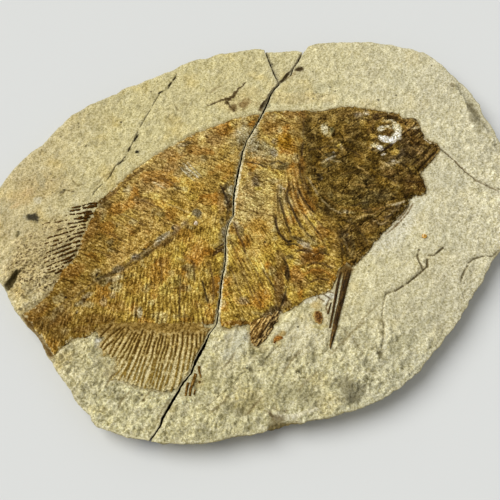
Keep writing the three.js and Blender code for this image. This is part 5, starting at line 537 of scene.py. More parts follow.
# on the skull
STROKES_SKULL = [
    ([(73.6, -1.3), (78.5, 3.8), (83.4, 9)], 0.74, (206, 182, 128), 0.6),
    ([(70.6, -3.8), (76, 0.6), (80.9, 6.4)], 0.57, (46, 32, 10), 0.6),
    ([(67.9, -2.6), (73.2, 1.3), (78.7, 7)], 0.63, (176, 144, 84), 0.55),
    ([(64.8, 1.3), (70.6, 4.5), (76.6, 9.6)], 0.57, (50, 34, 10), 0.5),
    ([(51.9, -7.6), (52.1, -15.7), (51.7, -23.7)], 0.91, (52, 36, 12), 0.6),
    ([(48.9, -12.6), (49.1, -20), (48.7, -27.3)], 0.68, (60, 42, 14), 0.5),
    ([(54.6, -10.1), (53.6, -17.6)], 0.57, (66, 46, 16), 0.45),
    ([(46.8, 1.9), (55.7, 0.6), (64.8, 1.9), (74.1, 5.7)], 0.63, (178, 146, 84), 0.5),
    ([(100.9, 32.8), (99.5, 30.1), (98.7, 27.4)], 0.51, (222, 206, 160), 0.7),
    ([(100, 61.3), (103.7, 56.3), (106.8, 51.4), (108.7, 46.5)], 0.51, (190, 160, 100), 0.5),
    ([(97.5, 59.8), (101.1, 54.2), (104.7, 48.6)], 0.57, (46, 30, 8), 0.5),
    ([(73.8, 43), (77.5, 45.8), (80.6, 47.9), (83.8, 51), (87, 54.5), (90.8, 58.1), (94.7, 61.3), (98.3, 65.2)], 0.63, (40, 26, 8), 0.8),
    ([(88.4, 57.7), (92.2, 60.2), (96, 63.4)], 0.57, (186, 156, 96), 0.6),
    ([(70.6, 67), (76.2, 69.1), (82.2, 69.1), (87.4, 67)], 1.14, (52, 36, 10), 0.6),
    ([(95.1, 67), (98, 65.5), (99, 63.4), (97.8, 60.2)], 0.46, (206, 180, 124), 0.6),
    ([(90.7, 50), (92.1, 52.1), (92.8, 53.8)], 0.57, (196, 164, 100), 0.6),
    ([(96.2, 41.7), (98.6, 45.8), (101.8, 51.4)], 0.57, (196, 166, 104), 0.6),
    ([(92.3, 41), (95.7, 46.5), (99.1, 51.4)], 0.57, (48, 32, 8), 0.5),
    ([(99.3, 41), (102.1, 45.8)], 0.46, (48, 32, 8), 0.5),
    ([(74.6, 32.8), (76.2, 35.2), (78.5, 35.5), (79.8, 33.5), (79, 30.8)], 0.46, (190, 158, 92), 0.6),
    ([(78, 36.9), (80.3, 35.9), (83.2, 36.2), (84.9, 34.8)], 0.51, (214, 196, 150), 0.6),
    ([(37.1, 46.5), (40.4, 42.4), (44.9, 37.6)], 0.57, (176, 140, 70), 0.6),
    ([(51.3, 49.3), (52.3, 45.8)], 0.8, (214, 190, 130), 0.8),
    ([(59.8, 34.2), (63.2, 32.1), (66.5, 28.8)], 0.68, (196, 164, 96), 0.7),
    ([(73.4, 37.6), (77.4, 35.5), (80.1, 32.8)], 0.85, (190, 166, 110), 0.6),
    ([(89.4, 62), (91.9, 56.3), (93.6, 49.3)], 0.68, (164, 124, 58), 0.6),
    ([(91.1, 54.2), (94.9, 50.7), (100.6, 48.6), (105.6, 45.1)], 0.63, (40, 26, 6), 0.7),
    ([(91.7, 47.2), (96.7, 44.4), (102.3, 41)], 0.63, (176, 140, 74), 0.55),
    ([(89.1, 43.7), (94, 39.6), (99.4, 35.5)], 0.63, (44, 30, 8), 0.65),
    ([(78.2, 8.3), (82.3, 9), (85.8, 10.9)], 0.68, (228, 216, 180), 0.7),
    ([(66.9, -1.3), (71.2, -3.8), (74.6, -2.6)], 0.57, (206, 182, 130), 0.6),
    ([(54.6, 69.1), (60.8, 72), (68, 72), (75.1, 70.6)], 0.63, (182, 150, 84), 0.5),
    ([(58, 65.5), (64.1, 67.7), (70, 66.3)], 0.68, (52, 36, 10), 0.6),
    ([(73.7, 68.4), (82.3, 70.6), (89.3, 68.4), (95, 64.8)], 0.68, (178, 146, 80), 0.55),
    ([(39.4, 15.5), (46, 9), (54.8, 5.1), (65, 5.1)], 0.68, (160, 124, 58), 0.45),
    ([(44.2, 20.8), (49.7, 16.8), (56.5, 15.5)], 0.63, (44, 30, 8), 0.5),
    ([(56.9, 22.1), (63.7, 20.8), (71.8, 22.1)], 0.63, (168, 132, 66), 0.45),
    ([(77.1, 65.2), (80.1, 65.8), (83.1, 65.5), (85.3, 63.8)], 0.74, (222, 212, 172), 0.9),
    ([(87.9, 58.4), (85.8, 54.9), (82.6, 50.7), (79.4, 47.9), (75.1, 44.8)], 0.97, (50, 36, 20), 0.85),
    ([(71.6, 62.7), (70.7, 59.1), (71.6, 54.9), (72.6, 51.4)], 0.74, (70, 50, 26), 0.6),
    ([(30.6, 27.4), (32.8, 24.1), (35.5, 18.1), (37.1, 14.8)], 0.68, (158, 140, 98), 0.75),
    ([(38.2, 12.9), (42, 8.3), (46.3, 4.5), (50.2, 2.9)], 0.74, (172, 152, 104), 0.7),
    ([(40.8, 37.6), (44.4, 39.3), (48, 41)], 0.63, (182, 174, 146), 0.8),
    ([(94.2, 59.8), (95.8, 60.5), (97.9, 61.1)], 0.68, (228, 212, 164), 0.9),
    ([(100.8, 53.8), (102.7, 51.7), (104.5, 49.6)], 0.68, (228, 216, 178), 0.85),
    ([(94.1, 34.2), (98.5, 38.2), (102.4, 42.4), (105.8, 47.2)], 0.63, (140, 112, 62), 0.7),
    ([(95.7, 32.5), (100.2, 37.2), (104.1, 41.7), (107.3, 45.1)], 0.68, (46, 32, 14), 0.8),
    ([(91.8, 34.8), (96.2, 38.9), (100.8, 43.7), (104, 47.2)], 0.68, (52, 38, 18), 0.7),
    ([(97.3, 31.4), (97.6, 28.1), (99.7, 25.7)], 0.85, (226, 214, 172), 0.9),
    ([(75.4, 8), (80, 9.3), (85.8, 10.6)], 0.68, (168, 148, 104), 0.7),
    ([(74.7, 5.7), (79.8, 7), (84.5, 8.3)], 0.68, (50, 36, 20), 0.7),
    ([(73.9, 3.2), (78, 4.5), (82.6, 5.7)], 0.63, (150, 126, 78), 0.7),
    ([(73.2, 0.6), (76.6, 1.6), (79.5, 2.5)], 0.68, (46, 34, 18), 0.7),
    ([(71.8, -2.6), (74.7, -1.3)], 0.63, (140, 116, 70), 0.6),
    ([(30.2, 72.8), (30, 59.1), (28.9, 47.9), (28.4, 38.2), (28.9, 28.8), (30.4, 20.8), (32.8, 12.9)], 0.8, (48, 34, 20), 0.65),
    ([(58.4, -1), (60.8, 0.9), (64.8, 2.2), (69.3, 1.6)], 0.57, (176, 152, 92), 0.7),
    ([(56.1, 7.7), (60.7, 9.6), (65.3, 10.3)], 0.8, (52, 40, 22), 0.6),
    ([(50.3, 28.8), (57.3, 30.1), (65.3, 28.1), (71.9, 24.1)], 0.8, (60, 46, 24), 0.45),
    ([(43.1, 50), (49.1, 52.8), (56.2, 52.8), (63.1, 50), (67.5, 45.1)], 0.74, (140, 116, 66), 0.5),
    ([(45.3, 46.5), (52.4, 47.2), (58.1, 45.1), (62.6, 41)], 0.68, (54, 40, 20), 0.5),
    ([(87.5, 24.7), (91.5, 23.7), (96.1, 24.1)], 0.63, (46, 32, 14), 0.7),
    ([(86.3, 16.8), (90.9, 17.7), (96.7, 18.4)], 0.63, (122, 92, 44), 0.6),
    ([(35.8, 9), (41.2, 3.8), (45.5, -2.6), (47.9, -10.1), (49.2, -18.8), (51, -25.5)], 0.74, (50, 38, 22), 0.6),
    ([(51.1, -1.3), (56.6, -3.8), (60.7, -10.1), (63.7, -16.3)], 0.74, (60, 46, 24), 0.5),
    ([(32.3, 45.1), (39.4, 46.5), (45.4, 48.6)], 0.74, (64, 48, 26), 0.5),
    ([(32, 34.2), (40, 31.4), (44.5, 27.4)], 0.8, (150, 124, 70), 0.4),
    ([(84.3, 35.5), (87.6, 32.8), (89.5, 28.1), (88.6, 23.4)], 0.74, (134, 108, 60), 0.6),
    ([(86.7, 36.2), (89.9, 32.8), (91.8, 28.1)], 0.68, (48, 36, 18), 0.6),
    ([(74.1, 39.6), (78.9, 40.6), (83.5, 39.6)], 0.68, (128, 104, 64), 0.6),
    ([(72.2, 28.8), (77.9, 26.7), (82.2, 23.4)], 0.74, (56, 42, 22), 0.55),
    ([(39.6, 19.4), (47.5, 18.1), (55.6, 19.4), (61.5, 22.1)], 0.74, (150, 124, 62), 0.4),
    ([(50, -12.6), (52, -18.2), (53.9, -23.7)], 0.68, (170, 146, 96), 0.5),
]
# on the stone
STROKES_STONE = [
    ([(78.4, -5.1), (83.2, -0.7), (87.6, 4.5), (90.9, 10.3)], 0.46, (98, 74, 36), 0.75),
    ([(81.5, -0.7), (85.9, 4.5), (88.5, 9)], 0.46, (84, 60, 26), 0.75),
    ([(73.6, -9.5), (78.3, -5.7), (81.9, -2.6)], 0.46, (104, 78, 40), 0.6),
    ([(-122.4, -57.9), (-116.2, -65.8), (-110, -74.1), (-104.6, -81.2)], 1.37, (96, 66, 24), 0.9),
    # the next stroke is painted shadow under the overhanging flake at the nook
    ([(7.4, -109.7), (9.9, -112.8), (13.9, -114.8), (18.4, -115.9), (22.9, -115.4)], 0.97, (92, 76, 48), 0.8),
    ([(10.9, -110.8), (16.4, -112.3), (22.5, -111.8), (28.1, -109.7), (33.7, -107.7)], 1.25, (230, 222, 192), 0.6),
    ([(9.5, -108.2), (13, -109.7), (17.5, -109.2)], 0.57, (120, 104, 68), 0.5),
    ([(110.8, 46.3), (114.1, 42.4), (117.3, 38.7), (120.3, 34.8), (122.9, 31.1), (127.9, 25.5), (133.8, 21.8), (140.5, 18.1)], 0.43, (92, 74, 42), 0.8),
    ([(111.7, 47.2), (117.9, 39.6), (124, 32.1), (129.2, 26.7), (135, 22.7)], 0.51, (232, 226, 196), 0.35),
    ([(75.8, -1.9), (81.1, 1.9), (85.5, 7), (88.8, 12.9)], 0.51, (72, 50, 18), 0.8),
    ([(73.4, -3.8), (78.7, -0.7), (83.5, 3.2), (87.3, 8.3)], 0.51, (84, 60, 24), 0.7),
    ([(70.5, -5.1), (76.3, -3.2), (81.6, 0.6)], 0.51, (90, 66, 28), 0.7),
    ([(78.8, 0.6), (83.1, 5.7), (86.4, 10.9)], 0.46, (232, 224, 190), 0.6),
    ([(74.6, -3.2), (79.9, 0), (84.2, 4.5)], 0.46, (230, 220, 184), 0.6),
    ([(68.1, -7.6), (73.3, -5.7), (78.5, -3.2)], 0.46, (98, 72, 34), 0.6),
    ([(88.9, 13.5), (92.1, 17.5), (94.1, 21.4)], 0.57, (96, 68, 30), 0.7),
    ([(35.6, -43.4), (38.7, -46.3), (41.8, -48.7)], 0.51, (70, 50, 22), 0.8),
    ([(37.2, -41.6), (40.4, -44), (43.6, -45.2)], 0.51, (80, 58, 26), 0.7),
    ([(34.9, -46.9), (38, -49.8)], 0.46, (84, 60, 28), 0.7),
    ([(40.7, -48.7), (38.9, -53.3), (39.9, -56.7)], 0.51, (92, 66, 30), 0.7),
    ([(33.9, -44), (37, -48.1)], 0.51, (234, 228, 200), 0.6),
    ([(41.3, -61.3), (48.4, -66.3), (53.9, -73), (57.1, -80.1)], 0.51, (138, 124, 84), 0.5),
    ([(59.3, -61.3), (52.1, -67.4), (45.4, -74.1), (39.9, -80.1)], 0.68, (142, 128, 88), 0.6),
    ([(56.9, -65.8), (50.8, -71.9), (44.2, -78)], 0.68, (230, 222, 190), 0.4),
    ([(66.8, -51.5), (60, -57.9), (54.3, -64.6)], 0.57, (146, 132, 92), 0.5),
    ([(-47.8, -95.7), (-52.7, -99.4), (-56.5, -104.6)], 0.57, (126, 108, 66), 0.6),
    ([(-62.9, -99.4), (-66.7, -102.5), (-68.4, -107.7)], 0.57, (120, 102, 62), 0.6),
    ([(-42.3, -103.6), (-46.1, -108.7), (-47.9, -113.8)], 0.57, (128, 112, 70), 0.55),
    ([(-69.7, -88.8), (-73.6, -92), (-75.3, -97.3)], 0.57, (118, 98, 56), 0.6),
    ([(-11.9, -100.9), (-15.9, -106.1), (-21.8, -110.8)], 0.63, (132, 116, 74), 0.6),
    ([(4.4, -102.5), (0.4, -106.7), (-3.7, -111.8)], 0.63, (136, 120, 80), 0.55),
    ([(24.4, -78), (19.1, -83.4), (15.8, -89.9)], 0.63, (140, 124, 84), 0.55),
    ([(33.4, -88.8), (28.1, -93), (22.8, -99.4)], 0.63, (138, 122, 82), 0.5),
    ([(-9, -78), (-12, -83.4), (-16.1, -87.7)], 0.57, (136, 120, 80), 0.55),
    ([(-26, 87.5), (-22.4, 91.2), (-18.8, 92.7)], 0.46, (120, 98, 58), 0.5),
    ([(-47.6, 79.3), (-45, 74.9), (-41.3, 73.5)], 0.46, (120, 100, 60), 0.5),
    ([(-95.4, 3.8), (-92.4, 9), (-88.3, 14.2)], 0.51, (124, 106, 64), 0.5),
    ([(-110.1, 15.5), (-107, 19.4), (-102.3, 18.1)], 0.51, (110, 92, 52), 0.55),
    ([(-104.2, 26.1), (-100.4, 22.1), (-97.1, 23.4)], 0.51, (110, 92, 52), 0.5),
    ([(-90.1, 22.1), (-87, 27.4), (-81.6, 31.4)], 0.51, (126, 108, 68), 0.5),
]
# camera place and the point it looks at, metres
CAMERA, TARGET = (-0.001669, -0.220615, 0.425802), (-0.001669, -0.018790, 0.012000)
GAPE = [(30.51, 118.87), (27.55, 112.61), (23.99, 106.42), (19.87, 101.06), (15.15, 93.48), (10.48, 85.99), (5.57, 77.14)]
SPECKLED = [(-111.4, -26.1, 24.4, 27.3), (-10.1, 80.8, 14.6, 7.4), (27.4, 83, 23.2, 5), (-119.9, 22.1, 15.9, 8.7), (-53, 15.5, 8.5, 6.2)]
WEDGE_LEFT = [(8, 119.7), (9.5, 112.6), (11.9, 104.9), (14.3, 98.8), (16.7, 93.5)]
SMUDGE_AT = (-123.8, 1.3)
EYE = (79.2, 56.6)
NOOK_AT = (11.1, -117.9)
BEAD = (95.2, -10.74)

# ------------------------------------------------------------------ noise
def _hash(ix, iy, iz, seed):
    h = (ix.astype(np.int64) * 374761393 + iy.astype(np.int64) * 668265263 + iz.astype(np.int64) * 2147483647 + seed * 1274126177) & 0xFFFFFFFF
    h = ((h ^ (h >> 13)) * 1274126177) & 0xFFFFFFFF
    h = ((h ^ (h >> 16)) * 2246822519) & 0xFFFFFFFF
    return h ^ (h >> 15)


def noise2(x, y, scale, seed=0):
    """gradient noise, about -1..1, with features 'scale' mm across"""
    x, y = np.asarray(x, float) / scale + 31.7 * seed, np.asarray(y, float) / scale - 17.3 * seed
    ix, iy = np.floor(x), np.floor(y)
    fx, fy = x - ix, y - iy
    ux, uy = fx * fx * fx * (fx * (fx * 6 - 15) + 10), fy * fy * fy * (fy * (fy * 6 - 15) + 10)
    zero = np.zeros_like(ix)

    def g(dx, dy):
        a = _hash(ix + dx, iy + dy, zero, seed) * (2 * math.pi / 4294967296.0)
        return np.cos(a) * (fx - dx) + np.sin(a) * (fy - dy)

    a, b, c, d = g(0, 0), g(1, 0), g(0, 1), g(1, 1)
    return 1.5 * (a + ux * (b - a) + uy * (c - a) + ux * uy * (a - b - c + d))


def noise3(x, y, z, scale, seed=0):
    x, y, z = (np.asarray(v, float) / scale + s * seed for v, s in ((x, 31.7), (y, -17.3), (z, 11.1)))
    ix, iy, iz = np.floor(x), np.floor(y), np.floor(z)
    fx, fy, fz = x - ix, y - iy, z - iz
    ux, uy, uz = (f * f * (3 - 2 * f) for f in (fx, fy, fz))

    def g(dx, dy, dz):
        return _hash(ix + dx, iy + dy, iz + dz, seed) / 2147483648.0 - 1.0

    def lerp(a, b, t):
        return a + t * (b - a)

    return lerp(
        lerp(lerp(g(0, 0, 0), g(1, 0, 0), ux), lerp(g(0, 1, 0), g(1, 1, 0), ux), uy),
        lerp(lerp(g(0, 0, 1), g(1, 0, 1), ux), lerp(g(0, 1, 1), g(1, 1, 1), ux), uy),
        uz,
    )


def fbm(x, y, scale, octaves=3, seed=0, gain=0.5):
    r, a, t = 0.0, 1.0, 0.0
    for k in range(octaves):
        r = r + a * noise2(x, y, scale / 2**k, seed + 7 * k)
        t += a
        a *= gain
    return r / t


def fbm3(x, y, z, scale, octaves=3, seed=0):
    r, a, t = 0.0, 1.0, 0.0
    for k in range(octaves):
        r = r + a * noise3(x, y, z, scale / 2**k, seed + 7 * k)
        t += a
        a *= 0.5
    return r / t


def cells(x, y, scale, seed=0, jitter=0.9):
    """distance to the nearest cell centre, to the next one (both over scale), and the cell's number 0..1"""
    x, y = np.asarray(x, float) / scale + 3.3 * seed, np.asarray(y, float) / scale + 5.9 * seed
    ix, iy = np.floor(x), np.floor(y)
    f1, f2, idn = np.full(x.shape, 9.0), np.full(x.shape, 9.0), np.zeros(x.shape)
    zero = np.zeros_like(ix)
    for dx in (-1, 0, 1):
        for dy in (-1, 0, 1):
            h = _hash(ix + dx, iy + dy, zero, seed)
            px = ix + dx + 0.5 + jitter * ((h & 0xFFFF) / 65535.0 - 0.5)
            py = iy + dy + 0.5 + jitter * (((h >> 16) & 0xFFFF) / 65535.0 - 0.5)
            d = np.hypot(px - x, py - y)
            near = d < f1
            f2 = np.where(near, f1, np.minimum(f2, d))
            idn = np.where(near, (_hash(ix + dx, iy + dy, zero, seed + 99) & 0xFFFF) / 65535.0, idn)
            f1 = np.where(near, d, f1)
    return f1, f2, idn


def smooth(a, b, v):
    t = np.clip((v - a) / (b - a), 0, 1)
    return t * t * (3 - 2 * t)


def mix(a, b, t):
    a, b = np.asarray(a, float), np.asarray(b, float)
    t = np.asarray(t, float)
    if (a.ndim and a.shape[-1] == 3) or (b.ndim and b.shape[-1] == 3):
        t = t[..., None]
    return a + (b - a) * t


def rgb(r, g, b):
    return np.array([r, g, b], float) / 255


# ------------------------------------------------------------------ plane geometry
def near(P, line, reach, closed=False, live=None):
    """distance of each point to a polyline, clipped at reach; how far along it (0..1); which side (+1 left)
    live: which of its segments count"""
    line = np.asarray(line, float)
    if closed:
        line = np.vstack([line, line[:1]])
    seg = np.hypot(*(line[1:] - line[:-1]).T)
    start = np.concatenate([[0], np.cumsum(seg)])
    d = np.full(len(P), float(reach))
    t = np.zeros(len(P))
    s = np.ones(len(P))
    x, y = P[:, 0], P[:, 1]
    for i in range(len(line) - 1):
        a, b = line[i], line[i + 1]
        m = (x > min(a[0], b[0]) - reach) & (x < max(a[0], b[0]) + reach) & (y > min(a[1], b[1]) - reach) & (y < max(a[1], b[1]) + reach)
        k = np.nonzero(m)[0]
        if not len(k) or seg[i] < 1e-9 or (live is not None and not live[i]):
            continue
        e = (b - a) / seg[i]
        qx, qy = x[k] - a[0], y[k] - a[1]
        u = np.clip(qx * e[0] + qy * e[1], 0, seg[i])
        dd = np.hypot(qx - u * e[0], qy - u * e[1])
        w = dd < d[k]
        kk = k[w]
        d[kk] = dd[w]
        t[kk] = (start[i] + u[w]) / start[-1]
        s[kk] = np.where(e[0] * qy[w] - e[1] * qx[w] >= 0, 1.0, -1.0)
    return d, t, s


def inside(P, poly):
    poly = np.asarray(poly, float)
    c = np.zeros(len(P), bool)
    x, y = P[:, 0], P[:, 1]
    for (x1, y1), (x2, y2) in zip(poly, np.roll(poly, -1, 0)):
        if y1 == y2:
            continue
        k = (y1 > y) != (y2 > y)
        c ^= k & (x < (x2 - x1) * (y - y1) / (y2 - y1) + x1)
    return c


def ccw(p):
    p = np.asarray(p, float)
    return p if (p[:, 0] * np.roll(p[:, 1], -1) - p[:, 1] * np.roll(p[:, 0], -1)).sum() > 0 else p[::-1]


def resample(p, step, closed=True):
    p = np.asarray(p, float)
    q = np.vstack([p, p[:1]]) if closed else p
    L = np.concatenate([[0], np.cumsum(np.hypot(*(q[1:, :2] - q[:-1, :2]).T))])
    n = max(4 if closed else 2, int(round(L[-1] / step)))
    s = np.linspace(0, L[-1], n + 1)
    if closed:
        s = s[:-1]
    return np.column_stack([np.interp(s, L, q[:, k]) for k in range(q.shape[1])])


def round_off(p, times=2, closed=True):
    """a few passes that round the corners of an outline"""
    for _ in range(times):
        a, b = np.roll(p, 1, 0), np.roll(p, -1, 0)
        q = 0.25 * a + 0.5 * p + 0.25 * b
        if not closed:
            q[0], q[-1] = p[0], p[-1]
        p = q
    return p


def inward(ring):
    d = np.roll(ring, -1, 0) - ring
    d /= np.maximum(np.hypot(*d.T), 1e-9)[:, None]
    n = np.column_stack([-d[:, 1], d[:, 0]])
    m = n + np.roll(n, 1, 0)
    return m / np.maximum(np.hypot(*m.T), 1e-9)[:, None]


def warp(P, amount=1.0):
    """the small wander of every traced edge; one field, so facing edges keep their gap"""
    x, y = P[:, 0], P[:, 1]
    return P + amount * np.column_stack([
        0.26 * noise2(x, y, 5.2, 3) + 0.22 * noise2(x, y, 1.9, 5) + 0.12 * noise2(x, y, 0.9, 9),
        0.26 * noise2(x, y, 5.2, 4) + 0.22 * noise2(x, y, 1.9, 6) + 0.12 * noise2(x, y, 0.9, 10),
    ])


def triangulate(ring, spacing, rng, fine=None, coarse=None, extra=None):
    """points and triangles of the region inside ring: an even, slightly shaken hexagonal set.
    Where coarse(P) is true only every sixteenth point stays. The ring's points come first."""
    lo, hi = ring.min(0), ring.max(0)
    h = spacing * 0.866
    ys = np.arange(lo[1], hi[1], h)
    xs = np.arange(lo[0], hi[0], spacing)
    gx, gy = np.meshgrid(xs, ys)
    j, i = np.meshgrid(np.arange(len(xs)), np.arange(len(ys)))
    gx = gx + 0.5 * spacing * (i % 2)
    P = np.column_stack([gx.ravel(), gy.ravel()])
    keep_coarse = ((i % 4 == 0) & (j % 4 == 0)).ravel()
    P = P + rng.uniform(-0.16, 0.16, P.shape) * spacing
    m = inside(P, ring)
    P, keep_coarse = P[m], keep_coarse[m]
    d, _, _ = near(P, ring, 3 * spacing, closed=True)
    m = d > 0.62 * spacing
    if coarse is not None:
        m &= keep_coarse | ~coarse(P)
    P = P[m]
    if extra is not None and len(extra):
        e = extra[inside(extra, ring)]
        de, _, _ = near(e, ring, 1.0, closed=True)
        e = e[de > 0.25]
        if len(e):
            key = {(int(a), int(b)) for a, b in np.floor(e / (0.5 * spacing))}
            c = np.floor(P / (0.5 * spacing)).astype(int)
            clash = np.array([(a, b) in key for a, b in c])
            P = np.vstack([P[~clash], e])
    n = len(ring)
    V = np.vstack([ring, P])
    out = delaunay_2d_cdt([Vector(v) for v in V.tolist()], [], [list(range(n))], 1, 1e-7, True)
    pts = np.array([(v.x, v.y) for v in out[0]])
    tri = np.array([t for t in out[2] if len(t) == 3], int)
    orig = [o[0] if len(o) else -1 for o in out[3]]
    where = {}
    for k, o in enumerate(orig):
        if o >= 0 and o < n and o not in where:
            where[o] = k
    order = [where[k] for k in range(n)]
    free = np.ones(len(pts), bool)
    free[order] = False
    perm = np.concatenate([np.array(order, int), np.nonzero(free)[0]])
    back = np.empty(len(pts), int)
    back[perm] = np.arange(len(pts))
    pts, tri = pts[perm], back[tri]
    a, b, c = pts[tri[:, 0]], pts[tri[:, 1]], pts[tri[:, 2]]
    area = (b[:, 0] - a[:, 0]) * (c[:, 1] - a[:, 1]) - (b[:, 1] - a[:, 1]) * (c[:, 0] - a[:, 0])
    tri[area < 0] = tri[area < 0][:, ::-1]
    edge = (tri < n).all(1)  # only triangles between ring points can lie outside the ring
    k = np.nonzero(edge)[0]
    out = ~inside((a[k] + b[k] + c[k]) / 3, ring)
    keep = np.ones(len(tri), bool)
    keep[k[out]] = False
    return pts, tri[keep]


# ------------------------------------------------------------------ meshes
def to_linear(c):
    c = np.clip(c, 0, 1)
    return np.where(c <= 0.04045, c / 12.92, ((c + 0.055) / 1.055) ** 2.4)


def make(name, V, F, col, material, node=None, smooth_shade=True, gloss=None):
    """a mesh object from millimetres, with a colour at each corner point"""
    me = bpy.data.meshes.new(name)
    V = np.asarray(V, np.float32) * 0.001
    F = np.asarray(F, np.int32)
    me.vertices.add(len(V))
    me.vertices.foreach_set("co", V.ravel())
    me.loops.add(F.size)
    me.loops.foreach_set("vertex_index", F.ravel())
    me.polygons.add(len(F))
    me.polygons.foreach_set("loop_start", np.arange(0, F.size, 3, dtype=np.int32))
    me.polygons.foreach_set("loop_total", np.full(len(F), 3, np.int32))
    me.polygons.foreach_set("use_smooth", np.full(len(F), smooth_shade))
    me.update(calc_edges=True)
    me.validate()
    a = me.color_attributes.new("Col", "FLOAT_COLOR", "POINT")
    rgba = np.ones((len(V), 4), np.float32)
    rgba[:, :3] = to_linear(np.asarray(col))
    a.data.foreach_set("color", rgba.ravel())
    if gloss is not None:
        g = me.attributes.new("Gloss", "FLOAT", "POINT")
        g.data.foreach_set("value", np.asarray(gloss, np.float32))
    o = bpy.data.objects.new(name, me)
    bpy.context.scene.collection.objects.link(o)
    me.materials.append(material)
    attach(o, "root")
    if node:
        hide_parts(*([node] if isinstance(node, str) else node))
    return o


def band(n, a0, b0):
    """triangles between two rings of n points, the first outside and above, walls facing out"""
    i = np.arange(n)
    j = (i + 1) % n
    return np.vstack([np.column_stack([a0 + i, b0 + i, b0 + j]), np.column_stack([a0 + i, b0 + j, a0 + j])])


# ------------------------------------------------------------------ painting
def unit(v):
    v = np.asarray(v, float)
    return (v - v.mean()) / max(v.std(), 1e-9)


def paint(col, P, marks, ragged=0.35, seed=41):
    """soft patches with a ragged rim; changes col in place"""
    wob = noise2(P[:, 0], P[:, 1], 2.6, seed) * 0.6 + noise2(P[:, 0], P[:, 1], 1.0, seed + 1) * 0.5
    for x, y, rx, ry, turn, c, s in marks:
        r = 1.6 * max(rx, ry) + 0.4
        k = np.nonzero((np.abs(P[:, 0] - x) < r) & (np.abs(P[:, 1] - y) < r))[0]
        if not len(k):
            continue
        a = math.radians(turn)
        dx, dy = P[k, 0] - x, P[k, 1] - y
        d = np.hypot((dx * math.cos(a) + dy * math.sin(a)) / rx, (-dx * math.sin(a) + dy * math.cos(a)) / ry)
        small = min(1.0, min(rx, ry) / 1.6)
        w = s * (1 - smooth(0.62, 1.28, d + ragged * small * wob[k]))
        col[k] += (rgb(*c) - col[k]) * w[:, None]


def stroke(col, P, strokes, seed=51):
    wob = noise2(P[:, 0], P[:, 1], 1.5, seed)
    fade = 0.5 + 0.5 * noise2(P[:, 0], P[:, 1], 3.4, seed + 1)
    for line, half, c, s in strokes:
        d, t, _ = near(P, line, 3 * half + 0.5)
        w = s * (1 - smooth(0.45 * half, 1.25 * half, d + 0.3 * half * wob)) * smooth(-0.1, 0.35, fade)
        w *= smooth(0, 0.08, t) * smooth(0, 0.08, 1 - t) * 0.6 + 0.4
        col += (rgb(*c) - col) * w[:, None]


def grained(base, T, dark, light, d_amp=0.32, l_amp=0.27, cap=0.8):
    """a signed texture T (unit spread) that pulls a colour towards dark where negative, light where positive"""
    c = base + (dark - base) * np.clip(-T * d_amp, 0, cap)[:, None]
    return c + (light - c) * np.clip(T * l_amp, 0, cap)[:, None]


def drawn_out(x, y, degrees, length, width, seed):
    """noise drawn out along a direction"""
    a = math.radians(degrees)
    return noise2((x * math.cos(a) + y * math.sin(a)) / length * width, -x * math.sin(a) + y * math.cos(a), width, seed)


def toss(i, j, k):
    """a repeatable number 0..1 for each cell"""
    v = np.sin(i * 127.1 + j * 311.7 + k * 74.7) * 43758.5453
    return v - np.floor(v)


def dashes(x, y, degrees, long, wide, seed, fill=0.6):
    """short strokes scattered along a direction, 0..1"""
    a = math.radians(degrees)
    x = x + 0.5 * noise2(x, y, 6.0, seed + 7)
    y = y + 0.5 * noise2(x, y, 6.0, seed + 8)
    u, v = (x * math.cos(a) + y * math.sin(a)) / long, (-x * math.sin(a) + y * math.cos(a)) / wide
    out = np.zeros(len(x))
    for k in (0, 1):
        vv = v + 0.5 * k
        row = np.floor(vv)
        uu = u + toss(row, 3.0 + k, seed)
        col = np.floor(uu)
        side = (toss(col, row, seed + 1 + k) - 0.5) * 0.5
        half = 0.2 + 0.27 * toss(col, row, seed + 3 + k)
        w = (1 - smooth(0.1, 0.34, np.abs(vv - row - 0.5 - side))) * (1 - smooth(half - 0.1, half, np.abs(uu - col - 0.5)))
        out = np.maximum(out, w * (toss(col, row, seed + 5 + k) < fill))
    return out


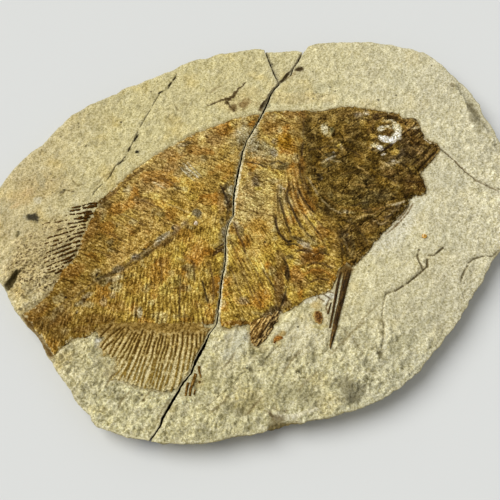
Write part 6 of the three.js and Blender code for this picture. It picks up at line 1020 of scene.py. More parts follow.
# ------------------------------------------------------------------ materials
def surface(name, grain=1050.0, fine=2600.0, dark=(0.7, 0.68, 0.6), light=(1.2, 1.2, 1.2), bump=0.6, depth=0.0003, rough=(0.7, 0.9), spec=0.3, coat=0.0):
    """colour painted on the mesh, broken up by two sizes of procedural grain, with the same grain as bump"""
    m = bpy.data.materials.new(name)
    m.use_nodes = True
    nt = m.node_tree
    N, L = nt.nodes, nt.links
    bsdf = N["Principled BSDF"]
    att = N.new("ShaderNodeVertexColor")
    att.layer_name = "Col"
    tex = N.new("ShaderNodeTexCoord")
    n1, n2 = N.new("ShaderNodeTexNoise"), N.new("ShaderNodeTexNoise")
    for n, s in ((n1, grain), (n2, fine)):
        n.inputs["Scale"].default_value = s
        n.inputs["Detail"].default_value = 2.0
        n.inputs["Roughness"].default_value = 0.6
        L.new(tex.outputs["Object"], n.inputs["Vector"])
    add = N.new("ShaderNodeMath")
    add.operation = "MULTIPLY_ADD"
    L.new(n2.outputs["Fac"], add.inputs[0])
    add.inputs[1].default_value = 0.5
    L.new(n1.outputs["Fac"], add.inputs[2])
    ramp = N.new("ShaderNodeValToRGB")
    ramp.color_ramp.elements[0].position = 0.60
    ramp.color_ramp.elements[0].color = (*[0.5 * v for v in dark], 1)
    ramp.color_ramp.elements[1].position = 0.90
    ramp.color_ramp.elements[1].color = (*[0.5 * v for v in light], 1)
    mid = ramp.color_ramp.elements.new(0.75)
    mid.color = (0.5, 0.5, 0.5, 1)
    L.new(add.outputs[0], ramp.inputs["Fac"])
    mul = N.new("ShaderNodeVectorMath")
    mul.operation = "MULTIPLY"
    L.new(att.outputs["Color"], mul.inputs[0])
    L.new(ramp.outputs["Color"], mul.inputs[1])
    two = N.new("ShaderNodeVectorMath")
    two.operation = "SCALE"
    two.inputs["Scale"].default_value = 2.0
    L.new(mul.outputs["Vector"], two.inputs[0])
    L.new(two.outputs["Vector"], bsdf.inputs["Base Color"])
    r = N.new("ShaderNodeMapRange")
    r.inputs["From Min"].default_value = 0.35
    r.inputs["From Max"].default_value = 0.65
    r.inputs["To Min"].default_value = rough[0]
    r.inputs["To Max"].default_value = rough[1]
    L.new(n1.outputs["Fac"], r.inputs["Value"])
    L.new(r.outputs["Result"], bsdf.inputs["Roughness"])
    b = N.new("ShaderNodeBump")
    b.inputs["Strength"].default_value = bump
    b.inputs["Distance"].default_value = depth
    L.new(add.outputs[0], b.inputs["Height"])
    L.new(b.outputs["Normal"], bsdf.inputs["Normal"])
    bsdf.inputs["Specular IOR Level"].default_value = spec
    if coat:
        bsdf.inputs["Coat Weight"].default_value = coat
        bsdf.inputs["Coat Roughness"].default_value = 0.25
    return m


STONE = surface("limestone_matt", 1050.0, 2600.0, (0.68, 0.65, 0.52), (1.24, 1.26, 1.36), 1.0, 0.0006, (0.85, 0.97), 0.04)
SCALES = surface("scaled_trunk_bone", 1100.0, 2700.0, (0.46, 0.38, 0.2), (1.6, 1.66, 2.1), 0.8, 0.0004, (0.6, 0.85), 0.02)
BONE = surface("skull_bone_brown", 1050.0, 2600.0, (0.40, 0.34, 0.16), (1.7, 1.75, 2.2), 1.0, 0.0005, (0.5, 0.78), 0.04)
RAYS = surface("fin_ray_bone", 1150.0, 2700.0, (0.5, 0.44, 0.28), (1.4, 1.42, 1.6), 0.8, 0.0004, (0.6, 0.82), 0.02)
DARK = surface("dark_ray_bone", 1200.0, 3000.0, (0.5, 0.42, 0.28), (1.55, 1.5, 1.5), 0.6, 0.0003, (0.5, 0.72), 0.03)
SPINE = surface("spine_bone_glossy", 1200.0, 3400.0, (0.6, 0.52, 0.4), (1.45, 1.4, 1.35), 0.4, 0.00015, (0.34, 0.5), 0.1)
CHIP = surface("bone_chip_brown", 1200.0, 3000.0, (0.55, 0.48, 0.35), (1.45, 1.45, 1.5), 0.6, 0.0003, (0.45, 0.65), 0.06)
AMBER = surface("amber_bead", 700.0, 2400.0, (0.85, 0.8, 0.7), (1.12, 1.12, 1.12), 0.15, 0.00006, (0.2, 0.3), 0.3, 0.4)

# ------------------------------------------------------------------ limestone
LAYOUT = {
    "slab_rear_half": ["trunk_rear", "anal_fin"],
    "slab_front_half": ["trunk_front", "skull", "pelvic_fin"],
    "slab_top_wedge": [],
}
FLUSH = {
    "slab_rear_half": ["trunk_rear", "anal_fin"],
    "slab_front_half": [k for k in SHAPES if k not in ("trunk_rear", "anal_fin")],
    "slab_top_wedge": [],
}
NOTCH_P = np.array(NOTCH, float)
BEVEL_Y = (19.0, 17.0, -47.0, 16.0)  # the two bevelled stretches of the break: middle and half length


def fish_depth(P, names):
    """how far each point lies inside the fish's pieces (0 outside)"""
    d = np.zeros(len(P))
    for n in names:
        s = np.array(SHAPES[n], float)
        m = inside(P, s)
        k = np.nonzero(m)[0]
        if len(k):
            dd, _, _ = near(P[k], s, 4.0, closed=True)
            d[k] = np.maximum(d[k], dd)
    return d


def creases(x, y):
    """short crisp steps where flakes have lifted, 0..1"""
    out = np.zeros(len(x))
    for k, (scale, lean) in enumerate(((7.0, 0.6), (4.2, 0.4))):
        n = noise2(x + lean * y, y, scale, 171 + k) + 0.35 * noise2(x, y, 2.2, 173 + k)
        on = smooth(0.0, 0.3, noise2(x, y, 6.0, 175 + k))
        out = np.maximum(out, on * smooth(-0.03, 0.03, n) * (1 - smooth(0.05, 0.3, n)))
    return out


def stone_relief(P, name, seed):
    x, y = P[:, 0], P[:, 1]
    h = 0.22 * fbm(x, y, 40, 2, seed) + 0.12 * fbm(x, y, 12, 2, seed + 3)
    # thin flakes left on the bedding plane, commonest low down and at the far right
    rough = 0.22 + 0.78 * smooth(-38, -84, y + 0.16 * (x - 20)) + 0.2 * smooth(95, 140, x)
    if name == "slab_rear_half":
        rough = np.maximum(rough, 0.7 * smooth(-62, -80, y))
    rough = np.clip(rough, 0, 1)
    t = (0.85 * x - 0.5 * y) / 11.0 + 5.0 * fbm(x, y, 16, 3, 77) + 0.9 * fbm(x, y, 3.5, 2, 78)
    f = t - np.floor(t)
    h += 1.35 * rough * (smooth(0.0, 0.12, f) - f) * smooth(-0.35, 0.15, noise2(x, y, 12, 79))
    t2 = (0.9 * x - 0.35 * y) / 5.0 + 4.0 * fbm(x, y, 8, 3, 87) + 0.8 * fbm(x, y, 2.4, 2, 88)
    f2 = t2 - np.floor(t2)
    h += 0.85 * rough * (smooth(0.0, 0.16, f2) - f2) * smooth(-0.2, 0.3, noise2(x, y, 8, 89))
    h += rough * (0.9 * noise2(x, y, 10, 55) + 0.65 * noise2(x, y, 6.0, 56))
    # grain, pits and small knobs
    g = 0.85 + 1.25 * rough
    h += g * (0.34 * noise2(x, y, 5.0, 59) + 0.3 * drawn_out(x, y, 60, 4.6, 2.6, 60) + 0.2 * noise2(x, y, 1.9, 61) + 0.11 * noise2(x, y, 1.25, 62))
    h += 0.4 * rough * drawn_out(x, y, 66, 4.0, 1.7, 57)
    h -= creases(x, y) * rough * 0.6
    # crumpled between: round swells meeting in sharp hollows
    wx, wy = x + 1.2 * noise2(x, y, 7.0, 183), y + 1.2 * noise2(x, y, 7.0, 184)
    h += rough * (1.1 * np.abs(noise2(wx + 0.5 * wy, wy, 5.6, 181)) + 0.45 * np.abs(noise2(wx, wy, 3.0, 182)) - 0.42)
    f1, f2, idn = cells(x, y, 2.3, 66)
    h += 0.1 * g * (smooth(0.0, 0.5, f2 - f1) - 0.5)
    f1, _, idn = cells(x, y, 4.4, 63)
    h -= 0.3 * (idn < 0.05) * (1 - smooth(0.04, 0.15, f1))
    h += 0.22 * (idn > 0.88) * (1 - smooth(0.05, 0.2, f1))
    # the small chip bruised out of the rear edge, and lines
    if name == "slab_rear_half":
        d, _, _ = near(P, NOTCH_P, 3.0, closed=True)
        ins = inside(P, NOTCH_P)
        h -= np.where(ins, 0.5 + 1.6 * smooth(0, 1.4, d), 0.5 * (1 - smooth(0, 0.7, d)))
        d, t, _ = near(P, NOTCH_LINE, 2.0)
        h -= 0.35 * (1 - smooth(0.1, 0.8, d)) * (1 - 0.7 * t)
        d, t, _ = near(P, HAIR, 2.0)
        w = 0.16 + 0.12 * noise2(t * 60, t * 0, 3.0, 5)
        h -= 0.55 * (1 - smooth(w, w + 0.3, d)) * smooth(-0.6, 0.1, noise2(t * 90, t * 0, 4.0, 6))
    if name == "slab_front_half":  # the bed falls away beyond a ragged lip near the upper right edge
        Q = P + np.column_stack([1.3 * noise2(x, y, 7.0, 91) + 0.5 * noise2(x, y, 2.0, 92), 1.3 * noise2(x, y, 7.0, 93) + 0.5 * noise2(x, y, 2.0, 94)])
        d, t, s = near(Q, BEVEL, 9.0)
        h -= 1.1 * smooth(0, 1.4, np.where(s > 0, d, 0)) * (1 - smooth(6.0, 9.0, d)) * smooth(0, 0.12, t) * smooth(0, 0.1, 1 - t)
    for line, half, c, k in STROKES_STONE:
        d, _, _ = near(P, line, 3.0)
        h += k * (0.25 if sum(c) > 450 else -0.4) * (1 - smooth(0.3 * half, 0.3 * half + 0.7, d))
    if name != "slab_top_wedge":
        for k, line in enumerate(STONE_CRACKS):
            d, t, s = near(P, line, 3.0)
            w = (0.3 if k in (1, 2, 3) else 0.14) + 0.14 * noise2(t * 50, t * 0, 3.0, 15 + k)
            deep = 0.8 if k in (1, 2, 3) else 0.35
            h -= deep * (1 - smooth(w, w + 0.34, d)) * smooth(-0.7, 0.0, noise2(t * 70, t * 0, 4.0, 25 + k))
            if k in (2, 3, 4):  # one lip stands a little higher than the other
                h += 0.4 * (1 - smooth(0.3, 3.2, d)) * np.where(s > 0, 1.0, -0.5) * smooth(0, 0.1, t) * smooth(0, 0.1, 1 - t)
    return h


def stone_tint(P, h, name, seed):
    x, y = P[:, 0], P[:, 1]
    rng = np.random.default_rng(900 + seed)
    right, low, left = smooth(-30, 140, x), smooth(-30, -112, y), smooth(-70, -140, x)
    c = np.tile(rgb(214, 203, 152), (len(P), 1))
    # broad gradient across the plate: paler and bluer to the right, darker towards the bottom (less so at the lower
    # left) and at the lower right, a little darker at the far left; partly the stone's own tone, partly painted light
    # and shade falling across the plate
    c += right[:, None] * rgb(5, 9, 27) - low[:, None] * rgb(19, 15, 7) + (low * (1 - smooth(-50, 20, x)))[:, None] * rgb(12, 12, 13) - (smooth(0, -50, y) * smooth(50, 110, x))[:, None] * rgb(10, 10, 9) - left[:, None] * rgb(6, 10, 6)
    # broad stains
    c += fbm(x, y, 30, 3, 101)[:, None] * rgb(11, 11, 8)
    warm = smooth(0.1, 0.5, fbm(x, y, 20, 3, 111)) * (1 - 0.7 * right)
    c = mix(c, c * np.array([1.01, 0.965, 0.84]), 0.6 * warm)
    grey = smooth(0.1, 0.5, fbm(x, y, 15, 3, 121))
    c = mix(c, c * np.array([0.96, 0.955, 0.955]), 0.6 * grey)
    pale = smooth(0.1, 0.45, fbm(x, y, 7.5, 3, 131))
    c = mix(c, np.array(rgb(224, 216, 178)), 0.3 * pale)
    # mottling, with yellower darks
    T = unit(0.42 * unit(fbm(x, y, 5.0, 3, 141)) + 0.45 * unit(drawn_out(x, y, 62, 3.6, 1.3, 142)) + 0.5 * unit(noise2(x, y, 1.1, 143)) + 0.5 * rng.normal(size=len(P)))
    amp = 1.0 - 0.15 * low
    up, dn = np.clip(T, 0, 2.6), np.clip(-T, 0, 2.6)
    c = c * (1 + (0.036 * amp * up)[:, None] * np.array([1.0, 1.0, 1.15]) - (0.044 * amp * dn)[:, None] * np.array([0.92, 1.0, 1.5]))
    # painted shade and highlight from the relief: hollows of the flaked zone are painted darker and greyer, edges of
    # flakes paler
    c = c * (1 + np.clip(0.13 * (h - 0.02), -0.17, 0.11))[:, None]
    f1, _, idn = cells(x, y, 4.4, 63)
    pit = (idn < 0.05) * (1 - smooth(0.05, 0.14, f1))
    c = mix(c, rgb(96, 86, 56), 0.75 * pit)
    f1, _, idn = cells(x, y, 3.3, 65)
    speck = (idn < 0.035) * (1 - smooth(0.06, 0.15, f1))
    c = mix(c, rgb(104, 92, 58), 0.65 * speck)
    # fine dark specks crowded in a few places, most of all behind the dorsal fin
    for k, (sx, sy, wx, wy) in enumerate(SPECKLED):
        zone = 1 - smooth(0.5, 1.2, np.hypot((x - sx) / wx, (y - sy) / wy) + 0.3 * noise2(x, y, 9, 151 + k))
        f1, _, idn = cells(x, y, 1.7, 67)
        c = mix(c, rgb(88, 68, 34), 0.85 * zone * (idn < (0.34 if k == 0 else 0.2)) * (1 - smooth(0.1, 0.32, f1)))
        c = mix(c, c * np.array([0.97, 0.93, 0.86]), 0.6 * zone)
        if k == 0:
            c = mix(c, rgb(66, 46, 20), 0.95 * zone * dashes(x, y, 18, 2.6, 1.0, 152, 0.42))
    rough = np.clip(0.2 + 0.8 * smooth(-38, -84, y + 0.16 * (x - 20)) + 0.4 * smooth(95, 140, x), 0, 1)
    c = c * (1 + 0.06 * rough * rng.normal(size=len(P)) + 0.02 * rough * unit(noise2(x, y, 1.7, 178)))[:, None]
    # painted shade: the creases where flakes have lifted are darkened
    e = creases(x, y) * rough
    c = mix(c, c * np.array([0.8, 0.78, 0.68]), 0.75 * e)
    c = mix(c, rgb(236, 229, 198), 0.3 * rough * smooth(0.1, 0.5, noise2(x, y, 4.0, 177)))
    f1, _, idn = cells(x, y, 2.1, 68)
    c = mix(c, rgb(112, 100, 66), 0.55 * rough * (idn < 0.1) * (1 - smooth(0.1, 0.28, f1)))
    c = mix(c, rgb(238, 232, 204), 0.5 * rough * (idn > 0.88) * (1 - smooth(0.1, 0.3, f1)))
    paint(c, P, MARKS_STONE)
    stroke(c, P, STROKES_STONE)
    # painted shade: along the parting's dark, gaping far stretch both lips are darkened, standing in for the shadow in
    # the gap
    d, t, _ = near(P, GAPE, 4.0)
    w = 0.55 + 0.35 * noise2(x, y, 3.0, 161) + 0.35 * smooth(0.25, 0.5, t)
    c = mix(c, rgb(48, 37, 18), 0.92 * (1 - smooth(w, w + 0.4, d)))
    return c


def crack_tint(c, P, name):
    x, y = P[:, 0], P[:, 1]
    if name == "slab_rear_half":
        d, t, _ = near(P, HAIR, 2.0)
        on = smooth(-0.5, 0.2, noise2(t * 90, t * 0, 4.0, 6))
        c = mix(c, rgb(66, 58, 34), 0.85 * (1 - smooth(0.12, 0.5, d)) * on)
        for k, line in enumerate(DENDRITES):
            Q = P + np.column_stack([0.8 * noise2(x, y, 3.0, 18) + 0.45 * noise2(x, y, 1.1, 19), 0.8 * noise2(x, y, 3.0, 20) + 0.45 * noise2(x, y, 1.1, 21)])
            d, t, _ = near(Q, line, 2.5)
            w = (0.34 if k else 0.3 + 0.65 * np.exp(-(((t - 0.55) / 0.22) ** 2))) * (1 + 0.5 * noise2(x, y, 1.3, 8))
            c = mix(c, rgb(70, 52, 26), 0.85 * (1 - smooth(w, w + 0.4, d)))
        d, _, _ = near(P, NOTCH_P, 3.0, closed=True)
        ins = inside(P, NOTCH_P)
        c = mix(c, rgb(64, 54, 26), np.where(ins, 0.85, 0.5 * (1 - smooth(0, 0.6, d))))
        d, t, _ = near(P, NOTCH_LINE, 2.0)
        c = mix(c, rgb(120, 104, 62), 0.75 * (1 - smooth(0.1, 0.8, d)) * (1 - 0.6 * t))
        # manganese smudge among the fin rays
        sx, sy = SMUDGE_AT
        d = np.hypot((x - sx) / 4.9, (y - sy) / 4.0) + 0.45 * noise2(x, y, 3.0, 31) + 0.25 * noise2(x, y, 1.2, 32)
        c = mix(c, rgb(46, 42, 32), 0.85 * (1 - smooth(0.35, 1.05, d)))
    if name != "slab_top_wedge":
        for k, line in enumerate(STONE_CRACKS):
            d, t, s_of = near(P, line, 3.0)
            on = smooth(-0.7, 0.0, noise2(t * 70, t * 0, 4.0, 25 + k))
            gape = (1 - smooth(0.5, 0.62, t)) * (k == 2) + (k == 1) * 0.8 + 0.55 * (k == 3)
            w = 0.08 + 0.28 * gape + 0.2 * noise2(t * 50, t * 0, 3.0, 15 + k)
            c = mix(c, rgb(92, 80, 50), (0.45 + 0.4 * gape) * (1 - smooth(w, w + 0.4, d)) * on)
            if k == 2:  # lit flank of the raised lip
                c = mix(c, rgb(232, 226, 196), 0.5 * smooth(0.45, 0.6, t) * np.exp(-(((d - 1.3) / 0.7) ** 2)) * (s_of > 0))
    return c


def wall_tint(V, z_top, seed):
    x, y, z = V[:, 0], V[:, 1], V[:, 2]
    bed = z + 0.7 * noise2(x, y, 26, 201) + 0.25 * noise2(x, y, 7, 202)
    lam = unit(noise2(bed, 0 * bed, 0.9, 203) + 0.7 * noise2(bed, 0 * bed, 2.3, 204))
    T = unit(fbm3(x, y, z * 1.6, 7, 3, 205)) * 0.7 + 0.5 * unit(noise3(x, y, z, 1.2, 206))
    # painted shade: the side walls start from a darker tone than the top of the same stone
    c = np.tile(rgb(172, 160, 118), (len(V), 1))
    c = c * (1 + 0.07 * lam + 0.085 * T)[:, None]
    c = mix(c, rgb(206, 198, 160), 0.5 * smooth(0.8, 1.8, T))
    c = mix(c, rgb(112, 98, 62), 0.5 * smooth(0.9, 2.0, -T))
    # painted shade: the wall in the nook is darkened, as the shadow under the overhanging flake
    nx, ny = NOOK_AT
    nook = 1 - smooth(9.0, 12.0, np.hypot(x - nx, y - ny))
    c = mix(c, c * np.array([0.86, 0.82, 0.72]) * (1 + 0.1 * unit(noise2(x, 0 * x, 1.1, 207)))[:, None], 0.9 * nook)
    return c


def slide(v, k):
    """moving average round a ring"""
    if k < 1:
        return v
    out = np.zeros_like(v, dtype=float)
    for j in range(-k, k + 1):
        out += np.roll(v, j, 0)
    return out / (2 * k + 1)


def plate(name, z_top, seed, spacing=0.62):
    rng = np.random.default_rng(seed)
    ring = resample(np.array(PLATES[name], float), 0.72)
    base, up, low, brk = warp(ring[:, :2]), ring[:, 2], ring[:, 3], ring[:, 4]
    n = len(base)
    brk = slide(np.round(brk), 1)
    sharp, soft = inward(slide(base, 1)), inward(slide(base, 5))
    N = sharp * brk[:, None] + soft * (1 - brk)[:, None]
    N = slide(N, 2)
    N /= np.hypot(*N.T)[:, None]
    s = np.arange(n) * 0.72
    bx, by = base.T
    # broken arris: how far it is knocked back along the edge
    a = up * (0.75 + 0.55 * noise2(bx, by, 7.0, 301) + 0.3 * noise2(bx, by, 2.2, 302))
    chip = smooth(0.32, 0.6, noise2(bx, by, 7.0, 303))
    a += 0.55 * chip * (1 - brk)
    a = np.where(brk > 0.5, np.clip(0.28 + 0.3 * noise2(bx, by, 4.0, 304) + 0.2 * noise2(bx, by, 1.5, 305), 0.08, 0.62), np.clip(a, 0.3, 6.0))
    a = np.where(brk > 0.5, a + 0.42 * smooth(52, 70, by) + 0.2 * (1 - smooth(-86, -70, by)), a)
    if name == "slab_front_half":  # the front half's break edge is bevelled in two stretches
        d1 = np.exp(-(((by - BEVEL_Y[0]) / BEVEL_Y[1]) ** 4)) + np.exp(-(((by - BEVEL_Y[2]) / BEVEL_Y[3]) ** 4))
        a = np.where(brk > 0.5, a + 0.55 * np.clip(d1, 0, 1), a)
    a = slide(a, 1)
    corner = np.abs(np.roll(brk, 3) - np.roll(brk, -3)) > 0.5
    for _ in range(60):  # no fold where the ring is drawn in
        q = base + N * a[:, None]
        e0, e1 = np.roll(base, -1, 0) - base, np.roll(q, -1, 0) - q
        bad = (e0 * e1).sum(1) < 0.25 * (e0 * e0).sum(1)
        bad |= np.roll(bad, 1) | np.roll(bad, -1) | (corner & (a > 0.5))
        if not bad.any():
            break
        a = np.where(bad, a * 0.85, a)
    drop = np.clip(0.6 * a * (1 + 0.4 * noise2(bx, by, 5.0, 306)), 0.12, 1.6)

    top_ring = base + N * a[:, None]
    names = LAYOUT[name]
    under = [np.array(SHAPES[k], float) for k in names]

    def hidden(P):
        return fish_depth(P, names) > 1.6

    extra = []
    if name == "slab_rear_half":
        for line, w in [(HAIR, 0.2), (NOTCH_LINE, 0.4)]:
            q = resample(np.array(line, float), 0.3, False)
            t = np.gradient(q, axis=0)
            t /= np.hypot(*t.T)[:, None]
            nn = np.column_stack([-t[:, 1], t[:, 0]])
            extra += [q, q + nn * (w + 0.22), q - nn * (w + 0.22)]
    if name != "slab_top_wedge":
        for line in STONE_CRACKS:
            q = resample(np.array(line, float), 0.3, False)
            t = np.gradient(q, axis=0)
            t /= np.hypot(*t.T)[:, None]
            nn = np.column_stack([-t[:, 1], t[:, 0]])
            extra += [q, q + nn * 0.4, q - nn * 0.4]
    extra = np.vstack(extra) if extra else None
    pts, tri = triangulate(top_ring, spacing, rng, coarse=hidden if names else None, extra=extra)
    depth = fish_depth(pts, names) if names else np.zeros(len(pts))
    h = stone_relief(pts, name, seed)
    rim, _, _ = near(pts, top_ring, 3.0, closed=True)
    h *= 0.35 + 0.65 * smooth(0.0, 2.5, rim)
    for k in FLUSH[name]:
        o = np.array(SHAPES[k], float)
        d, _, _ = near(pts, o, 3.0, closed=True)
        d = np.where(inside(pts, o), 0.0, d)
        h = mix(h, np.minimum(h, -0.03), 1 - smooth(0.5, 2.2, d))
    near_fish = smooth(0.0, 1.0, depth)
    h = h * (1 - near_fish) - 0.42 * near_fish
    if name == "slab_front_half":  # nothing is changed here
        pass
    top = np.column_stack([pts, z_top + h])
    c_top = crack_tint(stone_tint(pts, h, name, seed), pts, name)
    if names:
        dd = np.full(len(pts), 9.0)
        for u in under:
            d, _, _ = near(pts, u, 5.0, closed=True)
            dd = np.minimum(dd, d)
        dirt = (1 - smooth(0.2, 1.6 + 1.2 * noise2(pts[:, 0], pts[:, 1], 4.0, 401), dd)) * (0.55 + 0.45 * noise2(pts[:, 0], pts[:, 1], 2.2, 402))
        c_top = mix(c_top, rgb(120, 100, 58), np.clip(0.6 * dirt, 0, 0.7))
    # painted shadow: a darker band along the wedge's left edge, cast by the higher rear half beside it
    if name == "slab_top_wedge":
        d, _, _ = near(pts, WEDGE_LEFT, 6.0)
        c_top = mix(c_top, rgb(138, 126, 88), 0.75 * (1 - smooth(0.6, 2.6, d + 0.6 * noise2(pts[:, 0], pts[:, 1], 2.0, 405))))
    # a paler, freshly broken rim
    fresh = (1 - smooth(0.2, 1.5, rim + 0.6 * noise2(pts[:, 0], pts[:, 1], 1.6, 403)))
    c_top = mix(c_top, rgb(214, 206, 168), 0.35 * fresh)

    # side wall
    rings, cols = [], []
    V = [top]
    z_in = top[:n, 2]
    for f, g in ((0.66, 0.2), (0.42, 0.55)):
        p = base + N * (a * f)[:, None]
        rings.append(np.column_stack([p, z_in * (1 - g) + (z_top - drop) * g]))
    z_shoulder = z_top - drop
    belly = 0.5 * z_top
    levels = 8
    for k in range(levels + 1):
        u = k / levels
        z = z_shoulder * (1 - u) + belly * u
        p = base + N * (0.3 * a * (1 - u) + 0.42 * low * u)[:, None]
        rings.append(np.column_stack([p, z]))
    for zz in (0.36, 0.23, 0.12, 0.035, 0.0):
        p = base + N * (low * (1 - 0.58 * zz / 0.5) + (0.5 if zz == 0 else 0.0))[:, None]
        rings.append(np.column_stack([p, np.full(n, zz * z_top)]))
    out_amp = 1 - brk
    # where the break meets the near edge the foot of the break follows the undercut
    edge_live = (brk < 0.5) & (low > 1.5) & (by < -60)
    if edge_live.any():
        away = np.array([0.48, 0.87])
        for k in range(2, len(rings)):
            q = rings[k][:, :2]
            z = rings[k][0, 2]
            share = np.clip((z_top - z) / (0.62 * z_top), 0, 1)
            d, _, _ = near(q, base, 9.0, closed=True, live=edge_live & np.roll(edge_live, -1))
            need = 3.6 * share
            lack = np.where((brk > 0.05) & (by < -60), np.clip(need - d, 0, None), 0)
            outside = ~inside(q, base)
            lack = np.where(outside & (brk > 0.05) & (by < -60), need + np.where(d < 9, d, 0), lack)
            rings[k][:, :2] += away * slide(lack, 1)[:, None] / 0.85
    for k, R in enumerate(rings):
        x, y, z = R.T
        inside_top = smooth(0.0, 1.6, z_top - drop - z + 0.25)
        bed = z + 0.7 * noise2(x, y, 26, 201) + 0.25 * noise2(x, y, 7, 202)
        ledge = noise2(np.floor(bed / 1.7) * 7.3 + 0 * x, 0 * x, 1.0, 210) * 0.45 + 0.35 * noise2(bed, 0 * bed, 1.3, 211)
        shard = fbm3(x, y, z * 0.7, 8.0, 3, 212)
        nick = noise3(x, y, z, 1.6, 213)
        push = (0.55 * shard + 0.38 * ledge + 0.16 * nick) * inside_top
        foot = smooth(0.0, 0.9, z) * 0.8 + 0.2
        push_out = push * foot * out_amp
        push_in = -np.abs(0.35 * shard + 0.3 * ledge + 0.12 * nick) * inside_top * brk
        R[:, :2] -= N * (push_out + push_in)[:, None]
        if k >= 2 and 0 < R[0, 2]:
            R[:, 2] += 0.12 * noise3(x, y, z, 2.0, 214) * foot * smooth(0, 1, z)
        cols.append(wall_tint(R, z_top, seed))
    for k in (0, 1, 2):  # the arris takes the top's colour
        t = (0.2, 0.4, 0.7)[k]
        cols[k] = mix(mix(c_top[:n], rgb(208, 200, 160), 0.4), cols[k], np.full(n, t))
    if name == "slab_front_half":
        for k in range(0, 5):
            cream = np.clip(d1, 0, 1) * (brk > 0.5)
            cols[k] = mix(cols[k], rgb(222, 212, 170), 0.75 * cream)
    for k in range(1, len(cols)):  # painted shade: the walls inside the parting are darkened
        cols[k] = mix(cols[k], rgb(52, 42, 22), brk * (0.5 if k == 1 else 0.9) * (1 - (np.clip(d1, 0, 1) * (k < 5) if name == "slab_front_half" else 0)))
    V += rings
    F = [tri]
    starts = [0] + [len(top) + k * n for k in range(len(rings))]
    for k in range(len(rings)):
        F.append(band(n, starts[k], starts[k + 1]))
    # underside
    low_ring = rings[-1][:, :2]
    bp, bt = triangulate(low_ring, 2.2, rng)
    bz = 0.28 * np.clip(0.35 + fbm(bp[:, 0], bp[:, 1], 14, 3, 501) + 0.4 * noise2(bp[:, 0], bp[:, 1], 4.5, 502), 0, 1.2)
    br, _, _ = near(bp, low_ring, 3.0, closed=True)
    bz *= smooth(0.2, 2.5, br)
    bz[:n] = 0
    last = starts[-1]
    m = len(V[0]) + sum(len(r) for r in rings)
    idx = np.concatenate([np.arange(last, last + n), np.arange(m, m + len(bp) - n)])
    F.append(idx[bt][:, ::-1])
    V.append(np.column_stack([bp[n:], bz[n:]]))
    bc = stone_tint(bp[n:], bz[n:] * 0, "underside", seed) * np.array([0.9, 0.89, 0.86])
    V, F = np.vstack(V), np.vstack(F)
    C = np.vstack([c_top] + cols + [bc])
    return make("stone_" + name[5:], V, F, C, STONE, name)


# ------------------------------------------------------------------ fish
DARKBONE, CREAM, GOLD = rgb(52, 38, 17), rgb(222, 206, 156), rgb(178, 136, 52)


def layer_mesh(node, z0, spacing, height, colour, material, seed, wander=1.0, sink=0.3, ragged=0.0, joins=()):
    """a pressed layer of bone: closed height field with a skirt let into the stone.
    Along the break and where it joins another piece (joins) its margin stays whole."""
    rng = np.random.default_rng(seed)
    ring = resample(ccw(np.array(SHAPES[node], float)), spacing)
    kept = np.zeros(len(ring), bool)
    d, _, _ = near(ring, BREAK, 2.6)
    kept |= d < 2.5
    joint = np.zeros(len(ring), bool)
    for other in joins:
        o = np.array(SHAPES[other], float)
        d, _, _ = near(ring, o, 3.0, closed=True)
        joint |= (d < 2.7) & inside(ring, o) | (d < 0.9)
    ring = warp(ring, wander)
    if ragged:
        x, y = ring.T
        w = ragged * (1 - slide((kept | joint).astype(float), 3))
        N = inward(slide(ring, 4))
        r = 0.55 * noise2(x, y, 3.6, 811) + 0.6 * noise2(x, y, 1.5, 812) + 0.45 * noise2(x, y, 0.8, 813)
        ring = ring + N * (w * (r + 0.1))[:, None]
    n = len(ring)
    pts, tri = triangulate(ring, spacing, rng)
    free = ~(joint & np.roll(joint, -1))
    d, _, _ = near(pts, ring, 6.0, closed=True, live=free)
    dj, _, _ = near(pts, ring, 9.0, closed=True, live=~free)
    h = np.maximum(height(pts, d), 0.05)
    top = np.column_stack([pts, z0 + h])
    col = colour(pts, d, h, dj)
    low = np.column_stack([ring, np.full(n, z0 - sink)])
    bp, bt = triangulate(ring, max(3.0, 6 * spacing), rng)
    m = len(top) + n
    idx = np.concatenate([len(top) + np.arange(n), m + np.arange(len(bp) - n)])
    F = np.vstack([tri, band(n, 0, len(top)), idx[bt][:, ::-1]])
    V = np.vstack([top, low, np.column_stack([bp[n:], np.full(len(bp) - n, z0 - sink)])])
    # painted shade: the sunken skirt and the bottom take the top's colour darkened to 0.7
    C = np.vstack([col, col[:n] * 0.7, np.tile(col[:n].mean(0) * 0.7, (len(bp) - n, 1))])
    return make("fish_" + node, V, F, C, material, node)


def dome(d, w):
    return np.sqrt(np.clip(1 - (1 - np.clip(d / w, 0, 1)) ** 2, 0, 1))


def scale_rows(x, y, degrees, pitch, seed):
    """overlapping scales in rows: a soft step at each free edge"""
    a = math.radians(degrees)
    u, v = x * math.cos(a) + y * math.sin(a), -x * math.sin(a) + y * math.cos(a)
    u = u + 0.5 * noise2(x, y, 6.0, seed)
    v = v + 0.5 * noise2(x, y, 6.0, seed + 1)
    row = np.floor(v / pitch)
    u = u + 0.5 * pitch * (row % 2)
    fu, fv = u / pitch - np.floor(u / pitch) - 0.5, v / pitch - row - 0.5
    return 1 - smooth(0.28, 0.52, np.hypot(fu, fv))


def mid_y(x):
    return np.interp(x, *np.array(sorted(MIDLINE)).T)


def stripes(P):
    """fine upright supports of the anal fin: phase -1..1 and how strongly they show"""
    x, y = P.T
    zone = smooth(-78, -62, x + 0.2 * (y + 50)) * (1 - smooth(-24, -17, x)) * smooth(-14, -52, y + 0.25 * (x + 45)) * (y < mid_y(x) - 4)
    lean = x + (0.03 + 0.0055 * (x + 50)) * (y + 50) + 0.45 * noise2(x, y, 6.0, 651)
    s = np.cos(lean * (2 * math.pi / 2.25))
    return s, zone * np.clip(0.65 + 0.6 * noise2(x, y, 4.0, 652), 0, 1)


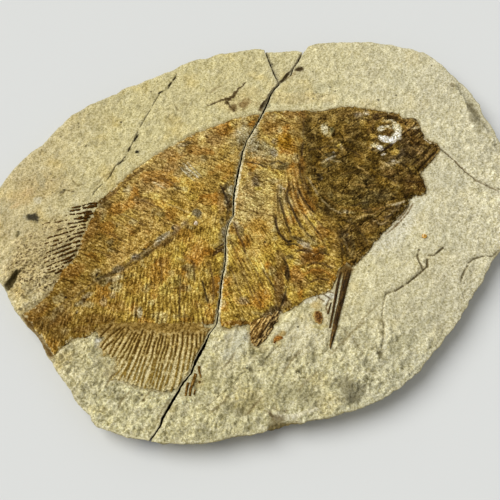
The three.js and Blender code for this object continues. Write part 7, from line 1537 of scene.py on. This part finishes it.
def trunk_height(P, d, strokes=()):
    x, y = P.T
    edge = smooth(0.0, 2.0, d)
    h = 0.2 + 0.72 * edge + 0.3 * fbm(x, y, 13, 2, 601) * edge
    inner = smooth(0.1, 1.2, d)
    h += inner * (0.26 * noise2(x, y, 3.4, 602) + 0.17 * noise2(x, y, 1.8, 603) + 0.11 * noise2(x, y, 1.05, 604) + 0.095 * weave(P))
    run_dark, run_pale = runs(P)
    h += inner * (0.2 * run_pale - 0.24 * run_dark)
    h += inner * 0.07 * scale_rows(x, y, -26, 2.1, 605)
    md, _, ms = near(P, MIDLINE, 6.0)
    h += inner * ((0.42 + 0.3 * noise2(x, y, 2.6, 607)) * (1 - smooth(0.3, 2.6, md + 0.8 * noise2(x, y, 2.4, 606))))
    s, z = stripes(P)
    h += inner * 0.26 * z * s
    for line, half, c, k in strokes:
        dd, _, _ = near(P, line, 4.0)
        up = sum(c) > 360
        h += inner * k * (0.42 if up else -0.6) * (1 - smooth(0.3 * half, 1.6 * half, dd))
    return h


def runs(P):
    """short strokes of the trunk's surface: dark and pale ones, their run changing from part to part"""
    x, y = P.T
    below = 1 - smooth(-4.0, 1.0, y - mid_y(x) + 2 * noise2(x, y, 5.0, 631))
    rear = 1 - smooth(-22, -16, x)
    front = smooth(-18, -13, x) * (1 - smooth(12, 24, x + 0.3 * (y + 20))) * (1 - smooth(-6, 4, y))
    up = np.clip(1 - below * rear - front, 0, 1)
    dark = up * np.maximum(dashes(x, y, -22, 5.2, 1.25, 810), dashes(x, y, -38, 4.0, 1.1, 820, 0.35))
    dark += below * rear * dashes(x, y, 82, 6.0, 1.15, 830) + front * dashes(x, y, -58, 6.5, 1.15, 840, 0.65)
    pale = up * dashes(x, y, -24, 3.6, 1.05, 850, 0.45) + below * rear * dashes(x, y, 84, 4.6, 1.1, 860, 0.5) + front * dashes(x, y, -60, 5.0, 1.1, 870, 0.5)
    return dark, pale


def weave(P):
    """signed streaks of the trunk's surface (unit spread)"""
    x, y = P.T
    up = drawn_out(x, y, -24, 6.0, 1.15, 621) + 0.8 * drawn_out(x, y, -38, 4.2, 0.9, 622)
    down = drawn_out(x, y, 84, 6.0, 0.95, 623) + 0.7 * drawn_out(x, y, 74, 3.6, 0.9, 624)
    steep = drawn_out(x, y, -62, 7.0, 0.95, 625) + 0.7 * drawn_out(x, y, -54, 4.5, 1.0, 626)
    below = 1 - smooth(-4.0, 1.0, y - mid_y(x))
    rear = 1 - smooth(-22, -16, x)
    front_low = smooth(-18, -13, x) * (1 - smooth(8, 22, x)) * (1 - smooth(-12, 0, y))
    w_up = np.clip(1 - below * rear - front_low, 0, 1)
    return unit(w_up * unit(up) + below * rear * unit(down) + front_low * unit(steep))


def trunk_weave(P, seed):
    """streaks with flecks, strokes on top"""
    x, y = P.T
    rng = np.random.default_rng(seed)
    T = 0.5 * weave(P) + 0.34 * unit(noise2(x, y, 2.4, 627)) + 0.36 * unit(noise2(x, y, 1.05, 628)) + 0.5 * unit(fbm(x, y, 8.0, 3, 629)) + 0.3 * rng.normal(size=len(P))
    run_dark, run_pale = runs(P)
    return 0.85 * unit(T) - 1.2 * run_dark + 1.1 * run_pale


def bone_grain(c, T, dark=0.30, light=0.25, deep=None, pale=None):
    """flecks: darker brown where T is low, straw to cream where it is high"""
    n = len(T)
    deep = mix(np.array(rgb(56, 36, 2)) if deep is None else deep, c * np.array([0.42, 0.37, 0.2]), np.full(n, 0.5))
    pale = mix(np.array(rgb(236, 220, 160)) if pale is None else pale, np.clip(c * 1.5, 0, 1), np.full(n, 0.4))
    return grained(c, T, deep, pale, dark, light, 0.85)


def trunk_paint(P, node):
    marks, strokes = (MARKS_REAR, STROKES_REAR) if node == "trunk_rear" else (MARKS_FRONT, STROKES_FRONT)
    x, y = P.T
    c = np.tile(rgb(178, 145, 66), (len(P), 1))
    ml = mid_y(x)
    lower = smooth(0.0, 16.0, ml - y)
    c = mix(c, rgb(176, 145, 52), 0.6 * lower)
    tail = 1 - smooth(-95, -62, x)
    c = mix(c, rgb(130, 101, 38), 0.8 * tail)
    upper = smooth(14, 40, y - ml)
    c = mix(c, rgb(187, 158, 88), 0.75 * upper * (1 - tail))
    a, b, g = unit(fbm(x, y, 15, 3, 641)), unit(fbm(x, y, 13, 3, 642)), unit(fbm(x, y, 9, 2, 643))
    c = mix(c, rgb(166, 108, 30), 0.68 * smooth(0.2, 1.4, a) * (1 - 0.5 * tail))
    c = mix(c, rgb(222, 190, 80), 0.62 * smooth(0.4, 1.6, b) * (1 - 0.7 * tail) * (1 - 0.55 * upper))
    c = mix(c, rgb(178, 168, 128), 0.45 * smooth(0.9, 2.0, g))
    paint(c, P, marks)
    s, zone = (stripes(P) if node == "trunk_rear" else (np.zeros(len(P)), np.zeros(len(P))))
    c = mix(c, rgb(86, 60, 14), 0.75 * zone * smooth(0.1, 0.95, -s))
    c = mix(c, rgb(216, 188, 104), 0.5 * zone * smooth(0.1, 0.95, s))
    c = bone_grain(c, trunk_weave(P, 661 if node == "trunk_rear" else 662), 0.325, 0.28)
    stroke(c, P, strokes)
    return c * (1 + 0.07 * (scale_rows(x, y, -26, 2.1, 605) - 0.5))[:, None]


def joint_share(P, into):
    """the skull's share of the colour on either side of its joint with the trunk; into = distance inside the skull"""
    x, y = P.T
    wide = 3.2 + 3.2 * smooth(40, 62, y)
    shift = (0.5 * wide + 1.5) * noise2(x, y, 6.0, 681) + 1.2 * noise2(x, y, 2.2, 682) + 0.6 * noise2(x, y, 1.0, 683)
    return smooth(-wide, wide, into + shift)


def trunk_colour(node):
    def colour(P, d, h, dj):
        x, y = P.T
        c = trunk_paint(P, node)
        if node == "trunk_front":
            ds, _, _ = near(P, np.array(SHAPES["skull"], float), 14.0, closed=True)
            ds = np.where(inside(P, np.array(SHAPES["skull"], float)), -ds, ds)
            k = np.nonzero(ds < 13.0)[0]
            w = joint_share(P[k], -ds[k])
            c[k] = mix(c[k], skull_paint(P[k]), w)
            t = 1 - smooth(1.0, 7.0, ds + 2.0 * noise2(x, y, 3.0, 674))
            c = mix(c, c * np.array([0.8, 0.76, 0.66]), 0.6 * t)
        # margins: worn through to stone here and there, and a thin dark line
        n1 = noise2(x, y, 2.4, 671) + 0.7 * noise2(x, y, 1.0, 672)
        c = mix(c, rgb(206, 192, 144), 0.8 * smooth(0.25, 0.6, n1 + 0.55 - d / 1.3) * (d < 2.5))
        rim = (1 - smooth(0.1, 0.7, d)) * smooth(-0.3, 0.3, noise2(x, y, 3.5, 673))
        c = mix(c, rgb(84, 62, 24), 0.5 * rim)
        # broken bone along the parting between the halves shows the pale stone
        bd, _, bs = near(P, BREAK, 4.0)
        wide = BREAK_RIM(y) if node == "trunk_front" else 0.35 + 0 * y
        pale = 1 - smooth(0.5 * wide, wide + 0.3, bd + 0.35 * noise2(x, y, 1.5, 655))
        c = mix(c, rgb(226, 216, 176), (0.9 if node == "trunk_front" else 0.5) * pale)
        return c

    return colour


def BREAK_RIM(y):
    """width of the cream rim on the front half's side of the break"""
    return 1.0 + 1.9 * np.exp(-(((y - 23.0) / 12.0) ** 2)) + 0.9 * np.exp(-(((y + 26.0) / 6.0) ** 2)) + 0.6 * np.exp(-(((y + 53.0) / 9.0) ** 2))


def skull_height(P, d):
    x, y = P.T
    h = 0.32 + 0.9 * smooth(0.0, 3.0, d)
    inner = smooth(0.3, 2.0, d)
    h += inner * (0.5 * fbm(x, y, 10, 2, 701) + 0.5 * noise2(x, y, 3.8, 702) + 0.34 * noise2(x, y, 1.9, 703) + 0.18 * noise2(x, y, 1.1, 704))
    dark_seam, pale_seam = seams(P)
    h += inner * (0.3 * pale_seam - 0.35 * dark_seam)
    h += inner * (0.3 * dashes(x, y, 38, 3.4, 1.1, 920, 0.3) - 0.3 * dashes(x, y, 30, 4.5, 1.4, 910, 0.45) + 0.25 * dashes(x, y, -50, 3.0, 1.1, 930, 0.2))
    for line, half, c, s in STROKES_SKULL:
        dd, _, _ = near(P, line, 4.0)
        up = sum(c) > 300
        h += inner * s * (0.45 if up else -0.5) * (1 - smooth(0.3 * half, 1.7 * half, dd))
    e = np.hypot((x - EYE[0]) / 7.4, (y - EYE[1]) / 6.4)
    h -= 0.38 * (1 - smooth(0.75, 1.05, e + 0.1 * noise2(x, y, 3.0, 705))) * inner
    h += 0.22 * np.exp(-(((e - 1.12) / 0.16) ** 2)) * inner
    return np.maximum(h, 0.12)


def seams(P):
    """edges of the crushed bone plates: dark seams and the pale rims beside them"""
    x, y = P.T
    x = x + 1.8 * noise2(x, y, 6.0, 741) + 0.6 * noise2(x, y, 2.0, 742)
    y = y + 1.8 * noise2(x, y, 6.0, 743) + 0.6 * noise2(x, y, 2.0, 744)
    a = math.radians(35)
    u, v = x * math.cos(a) + y * math.sin(a), 1.5 * (-x * math.sin(a) + y * math.cos(a))
    f1, f2, idn = cells(u, v, 10.0, 745)
    e = f2 - f1
    on = smooth(-0.25, 0.15, noise2(P[:, 0], P[:, 1], 7.0, 746))
    return on * (1 - smooth(0.02, 0.1, e)), on * smooth(0.08, 0.13, e) * (1 - smooth(0.17, 0.26, e)) * (idn > 0.35)


def skull_paint(P):
    x, y = P.T
    rng = np.random.default_rng(731)
    c = np.tile(rgb(95, 73, 22), (len(P), 1))
    c = mix(c, rgb(136, 110, 44), 0.65 * smooth(54, 68, y + 3 * noise2(x, y, 8, 712)))
    a = unit(fbm(x, y, 9, 3, 711))
    c = mix(c, rgb(150, 116, 40), 0.55 * smooth(0.3, 1.5, a))
    c = mix(c, rgb(60, 44, 10), 0.6 * smooth(0.2, 1.4, -a))
    b = unit(fbm(x, y, 6, 2, 713))
    c = mix(c, rgb(114, 102, 62), 0.4 * smooth(0.9, 1.9, b))
    paint(c, P, MARKS_SKULL)
    dark_seam, pale_seam = seams(P)
    c = mix(c, rgb(40, 28, 6), 0.6 * dark_seam)
    c = mix(c, rgb(186, 152, 78), 0.5 * pale_seam)
    T = 0.95 * unit(fbm(x, y, 5.5, 2, 721)) + 0.42 * unit(noise2(x, y, 2.4, 722)) + 0.36 * unit(noise2(x, y, 1.05, 723)) + 0.25 * unit(drawn_out(x, y, 32, 5.0, 1.2, 724)) + 0.45 * rng.normal(size=len(P))
    T = unit(T) - 1.2 * dashes(x, y, 30, 4.5, 1.4, 910, 0.45) + 1.5 * dashes(x, y, 38, 3.4, 1.1, 920, 0.3) + 1.2 * dashes(x, y, -50, 3.0, 1.1, 930, 0.2)
    c = bone_grain(c, T, 0.3, 0.25, rgb(34, 22, 0), rgb(214, 190, 120))
    # the snout is streaked along its length
    sn = smooth(88, 98, x + 0.3 * (y - 50)) * smooth(20, 30, y)
    S = unit(drawn_out(x, y, 48, 9.0, 1.1, 725))
    c = mix(c, rgb(44, 30, 6), 0.65 * sn * smooth(0.2, 1.2, -S))
    c = mix(c, rgb(184, 150, 84), 0.5 * sn * smooth(0.5, 1.5, S))
    stroke(c, P, STROKES_SKULL)
    eye = c.copy()
    paint(eye, P, MARKS_EYE, 0.16, 45)
    w = smooth(0.0, 0.12, np.abs(eye - c).sum(1))
    grain = (1 + 0.08 * unit(noise2(x, y, 1.1, 726)) + 0.05 * rng.normal(size=len(P)))[:, None]
    return mix(c, np.clip(eye * grain, 0, 1), w)


def skull_colour(P, d, h, dj):
    x, y = P.T
    c = skull_paint(P)
    k = np.nonzero(dj < 8.9)[0]
    c[k] = mix(trunk_paint(P[k], "trunk_front") * np.array([0.88, 0.86, 0.8]), c[k], joint_share(P[k], dj[k]))
    n1 = noise2(x, y, 2.2, 728) + 0.7 * noise2(x, y, 1.0, 729)
    c = mix(c, rgb(200, 186, 138), 0.75 * smooth(0.3, 0.65, n1 + 0.5 - d / 1.0) * (d < 2))
    rim = (1 - smooth(0.1, 0.8, d)) * smooth(-0.5, 0.2, noise2(x, y, 3.0, 727))
    return mix(c, rgb(50, 36, 12), 0.5 * rim)


def ray_gap(P):
    g, along = np.full(len(P), 9.0), np.zeros(len(P))
    for line in ANAL_RAYS:
        dd, t, _ = near(P, line, 2.0)
        along = np.where(dd < g, t, along)
        g = np.minimum(g, dd)
    return g, along


def distal(P):
    d, _, _ = near(P, ANAL_BASE, 60.0)
    return smooth(11, 25, d + 2.5 * noise2(P[:, 0], P[:, 1], 5.0, 740))


def anal_height(P, d):
    x, y = P.T
    g, _ = ray_gap(P)
    far = distal(P)
    w = 0.28 + 0.14 * far
    ray = (1 - smooth(w, w + 0.5, g)) * smooth(0.0, 0.6, d)
    h = 0.12 + 0.42 * smooth(0.0, 0.9, d) * (1 - 0.7 * far)
    h += (0.5 * far - 0.34 * (1 - far)) * ray
    h += 0.07 * noise2(x, y, 1.6, 731) + 0.05 * noise2(x, y, 0.9, 732)
    return h


def anal_colour(P, d, h, dj):
    x, y = P.T
    rng = np.random.default_rng(741)
    g, _ = ray_gap(P)
    far = distal(P)
    gold, stone = rgb(186, 158, 88), rgb(204, 190, 138)
    c = mix(np.tile(gold, (len(P), 1)), stone, 0.9 * far)
    base = 1 - smooth(4.0, 12.0, -61.0 - y + 1.5 * noise2(x, y, 6.0, 741))
    c = mix(c, rgb(130, 100, 42), 0.75 * base)
    c = mix(c, rgb(140, 112, 56), 0.5 * (1 - smooth(-84, -68, x)) * (1 - far))
    T = 0.4 * unit(drawn_out(x, y, 66, 4.5, 1.0, 742)) + 0.5 * unit(noise2(x, y, 1.3, 743)) + 0.4 * unit(noise2(x, y, 2.6, 744)) + 0.45 * rng.normal(size=len(P))
    c = bone_grain(c, unit(T), 0.22, 0.18)
    worn = smooth(-0.75, -0.1, noise2(x, y, 3.2, 745) + 0.35 * noise2(x, y, 1.2, 746) - 0.35 * far * smooth(3.5, 0.5, d))
    w = (0.3 + 0.12 * far) * (1 + 0.4 * noise2(x, y, 2.2, 747))
    ray = rgb(76, 52, 12) * (1 - far)[:, None] + rgb(126, 100, 36) * far[:, None]
    ray = ray * (1 + 0.2 * noise2(x, y, 1.5, 749))[:, None]
    c = c + (ray - c) * (0.9 * worn * (1 - smooth(w, w + 0.3, g)))[:, None]
    ridge = smooth(0.65, 1.0, g) * (1 - smooth(1.4, 1.9, g))
    c = mix(c, rgb(228, 214, 166), 0.5 * ridge * (1 - 0.7 * base))
    # frayed outer margin, down to stone between the rays
    fray = smooth(0.1, 0.5, noise2(x, y, 2.0, 748) + 0.8 - d / 3.0) * (d < 5)
    return mix(c, stone, 0.75 * fray * smooth(0.3, 0.8, g) * np.maximum(far, 0.4))


def dark_fin_height(P, d):
    x, y = P.T
    return 0.15 + 0.45 * smooth(0, 1.0, d) + 0.14 * unit(drawn_out(x, y, 58, 6, 0.9, 751)) * smooth(0, 0.8, d)


def dark_fin_colour(P, d, h, dj):
    x, y = P.T
    rng = np.random.default_rng(751)
    c = np.tile(rgb(126, 94, 42), (len(P), 1))
    # darkest along its front edge, straw-coloured streaks behind
    u = (x * math.cos(math.radians(58)) + y * math.sin(math.radians(58)))
    v = -x * math.sin(math.radians(58)) + y * math.cos(math.radians(58))
    vm = (v - v.min()) / (v.max() - v.min())
    c = mix(c, rgb(44, 32, 16), 0.85 * (1 - smooth(0.2, 0.5, vm)))
    T = unit(unit(drawn_out(x, y, 58, 8, 0.85, 751)) * 0.9 + 0.45 * unit(noise2(x, y, 1.1, 752)) + 0.4 * rng.normal(size=len(P)))
    T += 3.0 * dashes(x, y, 56, 8.0, 1.4, 940, 0.6) - 1.6 * dashes(x, y, 60, 7.0, 1.2, 950, 0.5)
    c = grained(c, T, rgb(34, 22, 4) + 0 * c, rgb(226, 196, 128) + 0 * c, 0.34, 0.36, 0.85)
    return mix(c, np.clip(c * 1.25, 0, 1), 0.6 * (1 - smooth(0, 2.5, dj)))


def spine_height(H, w):
    def height(P, d):
        x, y = P.T
        return 0.12 + (H - 0.12) * dome(d, w) + 0.06 * unit(drawn_out(x, y, 74, 6, 0.7, 761)) * smooth(0, 0.6, d)

    return height


def spine_colour(P, d, h, dj):
    x, y = P.T
    rng = np.random.default_rng(762)
    c = np.tile(rgb(60, 42, 12), (len(P), 1))
    T = unit(unit(drawn_out(x, y, 75, 9, 0.7, 762)) * 0.9 + 0.4 * unit(noise2(x, y, 1.2, 763)) + 0.3 * rng.normal(size=len(P)))
    c = grained(c, T, rgb(24, 15, 0) + 0 * c, rgb(168, 132, 66) + 0 * c, 0.35, 0.26, 0.8)
    return mix(c, rgb(120, 86, 34), 0.3 * (1 - smooth(0.1, 0.4, d)))


def chip_colour(a, b, c3, rim=None):
    def colour(P, d, h, dj):
        x, y = P.T
        rng = np.random.default_rng(771)
        c = np.tile(rgb(*a), (len(P), 1))
        T = unit(noise2(x, y, 1.4, 771) + 0.8 * noise2(x, y, 0.8, 772) + 0.2 * rng.normal(size=len(P)))
        c = grained(c, T, rgb(*b) + 0 * c, rgb(*c3) + 0 * c, 0.34, 0.3, 0.8)
        if rim:
            c = mix(c, rgb(*rim), 0.75 * (1 - smooth(0.3, 1.1, d + 0.4 * noise2(x, y, 1.5, 773))))
        return c

    return colour


def strand(V, F, C, line, w0, w1, h0, h1, z, tone, rng):
    """one thin ray as a closed rounded strip, added to the lists"""
    q = np.array(line, float)
    t = np.gradient(q, axis=0)
    t /= np.maximum(np.hypot(*t.T), 1e-9)[:, None]
    nn = np.column_stack([-t[:, 1], t[:, 0]])
    k = len(q)
    u = np.linspace(0, 1, k)
    w = (w0 + (w1 - w0) * u) * (1 + rng.uniform(-0.22, 0.22, k)) / 2
    h = (h0 + (h1 - h0) * u) * (1 + rng.uniform(-0.2, 0.2, k))
    w[[0, -1]] *= 0.45
    h[[0, -1]] *= 0.35
    sec = ((1.0, None), (0.78, 0.62), (0.0, 1.0), (-0.78, 0.62), (-1.0, None))
    first = sum(len(v) for v in V)
    pts = np.zeros((k, 5, 3))
    for j, (s, f) in enumerate(sec):
        pts[:, j, :2] = q + nn * (s * w)[:, None]
        pts[:, j, 2] = z - 0.16 if f is None else z + f * h
    V.append(pts.reshape(-1, 3))
    col = np.tile(tone, (k, 5, 1)) * (1 + rng.uniform(-0.2, 0.3, (k, 1, 1)))
    C.append(np.clip(col, 0, 1).reshape(-1, 3))
    f = []
    for i in range(k - 1):
        for j in range(5):
            a, b = first + 5 * i + j, first + 5 * i + (j + 1) % 5
            c, d = a + 5, b + 5
            f += [(a, c, b), (b, c, d)]
    for j in (1, 2, 3):
        f += [(first, first + j, first + j + 1), (first + 5 * (k - 1), first + 5 * (k - 1) + j + 1, first + 5 * (k - 1) + j)]
    F.append(np.array(f, int))


def pieces_of(line, rng, run=(2.2, 6.5), gap=(0.3, 1.3), step=0.7, shake=0.12):
    """break a ray into the short lengths it has weathered into"""
    q = resample(np.array(line, float), 0.2, False)
    L = 0.2 * (len(q) - 1)
    out, s = [], 0.0
    while s < L - 0.8:
        e = min(L, s + rng.uniform(*run))
        a, b = int(s / 0.2), min(len(q) - 1, int(e / 0.2))
        if b - a >= 3:
            p = resample(q[a : b + 1], step, False)
            p = p + rng.normal(0, shake, 2) + rng.normal(0, 0.04, p.shape)
            out.append((s / L, p))
        s = e + rng.uniform(*gap)
    return out


def build_fish():
    layer_mesh("trunk_rear", Z_REAR, 0.44, lambda P, d: trunk_height(P, d, STROKES_REAR), trunk_colour("trunk_rear"), SCALES, 11, ragged=0.8)
    layer_mesh("trunk_front", Z_FRONT, 0.42, lambda P, d: trunk_height(P, d, STROKES_FRONT), trunk_colour("trunk_front"), SCALES, 12, ragged=0.6, joins=("skull",))
    layer_mesh("skull", Z_FRONT, 0.40, skull_height, skull_colour, BONE, 13, ragged=0.9, joins=("trunk_front",))
    layer_mesh("anal_fin", Z_REAR, 0.34, anal_height, anal_colour, RAYS, 14, ragged=1.0, joins=("trunk_rear",))
    layer_mesh("pelvic_fin", Z_FRONT, 0.34, dark_fin_height, dark_fin_colour, DARK, 15, 0.8, ragged=0.9, joins=("trunk_front",))
    layer_mesh("pectoral_spine_main", Z_FRONT, 0.26, spine_height(1.25, 1.3), spine_colour, SPINE, 16, 0.3)
    layer_mesh("pectoral_spine_middle", Z_FRONT, 0.24, spine_height(0.95, 0.8), spine_colour, SPINE, 17, 0.2)
    layer_mesh("pectoral_spine_short", Z_FRONT, 0.22, spine_height(0.7, 0.6), spine_colour, SPINE, 18, 0.2)
    layer_mesh("bone_chip_brown", Z_FRONT, 0.24, spine_height(0.7, 2.0), chip_colour((104, 70, 30), (44, 28, 12), (170, 126, 64), (196, 168, 104)), CHIP, 19, 0.5, ragged=0.6)
    layer_mesh("bone_chip_orange", Z_FRONT, 0.24, spine_height(0.5, 1.6), chip_colour((150, 98, 34), (58, 36, 14), (220, 176, 100)), CHIP, 20, 0.5, ragged=0.8)
    for k in range(1, 6):
        layer_mesh("anal_ray_tip_%d" % k, Z_FRONT, 0.2, spine_height(0.75, 0.6), chip_colour((112, 80, 28), (60, 40, 8), (200, 168, 98)), RAYS, 20 + k, 0.2)

    # rear dorsal fin: many short weathered lengths of fine ray
    rng = np.random.default_rng(31)
    V, F, C = [], [], []
    for k, line in enumerate(DORSAL_RAYS):
        thick = k in (1, 2)
        for s, p in pieces_of(line, rng, (3.4, 10.0), (0.15, 0.6), 0.6, 0.16):
            fade = 0.75 * s
            tone = rgb(66, 44, 12) * (1 - fade) + rgb(88, 64, 26) * fade
            w = (2.1 if thick else 1.5) * (1 - 0.36 * s)
            strand(V, F, C, p, w, w * 0.8, 0.55 - 0.2 * s, 0.45 - 0.2 * s, Z_REAR, tone, rng)
    o = make("fish_dorsal_fin", np.vstack(V), np.vstack(F), np.vstack(C), DARK, "dorsal_fin")

    # amber bead: a low rounded drop
    V, F, C = [], [], []
    rings, seg = 9, 28
    rng = np.random.default_rng(33)
    for i in range(rings + 1):
        a = math.pi / 2 * (1 - i / rings)
        for j in range(seg):
            b = 2 * math.pi * j / seg
            r = 1.7 * math.cos(a) * (1 + 0.05 * math.sin(3 * b + 1) + 0.03 * math.sin(5 * b))
            V.append((BEAD[0] + r * math.cos(b), BEAD[1] + 0.94 * r * math.sin(b), Z_FRONT - 0.15 + 1.1 * math.sin(a) + (0.0 if i else 0)))
    top = 0
    for i in range(rings):
        for j in range(seg):
            a, b = i * seg + j, i * seg + (j + 1) % seg
            c, d = a + seg, b + seg
            if i:
                F += [(a, c, b), (b, c, d)]
            else:
                F += [(top, c, d)]
    used = sorted({v for f in F for v in f})
    re = {v: k for k, v in enumerate(used)}
    F = [tuple(re[v] for v in f) for f in F]
    V = np.array([V[v] for v in used])
    last = list(range(len(V) - seg, len(V)))
    F += [(last[0], last[j + 1], last[j]) for j in range(1, seg - 1)]
    r = np.hypot(V[:, 0] - BEAD[0], V[:, 1] - BEAD[1])
    c = mix(np.tile(rgb(150, 100, 20), (len(V), 1)), rgb(226, 178, 82), smooth(0.35, 0.9, r) * (1 - smooth(1.2, 1.5, r)))
    c = mix(c, rgb(84, 56, 14), smooth(1.35, 1.6, r))
    # painted highlight: a small pale spot set a little off the centre of the drop
    c = mix(c, rgb(250, 232, 180), 1 - smooth(0.2, 0.5, np.hypot(V[:, 0] - BEAD[0] + 0.5, V[:, 1] - BEAD[1] - 0.5)))
    make("amber_drop", V, np.array(F), c, AMBER, "amber_bead")



# ------------------------------------------------------------------ floor, light, camera
def floor():
    m = bpy.data.materials.new("studio_floor")
    m.use_nodes = True
    nt = m.node_tree
    b = nt.nodes["Principled BSDF"]
    tex = nt.nodes.new("ShaderNodeTexCoord")
    n = nt.nodes.new("ShaderNodeTexNoise")
    n.inputs["Scale"].default_value = 6.0
    r = nt.nodes.new("ShaderNodeMapRange")
    r.inputs["To Min"].default_value = 0.99
    r.inputs["To Max"].default_value = 1.01
    nt.links.new(tex.outputs["Object"], n.inputs["Vector"])
    nt.links.new(n.outputs["Fac"], r.inputs["Value"])
    mul = nt.nodes.new("ShaderNodeVectorMath")
    mul.operation = "SCALE"
    mul.inputs[0].default_value = FLOOR
    nt.links.new(r.outputs["Result"], mul.inputs["Scale"])
    nt.links.new(mul.outputs["Vector"], b.inputs["Base Color"])
    b.inputs["Roughness"].default_value = 0.9
    b.inputs["Specular IOR Level"].default_value = 0.1
    me = bpy.data.meshes.new("floor")
    s = 18.0
    z = -0.0002  # a hair under the plate, so that the two faces never coincide
    me.from_pydata([(-s, -s, z), (s, -s, z), (s, s, z), (-s, s, z)], [], [(0, 1, 2, 3)])
    o = bpy.data.objects.new("floor", me)
    bpy.context.scene.collection.objects.link(o)
    me.materials.append(m)


FLOOR = (0.735, 0.75, 0.74)


def aim(o, at):
    o.rotation_euler = (Vector(at) - o.location).to_track_quat("-Z", "Y").to_euler()


def light():
    w = bpy.data.worlds.new("studio")
    w.use_nodes = True
    w.node_tree.nodes["Background"].inputs["Color"].default_value = (1.0, 1.0, 1.0, 1)
    w.node_tree.nodes["Background"].inputs["Strength"].default_value = 0.36
    bpy.context.scene.world = w
    d = bpy.data.lights.new("key", "SUN")
    d.energy, d.angle, d.color = 2.5, math.radians(48), (1.0, 0.99, 0.97)
    o = bpy.data.objects.new("key", d)
    o.location = (-0.72, 0.25, 1.0)
    bpy.context.scene.collection.objects.link(o)
    aim(o, (0, 0, 0))


def camera():
    c = bpy.data.cameras.new("camera")
    c.lens, c.sensor_width, c.clip_start, c.clip_end = 60.0, 36.0, 0.01, 20.0
    o = bpy.data.objects.new("camera", c)
    o.location = CAMERA
    bpy.context.scene.collection.objects.link(o)
    aim(o, TARGET)
    bpy.context.scene.camera = o


bpy.context.scene.view_settings.view_transform = "Standard"
camera()
floor()
light()
plate("slab_rear_half", Z_REAR, 1)
plate("slab_front_half", Z_FRONT, 2)
plate("slab_top_wedge", Z_WEDGE, 3)
build_fish()
